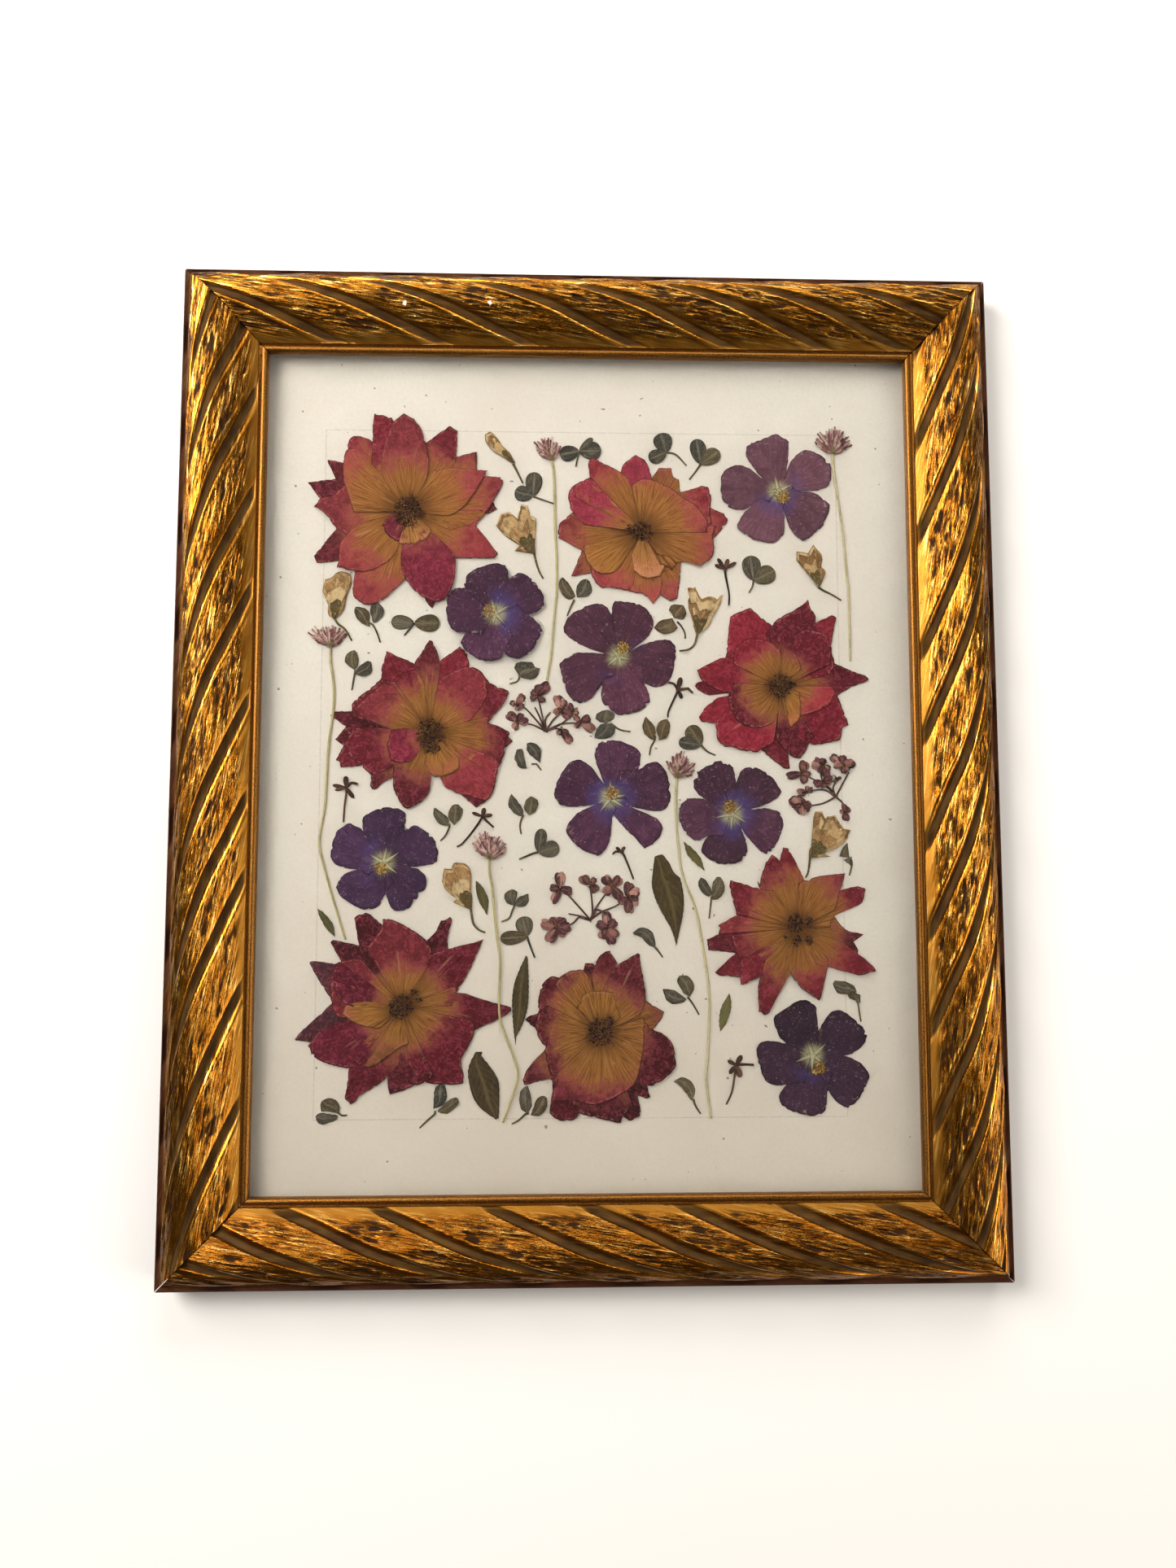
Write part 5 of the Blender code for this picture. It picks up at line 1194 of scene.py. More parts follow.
# %% The left rose
ROSES.append(((-65.3, 13.1), 23, (
    (WINE, -99.7,12, -99.7,15.3, -106.1,19.7, -105,21.4, -96.6,21.9, -94,24),
    (WINE, -97,7, -100.3,7.5, -103.9,9.9, -99.7,15.3),
    (WINE, -88.9,-3, -89.4,-10.2, -87.5,-10.6, -83.8,-7.7, -80,-5.5),
    (WINE, -34,12, -32.6,10.9, -31.3,9.5, -33.9,7.1, -36,6),
    (WINE, -54,-10, -52.2,-12.7, -45.9,-18.1, -44.4,-16.8, -41.9,-15.2, -41,-10),
    (CRIMSON, -91,0, -93.1,-0.9, -101.4,-1.6, -101.7,0.6, -103.6,1.3, -101.3,5.6, -100.3,7.5,
     -97,15),
    (CRIMSON, -88,30, -85.6,35, -85.6,38.8, -84.7,41.9, -83.4,46.6, -81.8,45.9, -71.9,41.6,
     -64,37),
    (CRIMSON, -64,37, -61.4,42.5, -53.4,48.8, -51.3,47.5, -49.7,44.4, -49.4,41.3, -48,34),
    (CRIMSON, -43,36, -38.3,32.3, -33.3,30.6, -32.8,29.4, -35.1,25, -41.2,17.1, -42,14),
    (CRIMSON, -97,19, -97.2,23.1, -96.6,25.6, -89.1,31.9, -85.6,35, -80,34),
    (CRIMSON, -80,-1, -88.9,-5.2, -93.1,-0.9, -98,3, -100.3,7.5, -98,12, -92,15),
    (CRIMSON, -41,20, -41.2,17.1, -37,15.6, -32.6,13.1, -33.9,7.1, -34.8,3.1, -37.3,-1.9, -41,-4),
    (ROSE_RED, -37.3,2, -37.3,-1.9, -38.3,-9.3, -39.2,-13, -41.9,-15.2, -52.2,-12.7, -58.8,-9.4,
     -61,-4),
    (WINE, -62,-1, -64.4,-4.6, -65,-10.8, -67.8,-15.1, -73.1,-18.3, -74.7,-18.4, -76.9,-16.1,
     -79.8,-9.9, -80,-5.5, -80,0),
    (ROSE_RED, -63,31, -60,36, -55,39, -50,40.5, -44.1,38.1, -41.8,32.5, -42,28, -44.5,23.5,
     -49,18),
    (ROSE_RED, -78,13, -88,17, -93,19.5, -96.6,22.5, -92,27, -84.5,33.5, -80,31, -74,24),
    (WINE, -68,34, -71.9,41.6, -65.9,51.4, -64.7,50.9, -61.4,42.5, -62,34),
    (STRAW, -57,6, -54,3, -53,0.5, -53,-2, -57,-4.5, -61.5,-5.5, -64.4,-4.6, -67,0),
    (MAGENTA, -76,14.6, -81.1,13.9, -82.5,8.5, -82.5,6.4, -81.1,1.4, -77.8,0.2, -72.8,1, -70,4))))

# %% The lower left rose
ROSES.append(((-75, -98.5), 22, (
    (MAUVE, -100,-97, -102.8,-96.4, -109.7,-86.1, -112.5,-80.8, -110.6,-80, -102.8,-81.1, -98,-80),
    (WINE, -99,-82, -100.3,-79.6, -103.6,-74, -104.4,-72.3, -103.4,-71.7, -93.8,-73.7, -90,-75),
    (WINE, -92.5,-76, -95,-62.4, -91.3,-60.8, -88.8,-61.4, -83.4,-65.8, -78,-72),
    (WINE, -66,-75, -65.6,-72.1, -60.9,-67.1, -60,-63.9, -58.4,-63.9, -56.3,-62.4, -55.5,-64.3,
     -56.9,-69.9, -56.9,-78),
    (MAUVE, -111.3,-109, -111.3,-112.3, -117.2,-111.5, -117,-109.8, -109.4,-102.6, -102.8,-96.4,
     -100,-94),
    (CRIMSON, -63.5,-77, -56.9,-75.3, -44.4,-72.3, -42.8,-71.4, -45,-76.7, -48.8,-85.1,
     -53.4,-92.9, -55,-98),
    (CRIMSON, -53.4,-90, -53.4,-92.9, -49.4,-93.3, -42,-95.8, -36.4,-97.3, -31.6,-98.6,
     -31.4,-100.1, -34.8,-102.8, -45.9,-107.8, -50,-110),
    (WINE, -62,-126, -65.6,-128.3, -79.4,-133.1, -80.1,-131.4, -80.4,-125.8, -78,-118),
    (CRIMSON, -47,-104, -45.9,-107.8, -48.1,-113.9, -51.3,-119.8, -50.3,-125.1, -50.3,-128.6,
     -51.3,-129.3, -65.6,-128.3, -72,-122),
    (CRIMSON, -76,-121, -80.4,-125.8, -85,-129.5, -91.9,-133.6, -93.1,-135.8, -95,-136.8,
     -97.5,-134.5, -96.6,-128.3, -95.9,-122.3, -95,-116),
    (MAGENTA, -92,-120, -95.9,-122.3, -100,-122, -108.8,-118.9, -112.5,-114, -111.3,-112.3,
     -108,-108, -99,-104),
    (ROSE_RED, -100,-103, -103,-99, -104,-90, -103,-83, -99,-80, -92,-79),
    (ROSE_RED, -90,-75, -86,-70, -83.4,-65.8, -83.4,-63.6, -81.9,-62.9, -76.3,-64.9, -70,-68.6,
     -65.6,-72.1, -63.5,-76, -65,-82),
    (MAGENTA, -89,-97, -94,-98.5, -99.5,-96, -102,-92, -103,-84, -101,-80, -96,-84, -91.5,-89,
     -87,-93),
    (STRAW, -84,-107, -90,-106, -95,-104, -99,-101, -97,-97.5, -90,-96),
    (STRAW, -80,-109, -84,-117, -90,-122, -86,-122, -78,-116, -72,-113))))

# %% The bottom middle rose
ROSES.append(((5.2, -109), 25, (
    (WINE, -20,-109, -21.4,-107.6, -25.6,-103.8, -24.5,-102.6, -20.4,-101.1, -18,-99),
    (WINE, -15,-128, -17.3,-127.7, -25.8,-129.8, -27,-126.7, -22,-120.1, -17.9,-116.1, -15,-112),
    (WINE, -3.5,-87, -2.3,-84.2, -1.4,-81.4, 1.4,-81.1, 2.4,-82.3, 3,-88),
    (WINE, 22,-94, 23,-96.1, 30.6,-100.9, 30.2,-102.3, 26.1,-107.9, 22,-110),
    (WINE, 24,-128, 23.6,-130, 24.7,-134.8, 23.6,-135.3, 19.6,-133.9, 16,-132),
    (WINE, 22,-131, 19.6,-133.9, 20.8,-139.5, 20.7,-142, 17.7,-143.7, 14.6,-142.9, 8,-138),
    (CRIMSON, 2,-138, -3.6,-140.8, -5.8,-143.3, -10.8,-143.8, -15.1,-141.7, -15.8,-139.5,
     -14.6,-131.1, -16,-124),
    (CRIMSON, -19,-103, -20.4,-99.5, -20.1,-94.5, -18.9,-90.1, -16.7,-87.3, -14.5,-86.4, -12,-87,
     -8,-90),
    (WINE, -14,-90, -12,-87, -7.9,-84.5, -5.1,-83.9, -2.3,-84.2, 0.5,-88, 2,-93),
    (CRIMSON, -17,-98, -20.4,-101.1, -21.4,-107.6, -18.6,-113.3, -17.9,-116.1, -16,-124, -13,-128),
    (WINE, -7,-137, -3.6,-140.8, 8,-143.9, 12.7,-144.8, 14,-141.8, 18,-138),
    (ROSE_RED, 2,-92, 1.5,-85, 2.4,-82.3, 3.6,-79.5, 6.1,-76.9, 8.6,-76.4, 11.8,-82, 14,-90),
    (CRIMSON, 22,-104, 26.1,-107.9, 29.9,-109.5, 33.6,-113.3, 35,-118.3, 35,-122.6, 32.4,-125.8,
     27.4,-129.5, 23.6,-130, 18,-128),
    (ROSE_RED, 6,-91, 8,-87, 11.8,-82, 19.9,-77.1, 20.8,-77.5, 21.3,-83.3, 22.7,-90.1, 23,-96.1,
     21,-102),
    (ROSE_RED, -13.5,-126, -14.5,-136, -7,-136, -2,-137, 4,-137.5, 12,-134, 18,-130, 21,-122,
     22.5,-112, 22.5,-103),
    (STRAW, -5,-99, -1.9,-93.8, 4,-92, 9.7,-92.8, 11,-97, 13,-103))))

# %% The lower right rose
ROSES.append(((86, -67), 22, (
    (WINE, 100.7,-62, 105.4,-67.7, 112.8,-69.8, 108.5,-72.8, 110.5,-76.4, 110.1,-77.5, 104,-80),
    (WINE, 60,-79, 59.8,-77.3, 48.8,-76.1, 48.2,-71.8, 52.9,-69.8, 58,-68),
    (CRIMSON, 76,-41, 78.5,-39.9, 80.1,-34.3, 82.3,-34.6, 85.1,-39.9, 88.8,-47.7, 91,-52),
    (CRIMSON, 102,-55, 103.5,-51.8, 109.8,-50.3, 114,-51.1, 112.3,-56.8, 108.5,-58.9, 100.7,-62.7,
     99,-67),
    (CRIMSON, 69,-48, 70.1,-51.1, 70.7,-46.8, 72.9,-40.5, 75.7,-37.2, 78.5,-39.9, 82,-48),
    (ROSE_RED, 86,-49, 88.8,-47.7, 90.4,-47.7, 94.1,-46.1, 105.7,-44.9, 103.5,-51.8, 101,-60),
    (ROSE_RED, 57,-66, 52.9,-69.8, 53.8,-67.4, 52.8,-66.1, 60.4,-61.8, 65,-58),
    (CRIMSON, 62,-82, 61.6,-87, 53.5,-86.3, 51.5,-85, 59.8,-77.3, 58,-70),
    (CRIMSON, 73,-86, 70.1,-86.7, 62.9,-90.1, 61.9,-89.8, 61.6,-87, 62,-80),
    (CRIMSON, 61,-58, 60.4,-61.8, 57.6,-49.9, 58,-47.6, 70.1,-51.1, 76,-52),
    (CRIMSON, 102,-72, 110.1,-77.5, 116,-82.6, 117.4,-84.7, 114.1,-85.8, 110.4,-86.3, 104.1,-84.8,
     97.6,-82.9, 93,-82),
    (CRIMSON, 98,-80, 97.6,-82.9, 96,-89.5, 94.4,-95.8, 93.6,-96.6, 91.3,-94.8, 86,-90.8,
     82.3,-85.4, 80,-80),
    (CRIMSON, 84,-83, 82.3,-85.4, 76.6,-95.1, 72.9,-101.7, 71.6,-102.2, 69.1,-100.8, 68.9,-90.8,
     70.1,-86.7, 72,-80))))

# %% [markdown]
# ### Laying the petals and stamens
#
# The petals of one flower share a shallow pile under the glass, so each next petal lies a hair
# higher than the last. The stamens are a crushed tuft: hundreds of grains no bigger than a pin
# head, with a few short threads among them.

# %% Where the stamens are
# For each rose one or more clumps: middle, half width and half height.
STAMENS = (((-75.5, 105.8, 5.6, 6.6),), ((22.5, 98.1, 4.4, 4.4), (17.5, 99, 1.8, 2.2)),
           ((79.8, 32.8, 5, 5), (84.5, 33.5, 1.8, 1.4)),
           ((-65.3, 12.4, 5.6, 6.2), (-64, 6.4, 3.2, 2.4)),
           ((-75.5, -98.4, 4.8, 5), (-70, -92.4, 1.8, 1.6), (-68.4, -95.2, 1.4, 1.4)),
           ((4.8, -108.8, 5.2, 5.8), (8.8, -104, 2, 1.8)),
           ((84.6, -65.4, 3, 4.2), (90, -64.6, 1.8, 2.4), (85.3, -72.2, 1.7, 2.7),
            (90, -72, 1.5, 2.3), (79.8, -71, 1.3, 1)))
STAMEN_TONES = ((70, 44, 20), (48, 30, 16), (94, 62, 30), (34, 20, 12), (124, 84, 44))
print("clumps of stamens:", sum(len(clumps) for clumps in STAMENS))

# %% One petal and one tuft
def petal(plant, root, rim, height, tone, middle, reach, wrinkle=0.13, curl=0.1, jagged=0.3,
          least=0):
    line = ragged(outline(rim, 1.0), jagged, plant.seed * 0.77, middle)
    rows = max(8, round(np.linalg.norm(line - root, axis=1).max() / 1.5))
    grid = fan(root, line, rows)
    spread = np.linalg.norm(grid - np.array(middle, float), axis=-1) / reach
    spread = spread + max(0, least - spread.mean())
    run = np.linspace(-1, 1, len(line)) * len(line) / 22
    across = np.broadcast_to(run, grid.shape[:2])
    ahead = np.linalg.norm(grid - np.array(root, float), axis=-1) / 25
    plant.sheet(grid, height, tone, spread, fan_edge(root, line, grid), across, ahead,
                wrinkle, curl, creases=rng.choice((1, 2, 2, 3)))


def tuft(plant, spot, count, height, tones, size=(0.24, 0.46)):
    """A heap of grains, thickest in the middle."""
    x, y, wide, high = spot
    for _ in range(count):
        turn, far = rng.uniform(0, 2 * math.pi), rng.random() ** 0.6
        place = (x + wide * far * math.cos(turn), y + high * far * math.sin(turn),
                 height + (1 - far) * 0.3 + rng.uniform(-0.1, 0.1))
        plant.grain(place, rng.uniform(*size), rng.choice(tones))


# %% Build the seven roses
# How light each rose has stayed.
SHADES = (0.98, 1.12, 1.2, 0.96, 0.84, 0.68, 0.96)
# Painted glare: how far each rose's tones are lightened towards straw, for the glass's glare
# over it.
STRAW_GLARE = (0.07, 0.15, 0, 0.03, 0, 0, 0.05)
# The least share of tip colour in an inner petal of these tones.
LEAST = {MAGENTA: 0.95, PALE: 0.58}
THREAD_HEIGHT, TUFT_HEIGHT = 7.4, 7.3
for number, ((middle, reach, petals), clumps) in enumerate(zip(ROSES, STAMENS), 1):
    flower = Specimen(f"rose_petals_{number}", seed=number * 40)
    for layer, (tone, *rim) in enumerate(petals):
        rim = as_points(rim)
        aim = np.mean(rim, axis=0) - middle
        root = np.array(middle) - aim / np.linalg.norm(aim) * 0.8
        height = PAPER_TOP + 0.3 + layer / len(petals)
        shade = SHADES[number - 1] * rng.uniform(0.88, 1.12)
        # Painted glare: the tone is lightened towards straw by this rose's share.
        glared_tone = [c * shade + (pale - c * shade) * STRAW_GLARE[number - 1] for c, pale in zip(tone, PALE)]
        petal(flower, root, rim, height, tuple(glared_tone), middle, reach * rng.uniform(0.78, 1.22),
              least=LEAST.get(tone, 0))
    for spot in clumps:
        x, y, wide, high = spot
        for _ in range(round(1.6 * wide * high)):
            turn, far = rng.uniform(0, 2 * math.pi), rng.uniform(0.6, 1.5)
            end = (x + wide * far * math.cos(turn), y + high * far * math.sin(turn))
            bend = ((x + end[0]) / 2 + rng.uniform(-0.8, 0.8),
                    (y + end[1]) / 2 + rng.uniform(-0.8, 0.8))
            flower.sheet(strip(((x, y), bend, end), 0.22), THREAD_HEIGHT,
                         rng.choice(STAMEN_TONES), wrinkle=0.05)
        tuft(flower, spot, round(9.5 * wide * high), TUFT_HEIGHT, STAMEN_TONES)
    piece = flower.finish(ROSE, f"rose_{number}", "rose_petal")
    print(piece.name, len(petals), "petals,", triangles(piece), "triangles")

# %% [markdown]
# ## The purple flowers
#
# Five broad petals of each overlap like a pinwheel round a pale star and a clump of yellow
# anthers. The whole outline is drawn once, and the deep notches in it say where one petal ends
# and the next begins, which a small search finds.

# %% Purple outlines
# Three heights above the table where a specimen may lie, in mm.
LOW, MIDDLE, HIGH = 6.1, 6.8, 7.4
# Each flower: its height, its anthers' middle and size, and its outline.
PURPLE_FLOWERS = (
    (LOW, (82.3, 113.7, 3.2), (
     74.2,120.5, 67.6,130, 66.9,134.3, 68.5,137, 73,138.7, 79.8,141.5, 85.2,138.4, 85,132.8,
     83.8,123, 86,129.6, 89.8,133.4, 94.4,134.2, 102,129.6, 103.2,124, 102.3,119.6, 97.6,117,
     88.5,116.5, 95.4,115.8, 101.3,111.8, 102,108.4, 98.5,101, 91.6,95.4, 89,95.6, 84.8,101,
     82.5,109.5, 82.9,104, 82.3,97.8, 79,94.6, 75.4,94, 68.5,96, 62.9,100, 62.6,101.2, 66,107.2,
     72.5,112.6, 66,108.4, 59,109.3, 56.3,113.4, 56,117.8, 56.9,124, 62.3,127.4, 67.3,126.5,
     71,123.4)),
    (HIGH, (-41, 63.5, 3.0), (
     -51.7,73.4, -51.8,75.1, -50.8,77.9, -48.6,80.4, -45.1,82.3, -38.9,83.9, -35.8,83.4, -33.9,82,
     -33.1,77.5, -31.4,78.9, -28.3,79.8, -25.1,78.6, -21.7,75.4, -18.9,71.1, -18.1,67.9,
     -18.9,65.4, -21.4,63.3, -25,62, -21.4,59.4, -19,55.3, -20.8,51.9, -23.3,47.5, -27,44.4,
     -30.1,43.6, -33.9,45, -34.9,46.6, -36.4,43.8, -40.6,42.5, -45,43.1, -48.1,45, -51.3,47.2,
     -52.9,50.3, -50.9,54.4, -54.4,54.5, -56.9,56.3, -58.4,60, -59.1,63.8, -58.3,70.1, -56.7,72.6,
     -54.5,73.3)),
    (LOW, (14.2, 48.8, 2.9), (
     6.5,46.3, -1.4,49.1, -7,52.2, -10.1,55.3, -10,58.4, -7.9,62.2, -2.6,65.6, 1.8,67.2, 5.5,67.2,
     8,65.6, 9.4,63, 9.9,66.3, 11.1,68.4, 18,68.3, 23,66.3, 26.4,62.5, 27.3,59.1, 26.1,55.6,
     23,51.9, 17.4,47.6, 23,50.4, 29.9,52.2, 33.6,52.1, 35.8,50, 36.4,47.5, 35.2,38.8, 33,34.4,
     29.3,32.2, 25.5,32.8, 23,34.1, 24.6,30.6, 25.8,26.3, 24.3,24.7, 21.1,22.2, 13.3,20.5,
     11.1,21.3, 8,23.8, 5.8,25.6, 5.2,30, 5.9,35.5, 4.3,31.3, 1.8,28.4, -1.4,25.9, -3.6,25.4,
     -7,27.2, -9.5,31.3, -11.8,40, -11.4,42.8, -8.3,45, -4.5,46.5)),
    (LOW, (9.7, -11.9, 3.1), (
     7.4,-9.3, 4.9,-4.3, 3.1,1.4, 2.7,5.6, 4.9,9.1, 9.9,9.9, 14.3,9.3, 18,7.6, 21.1,5.3, 21.6,1.9,
     20.8,-2, 24.3,0.4, 27.4,1.1, 29.9,-0.2, 32.1,-3.3, 33.3,-7.4, 33.8,-12.4, 33.3,-16.1,
     31.1,-18.6, 26.8,-19.3, 17.4,-17.6, 23,-20.1, 28,-22.4, 30.3,-25.5, 29.6,-28.9, 26.8,-32.4,
     23,-35, 20.5,-31.8, 15.5,-26.8, 10,-20.9, 9.3,-27.4, 8,-33, 6.1,-36.1, 3.6,-37.7, -2,-35.5,
     -5.8,-32.7, -8.9,-28.6, -9.1,-26.4, -7.6,-23.6, -4.5,-20.2, -0.1,-18.1, 4.3,-16.6,
     -3.3,-17.4, -8.3,-17.5, -12,-16.4, -14.1,-13, -13.6,-9.3, -11.4,-4.3, -8.3,0.1, -5.1,1.9,
     -2,1.4, 1.8,-1.8, 4.3,-5.4)),
    (LOW, (58, -17.4, 3.3), (
     47.5,-14.3, 45.4,-12.4, 43.5,-9.3, 43.4,-6.4, 45.1,-5.4, 44.8,-3.3, 51,0.6, 54.8,1.6,
     59.1,-0.2, 60.4,-3, 60.9,-7.4, 62.6,-3.6, 64.8,-1.4, 67.3,-1, 71,-1.8, 76.6,-5.8, 79.9,-11.1,
     78.5,-13.3, 74.8,-15.8, 71,-17.3, 66.5,-18.4, 71,-18.2, 74.8,-18.1, 78.5,-19.6, 80.4,-22.7,
     80.1,-26.8, 76,-34.9, 73.5,-36.9, 71,-36.1, 65.3,-30, 63,-26.5, 64.6,-31.1, 65.3,-34.9,
     64.4,-38, 61,-40.5, 57.3,-41.1, 53.5,-40.8, 49.8,-39.3, 46.8,-36.8, 46.5,-34.3, 47.9,-31.1,
     49.3,-29.6, 44.8,-31.4, 41,-29.6, 38.2,-25.5, 37.1,-21.1, 37.6,-17.4, 39.8,-14.6,
     43.5,-13.9)),
    (LOW, (-84.4, -43, 2.9), (
     -92.3,-27, -92.3,-23, -90.6,-20.8, -85,-18.3, -80,-17.9, -76.9,-18.6, -75,-20.2, -74.4,-22.7,
     -75.3,-27, -70.6,-25.3, -66.9,-27.4, -64.4,-29.3, -62.2,-33, -61.3,-36.8, -61.9,-39.9,
     -65,-41.4, -72,-42.3, -69.5,-43.1, -66.9,-45.2, -66.1,-48, -66.6,-51.1, -71.3,-56.8,
     -72.5,-58.6, -76.9,-60.1, -79.4,-59.6, -80.9,-57.4, -82.6,-53, -84.1,-56.1, -85.9,-58.5,
     -89.4,-59.4, -93.1,-58.8, -100,-54.6, -102.7,-50.6, -101.3,-47.4, -98.1,-44.6, -94,-43.4,
     -98,-42.8, -101.9,-41.8, -104.4,-39.3, -104.7,-35.5, -103.8,-30.5, -102.2,-27.4, -98.1,-24.7,
     -95,-25.5)),
    (LOW, (93.2, -123.8, 3.2), (
     79.8,-113.6, 77.3,-110.8, 75.4,-105.1, 76,-102.6, 84.8,-97, 88.2,-96.3, 91,-97.6, 92.6,-99.5,
     93.5,-108.6, 95.1,-105.8, 99.1,-101.1, 103.5,-100.9, 109.8,-105.6, 112.6,-108.9,
     113.1,-111.4, 111.6,-114.8, 107.9,-117.3, 104.4,-118.8, 107.9,-120.1, 112.3,-123.3,
     113.8,-126.4, 112.9,-130.1, 110.4,-134.5, 107.9,-137.6, 105.1,-139.4, 102.3,-138.6,
     99.1,-135.8, 96.9,-132.4, 96,-138.9, 94.8,-141.1, 91,-142.8, 86.6,-142.1, 79.1,-139.2,
     77.1,-136.1, 77.6,-133.3, 80.1,-130.2, 75.4,-130.4, 72.3,-129.2, 70.4,-126.4, 68.1,-118.3,
     68.5,-115.1, 71,-112.9, 76,-112.9)),
)

# %% Stars, tones and anthers
STARS = ((80.3, 116.4), (-38.6, 62.6), (12.5, 45), (8.9, -14), (59.2, -20.6), (-83.4, -40.5),
         (91, -118.5))
PURPLE_TONES = ((118, 76, 88), (86, 50, 74), (100, 56, 74), (90, 52, 76), (88, 52, 70),
                (74, 48, 78), (62, 40, 56))
STAR_TONES = ((206, 198, 150), (222, 214, 178), (186, 174, 118))
ANTHER_TONES = ((182, 138, 56), (152, 108, 42), (206, 176, 108), (118, 80, 36))


# %% From one outline to five petals
def notches(points, middle, count=5):
    """The points where an outline comes closest to the middle, one for each petal."""
    reach = [math.dist(p, middle) for p in points]
    found = []
    for index in sorted(range(len(points)), key=lambda i: reach[i]):
        apart = [min((index - j) % len(points), (j - index) % len(points)) for j in found]
        if all(a > 4 for a in apart):
            found.append(index)
    return sorted(found[:count])


def petals_between(points, middle):
    """Each petal's rim, from notch to notch, tucked a little under the next petal."""
    found = notches(points, middle)
    middle = np.array(middle)
    for start, end in zip(found, found[1:] + [found[0] + len(points)]):
        rim = [np.array(points[i % len(points)]) for i in range(start, end + 1)]
        turn = math.radians(26)
        spoke = (rim[0] - middle) * 0.72
        tucked = middle + (spoke[0] * math.cos(turn) - spoke[1] * math.sin(turn),
                           spoke[0] * math.sin(turn) + spoke[1] * math.cos(turn))
        yield [tucked] + rim


# %% Build the purple flowers
for number, ((height, anthers, points), star) in enumerate(zip(PURPLE_FLOWERS, STARS), 1):
    flower = Specimen(f"purple_petals_{number}", seed=400 + number * 30)
    for layer, rim in enumerate(petals_between(as_points(points), star)):
        aim = np.mean(rim, axis=0) - star
        root = np.array(star) + aim / np.linalg.norm(aim) * 0.8
        shade = rng.uniform(0.84, 1.14)
        tone = tuple(c * shade for c in PURPLE_TONES[number - 1])
        petal(flower, root, rim, height + 0.05 * layer, tone, star, 28, wrinkle=0.12, curl=0.08,
              jagged=0.4)
        # One thin pale arm of the star lies on each petal.
        end = np.array(star) + aim / np.linalg.norm(aim) * rng.uniform(4.6, 7.4)
        aside = np.array([-aim[1], aim[0]]) / np.linalg.norm(aim) * rng.uniform(-1.2, 1.2)
        arm = strip((star, (np.array(star) + end) / 2 + aside * 0.4, end + aside), 2.1, 0.9)
        flower.sheet(arm, height + 0.42, rng.choice(STAR_TONES), wrinkle=0.05)
    x, y, size = anthers
    tuft(flower, (x, y, size * 0.85, size * 0.85), 80, height + 0.5, ANTHER_TONES, (0.26, 0.48))
    for _ in range(14):
        turn, far = rng.uniform(0, 2 * math.pi), rng.uniform(0.8, 1.7)
        end = (x + size * far * math.cos(turn), y + size * far * math.sin(turn))
        flower.sheet(strip(((x, y), end), 0.25), height + 0.5, rng.choice(ANTHER_TONES))
    piece = flower.finish(PURPLE, f"purple_flower_{number}", "purple_petal")
    print(piece.name, triangles(piece), "triangles")

# %% [markdown]
# ## Leaves
#
# Seven single leaves lie between the flowers. A leaf is a blade: its outline is split at the root
# and the tip into a left and a right side, and the grid between them is lifted along the midrib.

# %% Leaves
LEAVES = (
    (27.1,-38, 30.2,-36.9, 33,-40.5, 35.2,-44.9, 37.4,-46.6, 38.6,-51.8, 39,-56.8, 38.5,-61.8,
     37.3,-67.4, 35.7,-74.3, 33.9,-68, 30.5,-61.8, 27.4,-55.5, 25.9,-49.9, 26.3,-44.3),
    (-45.6,-116.4, -42.5,-116.5, -43.4,-117.9, -39.5,-122.6, -36.4,-127.9, -35.9,-134.5,
     -36.1,-142.6, -37.3,-143.1, -43.1,-138.9, -46.3,-134.5, -48.1,-128.3, -48.3,-122.6),
    (-25.4,-78.1, -24.7,-78.6, -24.3,-92, -25.1,-100.8, -27.6,-107.6, -29.1,-110.1, -29.5,-113.9,
     -30.1,-109.5, -30.8,-102, -30.9,-94.5, -29.8,-88.3, -27.3,-82),
    (-45.9,-47.7, -43.1,-50.5, -40.9,-54.9, -40.8,-58, -41.3,-61.8, -44.7,-56.1, -45.9,-51.1),
    (39.1,-31.8, 42.9,-34.9, 46,-38.6, 47.7,-43.9, 43.5,-40.5, 40.4,-36.8),
    (-109.8,-59.1, -106.9,-61.1, -103.4,-65.5, -102.6,-70.4, -106.3,-66.8, -109.1,-61.8),
    (57.3,-93.6, 58,-97, 57.6,-100.8, 55.7,-105.8, 53.4,-108.8, 52.9,-105.1, 53.5,-100.1,
     55.4,-96.4),
)
LEAF_TONES = ((72, 58, 34), (66, 52, 34), (74, 62, 38), (90, 80, 46), (104, 94, 54),
              (84, 80, 50), (104, 98, 58))
print("single leaves:", len(LEAVES))

# %% Lay the leaves


def turned(points, place):
    """The closed outline, starting from its point nearest to a place."""
    first = min(range(len(points)), key=lambda i: math.dist(points[i], place))
    return list(points[first:]) + list(points[:first])


def leaf_sheet(plant, points, height, tone, wrinkle=0.1, columns=9, creases=1):
    """A leaf from its closed outline, whose first point is the root."""
    points = list(points)
    tip = max(range(len(points)), key=lambda i: math.dist(points[i], points[0]))
    grid = leaf_blade(points, tip, 1.0, columns)
    grid = grid + 0.12 * np.sin(grid[..., ::-1] * 2.9)
    rib = 1 - abs(np.linspace(-1, 1, columns))[None] * np.ones((len(grid), 1))
    plant.sheet(grid, height + 0.12 * rib ** 6, tone, share=rib, wrinkle=wrinkle,
                creases=creases)


for number, (points, tone) in enumerate(zip(LEAVES, LEAF_TONES), 1):
    leaf = Specimen(f"pressed_leaf_{number}", seed=700 + number)
    leaf_sheet(leaf, as_points(points), LOW + 0.15, tone)
    piece = leaf.finish(LEAF, f"leaf_{number}", "leaf")
    print(piece.name, triangles(piece), "triangles")

# %% [markdown]
# ## Clovers
#
# Each clover is a long pale stem with a head of narrow florets that pressing has fanned out. The
# florets are separate thin blades in four layers, from a common green root to the head's outline.

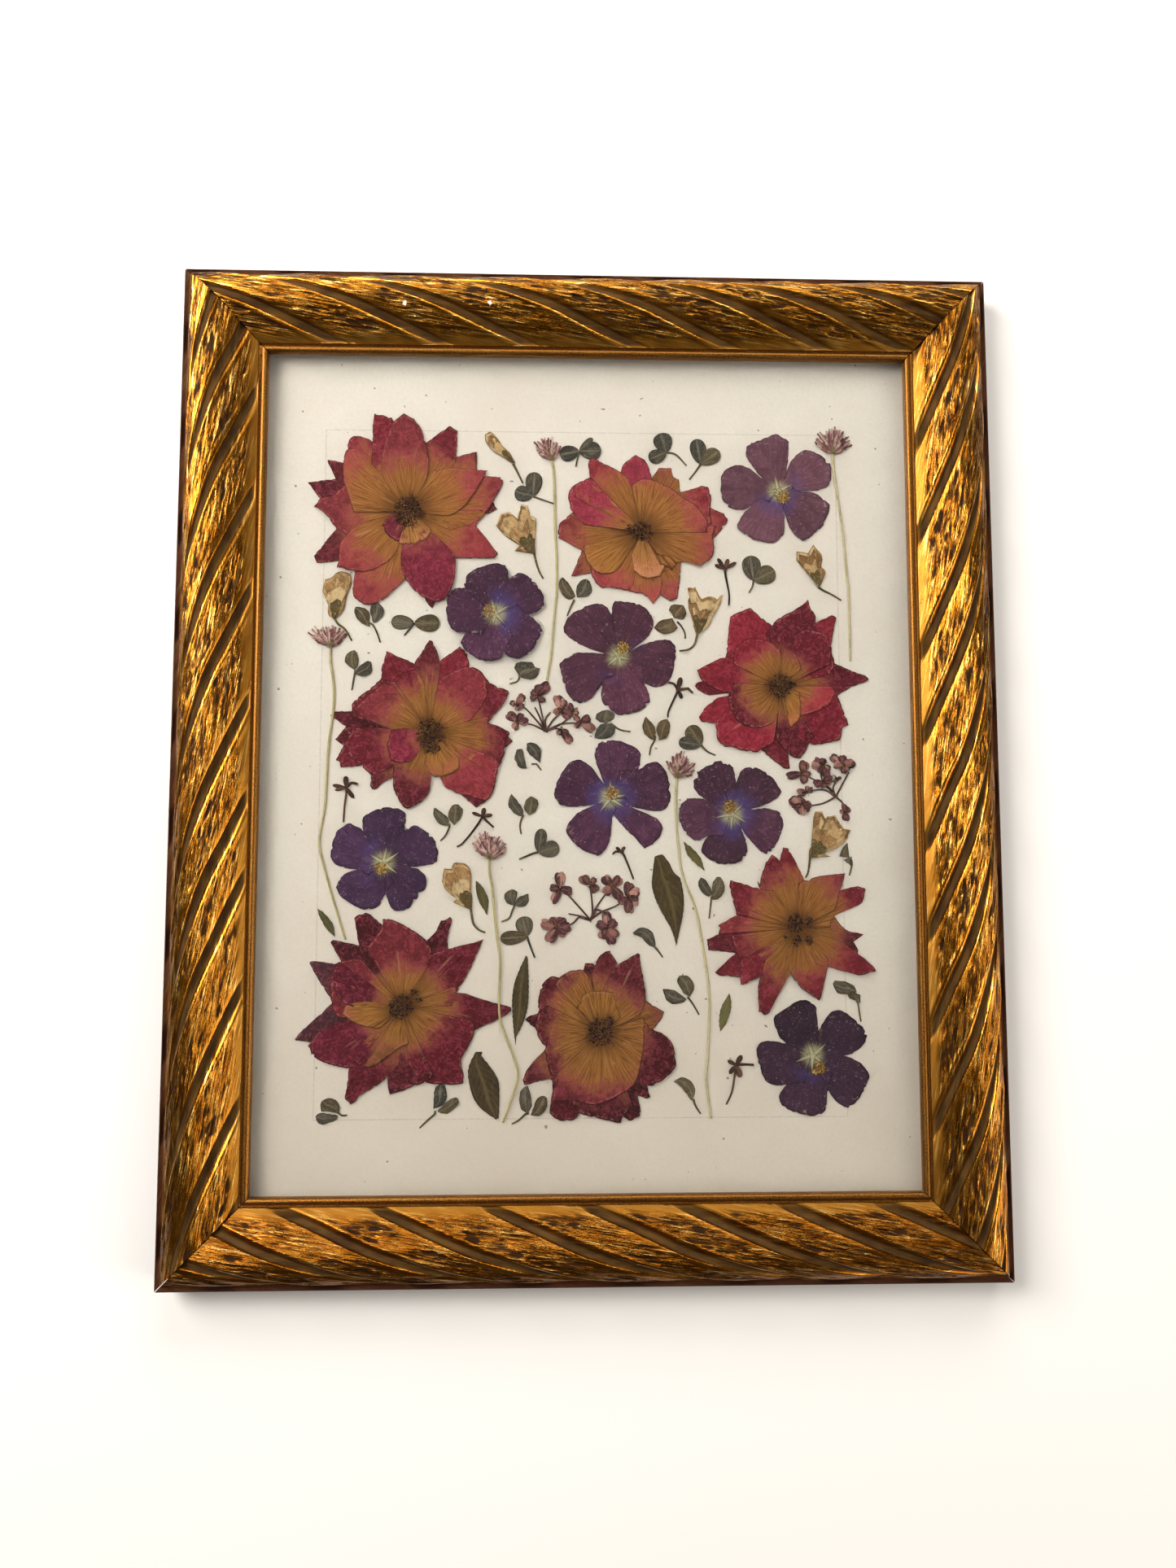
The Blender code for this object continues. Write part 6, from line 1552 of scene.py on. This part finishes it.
# %% Clovers
# Each clover: its height, its head's outline and its stem.
CLOVERS = (
    (LOW, (-16.1,129, -20.5,131.5, -21.9,135.6, -18.3,138, -14,136.4, -12,132.4, -14.7,129),
     (-15.4,129, -14.6,124, -14.1,114, -13.9,99, -13.3,86.5, -13.2,72, -13.8,66, -15.5,46,
      -17.2,34.9)),
    (LOW, (103.3,133, 98.4,135.2, 97.3,139, 100.5,141.8, 105,143, 109,140.6, 111.3,136.8, 108,134,
      104.3,133),
     (103.8,133, 104.1,127, 105.1,117.8, 106.6,106, 107.9,94, 109.1,78.4, 109.5,72, 109.6,43.6)),
    (LOW, (-106.9,48.6, -111.5,50.5, -114.7,53.2, -112.5,56, -108.5,56.9, -105.6,56.6, -102.8,55,
      -99.9,53.9, -102.5,50.6, -105.8,48.6),
     (-106.3,48.6, -106.4,42.5, -105.5,36.9, -104.8,31.3, -104.7,25, -105.2,18.8, -106.6,6.3,
      -107.5,-16.8, -109.6,-32, -107.5,-41.8, -105,-50.5, -101.9,-60.5, -98.3,-71.6)),
    (LOW, (36,-5.4, 34,-2.8, 32.6,0.4, 34.5,3, 38,4.3, 41.2,2.2, 43.8,-0.4, 42.9,-4, 39.5,-4.5,
      37.1,-5.4),
     (36.5,-5.4, 36.1,-10.5, 36,-20, 36.3,-26.5, 37.1,-35.5, 37.8,-42, 39.8,-49.3, 42.9,-56.8,
      44.8,-63.6, 46.3,-72.5, 47.3,-79.5, 48.5,-87.6, 49.1,-97, 48.8,-107, 48.2,-118.9, 47.4,-127,
      48.2,-134.5, 49.3,-143.3)),
    (MIDDLE, (-41,-38.6, -44.5,-36.2, -47.2,-32.6, -44.5,-30.4, -40,-29.7, -36.4,-31.4, -33.9,-35,
      -36.6,-37.8, -39.9,-38.6),
     (-40.4,-38.6, -40.4,-44.3, -39.2,-51.1, -38.3,-60.5, -37,-72, -35.9,-80.1, -36.2,-94,
      -35.8,-103.3, -33.3,-110.8, -30.1,-118.9, -28.5,-125.8, -30.4,-133.3, -34.5,-144.3)),
)
STEM_TONES = ((204, 192, 146), (192, 180, 128), (208, 196, 150), (186, 174, 124))
FLORET_TONES = ((172, 116, 122), (142, 84, 94), (216, 184, 166), (96, 52, 58), (190, 140, 134),
                (122, 74, 66), (226, 204, 184))

# %% Lay the clovers
for number, (height, head, path) in enumerate(CLOVERS, 1):
    head, path = as_points(head), as_points(path)
    clover = Specimen(f"pressed_clover_{number}", seed=740 + number * 70)
    add_stem(clover, path, 1.0, height + 0.1, STEM_TONES[number % 4], taper=0.15)
    root = (np.array(head[0]) + head[-1]) / 2
    rim = on_line(outline(head), 46)
    clover.sheet(fan(root, rim * 0.6 + root * 0.4, 5), height + 0.05, (92, 58, 52))
    for layer in range(4):
        for spot in rim:
            reach = rng.uniform(0.86, 1.2) - 0.16 * layer
            end = root + (spot - root) * reach + (rng.uniform(-0.5, 0.5), rng.uniform(-0.5, 0.5))
            start = root + (spot - root) * 0.12
            bend = (start + end) / 2 + (rng.uniform(-0.6, 0.6), rng.uniform(-0.4, 0.4))
            grid = strip((start, bend, end), rng.uniform(0.3, 0.42), taper=-0.9, step=1.6)
            lift = height + 0.15 + layer * 0.18 + rng.uniform(0, 0.16)
            clover.sheet(grid, lift, rng.choice(FLORET_TONES), wrinkle=0.05)
    for spot in rim[::4]:
        end = root + (spot - root) * rng.uniform(0.22, 0.4)
        clover.sheet(strip((root, end), 0.7, 0.6), height + 0.9, (122, 116, 72))
    piece = clover.finish(CLOVER, f"clover_{number}", "clover")
    print(piece.name, triangles(piece), "triangles")

# %% [markdown]
# ## Pea blossoms
#
# The cream blossoms are folded, so one sees a broad petal with smaller ones lying across it and
# the olive calyx at their root. Each layer is a fan to a part of the same outline.

# %% Pea blossoms
# Each blossom: its outline and its stalk.
BLOSSOMS = (
    ((-32.6,127.4, -35.6,129.6, -40,132.4, -43.3,136.6, -43.6,139.6, -41.6,140.8, -39.4,139.4,
      -37,135.4, -33,131.6, -30.6,127.2),
     (-31.6,127, -29.6,123, -27.5,118.5)),
    ((-23.4,88.4, -31,89.6, -28.6,92, -35,96, -38.7,100.3, -36.7,105.4, -32.9,106.2, -29.8,103.4,
      -28.3,109.6, -25.3,109, -24.4,104.8, -21.9,103.7, -22.4,99.6, -24.6,95, -22.4,91.5,
      -22,88.4),
     (-22.7,88.4, -21.6,84, -20.4,80.6, -18.8,77.8)),
    ((-105.6,60.2, -107.8,62.6, -107.9,69.4, -110.3,72.3, -109.3,76.8, -107.4,77.2, -105,79.2,
      -102.6,80.7, -98.6,79, -98.4,75, -99.7,71.5, -101,65.6, -101.6,63.6, -104.6,60.2),
     (-105.1,60.2, -103.4,57.9, -100.6,55.7, -97.8,50.9)),
    ((45,54.8, 43.8,58.1, 44.1,61.8, 42,65.6, 41.6,69.6, 42.6,71.2, 41.5,74.4, 44.8,74.7,
      46.3,71.3, 47.6,69.6, 50.7,70.9, 54.1,69.7, 56.3,71.6, 54.8,66.9, 51.6,61.3, 50.7,58.6,
      46.1,54.8),
     (45.5,54.8, 44.3,50.6, 41.9,48.3, 37.9,47.6)),
    ((96.1,75.2, 93.6,80, 92.3,83.4, 94,84.8, 87.6,86.8, 87.8,90.4, 92.6,89.6, 94.8,93.4,
      98.4,88.6, 97.6,84.6, 100,81.7, 97.3,75.2),
     (96.6,75.2, 99,73.6, 102.3,72, 106.3,69.5)),
    ((90.7,-38.4, 91.1,-34.9, 94.6,-30.6, 93,-24.3, 93.5,-19.3, 96.6,-19.4, 98.2,-22.6,
      98.9,-21.2, 102.3,-21, 104.2,-24.6, 105.1,-25.8, 108.4,-26.9, 106.6,-31.1, 102.9,-34.3,
      98.5,-35.5, 97.6,-37, 100,-37.9, 93.6,-37.8, 91.9,-38.6),
     (91.3,-38.4, 90.4,-44.3, 89.3,-46.7)),
    ((-48.5,-59.4, -51.6,-58, -55,-56.6, -53,-54.4, -56.8,-52.8, -59.3,-49.6, -59.6,-46.8,
      -59,-42.9, -55.9,-43, -55,-40.6, -51.6,-40.6, -48.8,-42.4, -47.7,-46.1, -50.4,-49.9,
      -48.4,-51.8, -47.3,-54.3, -47.4,-59.4),
     (-47.9,-59.4, -47.4,-62.6, -46.6,-65.5, -44.4,-67.8, -42,-68.8)),
)
CREAM_TONES = ((188, 154, 106), (160, 122, 76), (206, 178, 132), (134, 98, 58))
CALYX_TONE = (84, 76, 42)

# %% Lay the blossoms
for number, (head, path) in enumerate(BLOSSOMS, 1):
    head, path = as_points(head), as_points(path)
    blossom = Specimen(f"pea_blossom_{number}", seed=1200 + number * 20)
    add_stem(blossom, path, 0.95, LOW + 0.1, CALYX_TONE)
    root = (np.array(head[0]) + head[-1]) / 2
    rim = outline(head)
    third = len(rim) // 3
    for layer, (first, last, reach) in enumerate((
            (0, len(rim), 1.0), (0, 2 * third, 0.97), (third, len(rim), 0.9),
            (third // 2, 2 * third, 0.66))):
        part = root + (rim[first:last] - root) * reach
        grid = fan(root, ragged(part, 0.3, layer, root), max(9, len(rim) // 2))
        blossom.sheet(grid, LOW + 0.1 + 0.16 * layer, CREAM_TONES[(layer + number) % 4],
                      edge=fan_edge(root, part, grid), wrinkle=0.2, curl=0.14, creases=4)
    blossom.sheet(fan(root, root + (rim - root) * 0.4, 6), LOW + 0.8, CALYX_TONE, wrinkle=0.15,
                  creases=2)
    piece = blossom.finish(CREAM, f"cream_blossom_{number}", "cream_petal")
    print(piece.name, triangles(piece), "triangles")

# %% [markdown]
# ## Sprigs, umbels and leaf pairs
#
# The small brown stars, the flat-topped clusters of dark florets and the two-lobed leaves all
# branch from one point. Every arm is a blade or a stem from that point, so each specimen hangs
# together as the real one does.

# %% Sprigs
def lobe(tip, width):
    return ("lobe", (tip,), width)


def stalk(*path, width=0.9):
    return ("stalk", path, width)


def add_lobe(plant, root, tip, width, height, tone, wrinkle=0.1, creases=1):
    points, far = oval(root, tip, width)
    grid = leaf_blade(points, far, 0.8, 9)
    rib = 1 - abs(np.linspace(-1, 1, 9))[None] * np.ones((len(grid), 1))
    plant.sheet(grid, height + 0.14 * rib ** 4, tone, share=rib, wrinkle=wrinkle, creases=creases)


def add_arms(plant, centre, arms, height, tones):
    for index, (kind, path, width) in enumerate(arms):
        tone = tones[index % len(tones)]
        if kind == "lobe":
            add_lobe(plant, centre, path[0], width, height + 0.07 * index, tone)
        else:
            add_stem(plant, (centre, *path), width, height, tone)


SPRIGS = (
    ((57.4, 82.6), (lobe((53, 84.4), 1.7), lobe((54.2, 87.2), 1.7), lobe((58.8, 87), 1.9),
                    lobe((62.3, 85.5), 1.7), stalk((57.6, 79.6), (59, 72), (58.8, 67)))),
    ((37.2, 31.2), (stalk((35.4, 33.8), (33, 34.2), width=1.2), lobe((38.5, 36.6), 2.2),
                    stalk((41.4, 31.8), (43.4, 29.8), width=1.3), lobe((38.9, 27.3), 1.7),
                    stalk((36.1, 28.6), (33.1, 21.9), (33, 19.6)))),
    ((-99.2, -9.8), (lobe((-99.3, -5), 2.2), lobe((-104.8, -8.9), 1.6), lobe((-103.7, -11), 1.5),
                     stalk((-97, -8), (-94.4, -8.4), width=1.3), lobe((-95.8, -14.3), 1.8),
                     stalk((-99.1, -12.5), (-99.7, -18), (-100, -24.1)))),
    ((-43.4, -21.6), (lobe((-42.7, -17.9), 2.0), lobe((-47.9, -20), 1.4),
                      lobe((-39.2, -20.9), 1.6), stalk((-41.8, -23.4), (-38.8, -26.1), width=1.1),
                      stalk((-45, -24.3), (-48.1, -28.6), (-51.9, -33), (-53.8, -33.9)))),
    ((13.4, -36), (stalk((11, -36), (9.9, -37.1), width=1.0), lobe((11.2, -34.1), 1.4),
                   lobe((14.9, -33.9), 1.4), stalk((14.6, -37.6), (16.8, -43), (18.4, -47.3)))),
    ((59.6, -122.2), (lobe((62.1, -118.3), 2.2), stalk((63, -122), (66.9, -122.2), width=1.1),
                      lobe((61.5, -127.2), 2.6), lobe((56.1, -120.3), 1.7),
                      lobe((56.8, -125.8), 1.8),
                      stalk((59.2, -125.4), (57.9, -132.6), (55.5, -137.9)))),
)
SPRIG_TONES = ((76, 50, 40), (58, 36, 32), (98, 68, 50))

for number, (centre, arms) in enumerate(SPRIGS, 1):
    sprig = Specimen(f"pressed_sprig_{number}", seed=1400 + number * 9)
    add_arms(sprig, centre, arms, LOW + 0.1, SPRIG_TONES)
    tuft(sprig, (*centre, 0.8, 0.8), 9, LOW + 0.5, SPRIG_TONES, (0.25, 0.45))
    piece = sprig.finish(SPRIG, f"sprig_{number}", "brown_sprig")
    print(piece.name, triangles(piece), "triangles")

# %% Umbels
# Each umbel: where its stalks meet, the stalks, and its florets as a middle and the petals' tips,
# all as rows of numbers.
UMBELS = (
    ((-17.6, 13.6),
     ((-22,15.9, -25,16.7, -29.2,17.8), (-22.4,19.2, -26,23, -29.5,25), (-20.6,20.4, -22.2,23.6),
      (-19,19.6, -21,28.4), (-17.8,18.6, -15.7,21.6), (-14.6,18.4, -12.6,20.4, -11.2,23.4),
      (-13.4,15.9, -10.4,16.9, -3.8,17.2), (-10.6,17.2, -6.2,21.6), (-14,14.8, -11.4,14.4)),
     ((-29.5,25, -32.6,25.6, -27,28.8, -29.5,22, -26.7,23.1), (-29.2,17.8, -33.6,20.6, -24.8,17.5,
      -30.8,14.1, -27.4,21), (-21,28.4, -23.6,30.6, -20.4,33.4, -16.4,33.4, -18.3,25.6, -24,26.6),
      (-11.4,23.1, -13.3,28.4, -9.8,27.2, -7.3,20, -14.4,20.6), (-6.4,21.8, -8.3,25, -4.5,23.1,
      -4,20.6), (-3.3,17.8, 1.8,14.1, -6.2,20, 0.4,19.4, -5.6,15.2), (-11.4,14.4, -7.3,9.1,
      -8.6,12.6, -12.6,11.8))),
    ((102.4, -13.3),
     ((97.6,-10.4, 90.4,-11), (100.4,-10.2, 97.2,-7), (98.4,-9, 88.6,-3.6), (96.8,-6, 97,-0.6),
      (101.4,-9.6, 103.2,-6), (105.4,-7.8, 108,-3.2, 105.5,0), (105.2,-15.8, 106.1,-19.5),
      (96.4,-16.2, 88.2,-17.2)),
     ((88.5,-3.6, 89.8,2, 81.6,-4.9, 91.9,-4.3, 89.8,-7.7), (97.3,-7.1, 93.2,-8, 97.3,-9.8,
      101,-7.4, 100.4,-4.6), (97,-0.4, 92.9,0.1, 94.1,2.5, 97.6,3.1, 100.4,-1.8, 98.5,-4.6,
      95.4,-3.6), (105.5,0, 100.7,3.8, 105.4,4.1, 107.3,2.6, 110.4,1.3, 108.2,-2.7, 106,-3.6,
      101.6,-0.5), (103,-5.9, 101.3,-7.3, 104.8,-4.9), (90,-11, 93.2,-9.9, 90.8,-8.6, 87.9,-12.9,
      86.3,-11.4), (88,-16.5, 83.2,-13.6, 86,-12.7, 89.1,-13.9, 92.3,-16.1, 91.9,-18.6,
      87.9,-20.9, 84.4,-18), (106,-19.5, 106,-16.1, 108.4,-18, 106.6,-23.3, 103.6,-19.3))),
    ((0.6, -63.9),
     ((-4,-62.6, -7,-65.4, -12.6,-66.6), (-2.6,-62.4, -8.2,-61.3), (-2.4,-60.2, -10.6,-51.2),
      (1.6,-60, 0.6,-49.4), (3.2,-58.6, 9,-50.4), (5.2,-60.6, 11,-58.2, 15.6,-55.2), (3.4,-59.6,
      6.4,-60.6, 7.7,-66.8)),
     ((-11.5,-51, -12,-44.9, -15.6,-50.5, -14.8,-56.8, -6.7,-52.4), (0.5,-49.4, -2.9,-46.1,
      3.9,-52.4, 2.6,-46.6), (9.4,-50, 6,-45.8, 13.3,-46.2, 13.2,-54.5, 6.2,-53.6), (15.8,-54.6,
      16.8,-48.3, 20.8,-51.8, 20.4,-56.8, 16.8,-61.4, 12.6,-57), (-13,-66.8, -18.9,-64.6,
      -14.5,-62.4, -10.4,-63, -7.3,-66.8, -9.5,-69.8, -16.1,-72.4), (7.7,-66.8, 6.8,-60.5,
      3.4,-65, 4.9,-71.4, 9.3,-73.5, 12,-71.1, 11.4,-64.3))),
)
UMBEL_TONES = ((84, 42, 50), (106, 60, 64), (58, 30, 38), (150, 102, 92), (72, 38, 42),
               (92, 58, 50), (184, 138, 122))

# %% Lay the umbels
for number, (junction, stalks, florets) in enumerate(UMBELS, 1):
    umbel = Specimen(f"pressed_umbel_{number}", seed=1500 + number * 90)
    for path in stalks:
        add_stem(umbel, (junction, *as_points(path)), 0.75, LOW + 0.05, (74, 50, 40))
    for floret in florets:
        middle, *tips = as_points(floret)
        middle = np.array(middle)
        for layer, tip in enumerate(tips):
            away = np.array(tip) - middle
            length = np.linalg.norm(away)
            aside = np.array([-away[1], away[0]]) / length
            for part in (-0.3, 0.3, 0):
                end = middle + away * rng.uniform(0.9, 1.12) * (1 - 0.2 * (part == 0))
                width = min(3.2, 0.62 * length) * rng.uniform(0.75, 1.15)
                add_lobe(umbel, middle, end + aside * part * width, width,
                         LOW + 0.2 + 0.1 * layer + 0.15 * (part == 0), rng.choice(UMBEL_TONES),
                         wrinkle=0.3, creases=2)
        for _ in range(4):
            end = middle + (rng.uniform(-2.2, 2.2), rng.uniform(-2.2, 2.2))
            umbel.sheet(strip((middle, end), 0.3), LOW + 1.0, rng.choice(STAMEN_TONES))
        tuft(umbel, (*middle, 1.1, 1.1), 9, LOW + 0.95, STAMEN_TONES, (0.22, 0.42))
    tuft(umbel, (*junction, 0.7, 0.7), 8, LOW + 0.4, SPRIG_TONES, (0.25, 0.4))
    piece = umbel.finish(UMBEL, f"umbel_{number}", "umbel_floret")
    print(piece.name, triangles(piece), "triangles")

# %% Leaf pairs
LEAF_PAIRS = (
    ((-72.2, 58.6), (lobe((-81.8, 59.2), 6), lobe((-61.7, 58.7), 7.2), stalk((-76.3, 53.4)))),
    ((46.6, 8.1), (lobe((41.6, 16), 7), lobe((37.3, 9.4), 5.4), stalk((49.4, 5.3), (52.6, 3.9)))),
    ((-20.6, -36.2), (lobe((-19, -26.6), 5), lobe((-12, -34), 6.6),
                      stalk((-22.9, -36.8), (-28.4, -39.1)))),
    ((-25, -70.4), (lobe((-27, -62.4), 7), lobe((-35.9, -71.3), 5.6),
                    stalk((-24, -73.5), (-21.9, -79)))),
)
GREY_TONES = ((70, 64, 54), (84, 76, 62), (78, 64, 42), (58, 56, 52), (90, 78, 54))

for number, (centre, arms) in enumerate(LEAF_PAIRS, 1):
    pair = Specimen(f"pressed_leaf_pair_{number}", seed=1700 + number * 9)
    add_arms(pair, centre, arms, LOW + 0.1, GREY_TONES[number % 3:] + GREY_TONES[:1])
    piece = pair.finish(GREY_LEAF, f"leaf_pair_{number}", "leaf_pair")
    print(piece.name, triangles(piece), "triangles")

# %% [markdown]
# ### The other leaf pairs
#
# Twenty-five more pairs fill the gaps between the flowers. Most are drawn by the outlines of
# their lobes, the youngest by the tip and width of each lobe, and all of them have a bent stalk.

# %% Small pairs
# Each pair: where it branches, its lobes as outlines or as a tip and a width, and its stalk.
SMALL_PAIRS = (
    ((-23.3, 113), ((-22.6,123.5, 6.2), (-30.9,115, 6)), (-14.5,110)),
    ((-3.8, 132.8), ((-12,131, 6), (5.4,133, 7), (1.8,138.5, 2.6)), (-5.3,126)),
    ((33, 132.6), ((30.5,141, 7), (25.6,129.5, 5.4)), (37,131.8, 41.6,127)),
    ((47.6, 127.8), ((45.7,138.7, 6), (55.4,133.6, 6)), (45,124, 42.6,121)),
    ((69.4, 77.8), ((68,88.4, 7), (78.4,82, 7)), (68.8,75, 67.3,72.4)),
    ((-90.6, 58.6), ((-96.6,65.3, -97,62.5, -94.4,58.8, -90.6,56.9, -90.6,63.1, -93.1,65),
     (-90.6,63.8, -89.4,67.2, -87.5,67.2, -85,64.7, -85,61.9, -87.5,59.1, -89.1,58.6)),
     (-89.1,57.5, -87.5,54.4, -86.1,50.3)),
    ((-6, 69), ((-11.1,78.6, -12,77, -12.3,73.9, -10.1,70.1, -7.6,68.6, -5.4,70.4, -7,73.9,
     -9.2,77), (-4.8,70.1, -5.1,73.9, -3.3,77, -0.8,77.9, 1.1,75.8, 1.4,72.6, -0.4,70.1)),
     (-6.1,68.6, -7.6,65.4, -8.9,62.1)),
    ((37, 60), ((33.6,65, 34.9,67.6, 39.8,66.9, 40.9,63.8, 39.8,60.6, 35.8,61.6), (27.4,57.5,
     29.9,60.3, 34.9,61.4, 37.4,56.9, 34.9,55.3, 31.1,54.6, 28.3,56.3)), (38.8,58.1, 40.3,55,
     40.3,52.8)),
    ((-96.2, 38.8), ((-96.6,38.8, -100.6,41.9, -100.6,44.1, -99.1,46.3, -96.6,47.1, -95.3,45.6,
     -95,41.3), (-95,40, -91.3,42.8, -89.7,42.2, -89.1,38.8, -90.6,36.9, -94.4,36.1, -96.3,37.5)),
     (-96.8,35, -97.5,30.3)),
    ((-28.6, 37), ((-31.1,40.9, -29.2,42.5, -23.3,42.5, -22,40.3, -20.1,40, -20.8,37.5, -22,35.6,
     -25.8,35.3, -28.3,36.3, -30.1,38.8),), (-28.6,36.3, -29.5,34.4, -32.6,33.4)),
    ((9, 17), ((2.5,19.4, 4.3,21.9, 8,22.8, 11.1,20.9, 10.5,18.8, 7.4,17.2, 4.3,17.5), (2.4,10.9,
     3,13.8, 4.6,16.3, 7.4,17.2, 11.1,15.9, 11.1,13.8, 9.3,11.3, 6.1,10.3)), (10.2,16.3, 13,14.4,
     17.3,13.6)),
    ((27.6, 12), ((23.6,20, 22.4,16.3, 23,13.1, 25.5,10.6, 27.4,10, 27.7,15, 25.5,18.1), (28,15,
     29.9,18.4, 32.7,18.8, 33.8,16.9, 33.3,13.1, 31.8,10.6, 29.3,10)), (27.4,10, 25.8,7.2,
     25.2,3.8)),
    ((-23.5, 0), ((-25.4,8.4, -23.9,9.1, -21.1,8.1, -19.4,5, -20.1,0.6, -25.1,5), (-30.4,3.4,
     -29.5,5.9, -27.3,6.6, -25.4,-1.9, -28.6,-1.6, -30.4,1.9)), (-21.4,0.1, -19.4,-2.6)),
    ((-57, -24.6), ((-63,-18, -63.6,-19.9, -62.5,-23, -60,-25.2, -56.9,-25.5, -57.5,-22.4,
     -59.4,-20.5), (-57.5,-21.8, -56.6,-18, -55,-16.6, -52.8,-16.9, -51.4,-19.3, -52.5,-22.4,
     -55,-25.2)), (-56.9,-25.8, -58.4,-29.3, -60.5,-31.6)),
    ((-26.6, -21), ((-31.7,-12.3, -33.1,-16.1, -32,-18.6, -28.9,-21.4, -26.7,-21.4, -27,-18.6,
     -29.5,-14.9), (-26.7,-18.6, -25.8,-14.9, -23.6,-13.3, -21.4,-14.3, -20.6,-16.8, -22,-19.9,
     -24.5,-21.1)), (-27.3,-22.1, -28.1,-25.5, -27.6,-28.8)),
    ((-30, -57.6), ((-34.5,-54.6, -33.9,-52.4, -31.4,-51.3, -28.9,-52.1, -30.1,-58, -32.6,-57.7),
     (-28.9,-54.9, -24.5,-53, -24.5,-56.8, -26.7,-58.5, -30.1,-58)), (-31.1,-59.9, -32.3,-63,
     -35.4,-64.4)),
    ((50.4, -54.6), ((46,-46.6, 44.9,-48.6, 45.4,-51.1, 48.5,-54.6, 50.7,-53.6, 50.1,-51.1,
     47.9,-47.4), (50.4,-53.6, 50.7,-49.3, 52.3,-46.4, 54.1,-46.3, 55.9,-49.3, 55.4,-53,
     52.9,-55.5, 50.7,-55.8)), (50.4,-54.3, 49.8,-59.3, 49.3,-63.3)),
    ((27.1, -74.9), ((17.9,-69.3, 19.9,-67.4, 23,-66.9, 25.8,-68.6, 27.1,-71.8, 27.1,-74.9,
     24.3,-73.9, 21.8,-71.1, 19.9,-70.2),), (28.4,-76.4, 30.2,-79)),
    ((40.6, -95), ((30.2,-91.7, 34.9,-92.3, 39.8,-95.8, 38,-97.3, 33.6,-97.6, 31.1,-95.4),
     (35.8,-88.3, 36.8,-86.4, 38.2,-86.1, 40.7,-86.7, 42.6,-89.5, 42.6,-92.6, 41,-94.8,
     38.5,-93.3, 36.6,-90.1)), (40.4,-95.1, 42.6,-98.2, 44.8,-102.1)),
    ((108, -94.4), ((99.8,-89.8, 100.4,-88.6, 104.8,-88.9, 108.5,-90.8, 109.6,-93.3, 105.4,-94,
     102.3,-93.9, 100.4,-92), (105.4,-93.9, 107,-96.6, 108.8,-96.7, 111,-97.6, 111,-94.5,
     108,-93)), (109.8,-97.6, 110.4,-101.4, 111,-105.1)),
    ((108, -38.2), ((106.9,-32.4, 104.8,-34.3, 103.4,-38, 107.6,-38.3), (108.5,-38, 108.2,-41.8,
     105.1,-39.3)), (108.6,-41, 107.4,-45.8)),
    ((-100.4, -139.6), ((-107.3,-137.6, -106.6,-135.4, -103.4,-134.3, -100.6,-135.4, -99.4,-138.3,
     -99.7,-140.8, -102.5,-139.8, -106.6,-139.5), (-108.9,-141.4, -107.2,-140.1, -100,-141.1,
     -101.3,-143.3, -107.2,-144.8, -108.4,-143.6)), (-98.6,-141.2, -96.5,-141)),
    ((-61.4, -139.6), ((-62.2,-138.9, -61.9,-132, -61.3,-130.1, -59.4,-128.9, -57.5,-129.8,
     -56.9,-133.3, -58.1,-137), (-60.6,-139.8, -57.5,-136.4, -53.8,-134.2, -52.2,-134.8,
     -52.2,-137, -54.4,-139.2, -56.9,-140.8, -59.7,-140.4)), (-61.6,-140.8, -64.6,-143.4,
     -67.6,-146.3)),
    ((-24, -140.8), ((-27.9,-134.5, -27,-131.4, -24.5,-129.8, -23.3,-133.9, -22.9,-138.3,
     -24.8,-140.8, -27.3,-138.9), (-20.8,-135.1, -17.9,-133.9, -16.5,-135.1, -17,-138.9,
     -19.5,-141.7, -23.3,-141.7)), (-25.4,-141.1, -28,-143.4, -30.9,-145)),
    ((42.2, -135.6), ((34.3,-128.6, 37.4,-127, 38.5,-127, 41,-128.3, 42.8,-130.8, 42.6,-134.5,
     41.6,-136.4, 39.8,-133.9, 37.3,-130.8, 36,-129.5),), (43.2,-138.6, 45.1,-141.5)),
)

# %% Lay the small pairs
BROWN_PAIRS = (8, 12)
# How much wider a lobe that is given by its tip and width is laid.
WIDER = 1.12
for number, (centre, lobes, stem) in enumerate(SMALL_PAIRS, 1):
    pair = Specimen(f"small_leaf_pair_{number}", seed=1800 + number * 9)
    add_stem(pair, (centre, *as_points(stem)), 0.8, LOW + 0.1, (92, 84, 58))
    for layer, shape in enumerate(lobes):
        tone = (92, 70, 42) if number in BROWN_PAIRS else rng.choice(GREY_TONES)
        height = LOW + 0.12 + 0.1 * layer
        if len(shape) == 3:
            add_lobe(pair, centre, shape[:2], shape[2] * WIDER, height, tone, 0.2, 2)
        else:
            leaf_sheet(pair, turned(as_points(shape), centre), height, tone, 0.2, 9, 3)
    pair.finish(GREY_LEAF, slot="leaf_pair")
print("small leaf pairs:", len(SMALL_PAIRS))
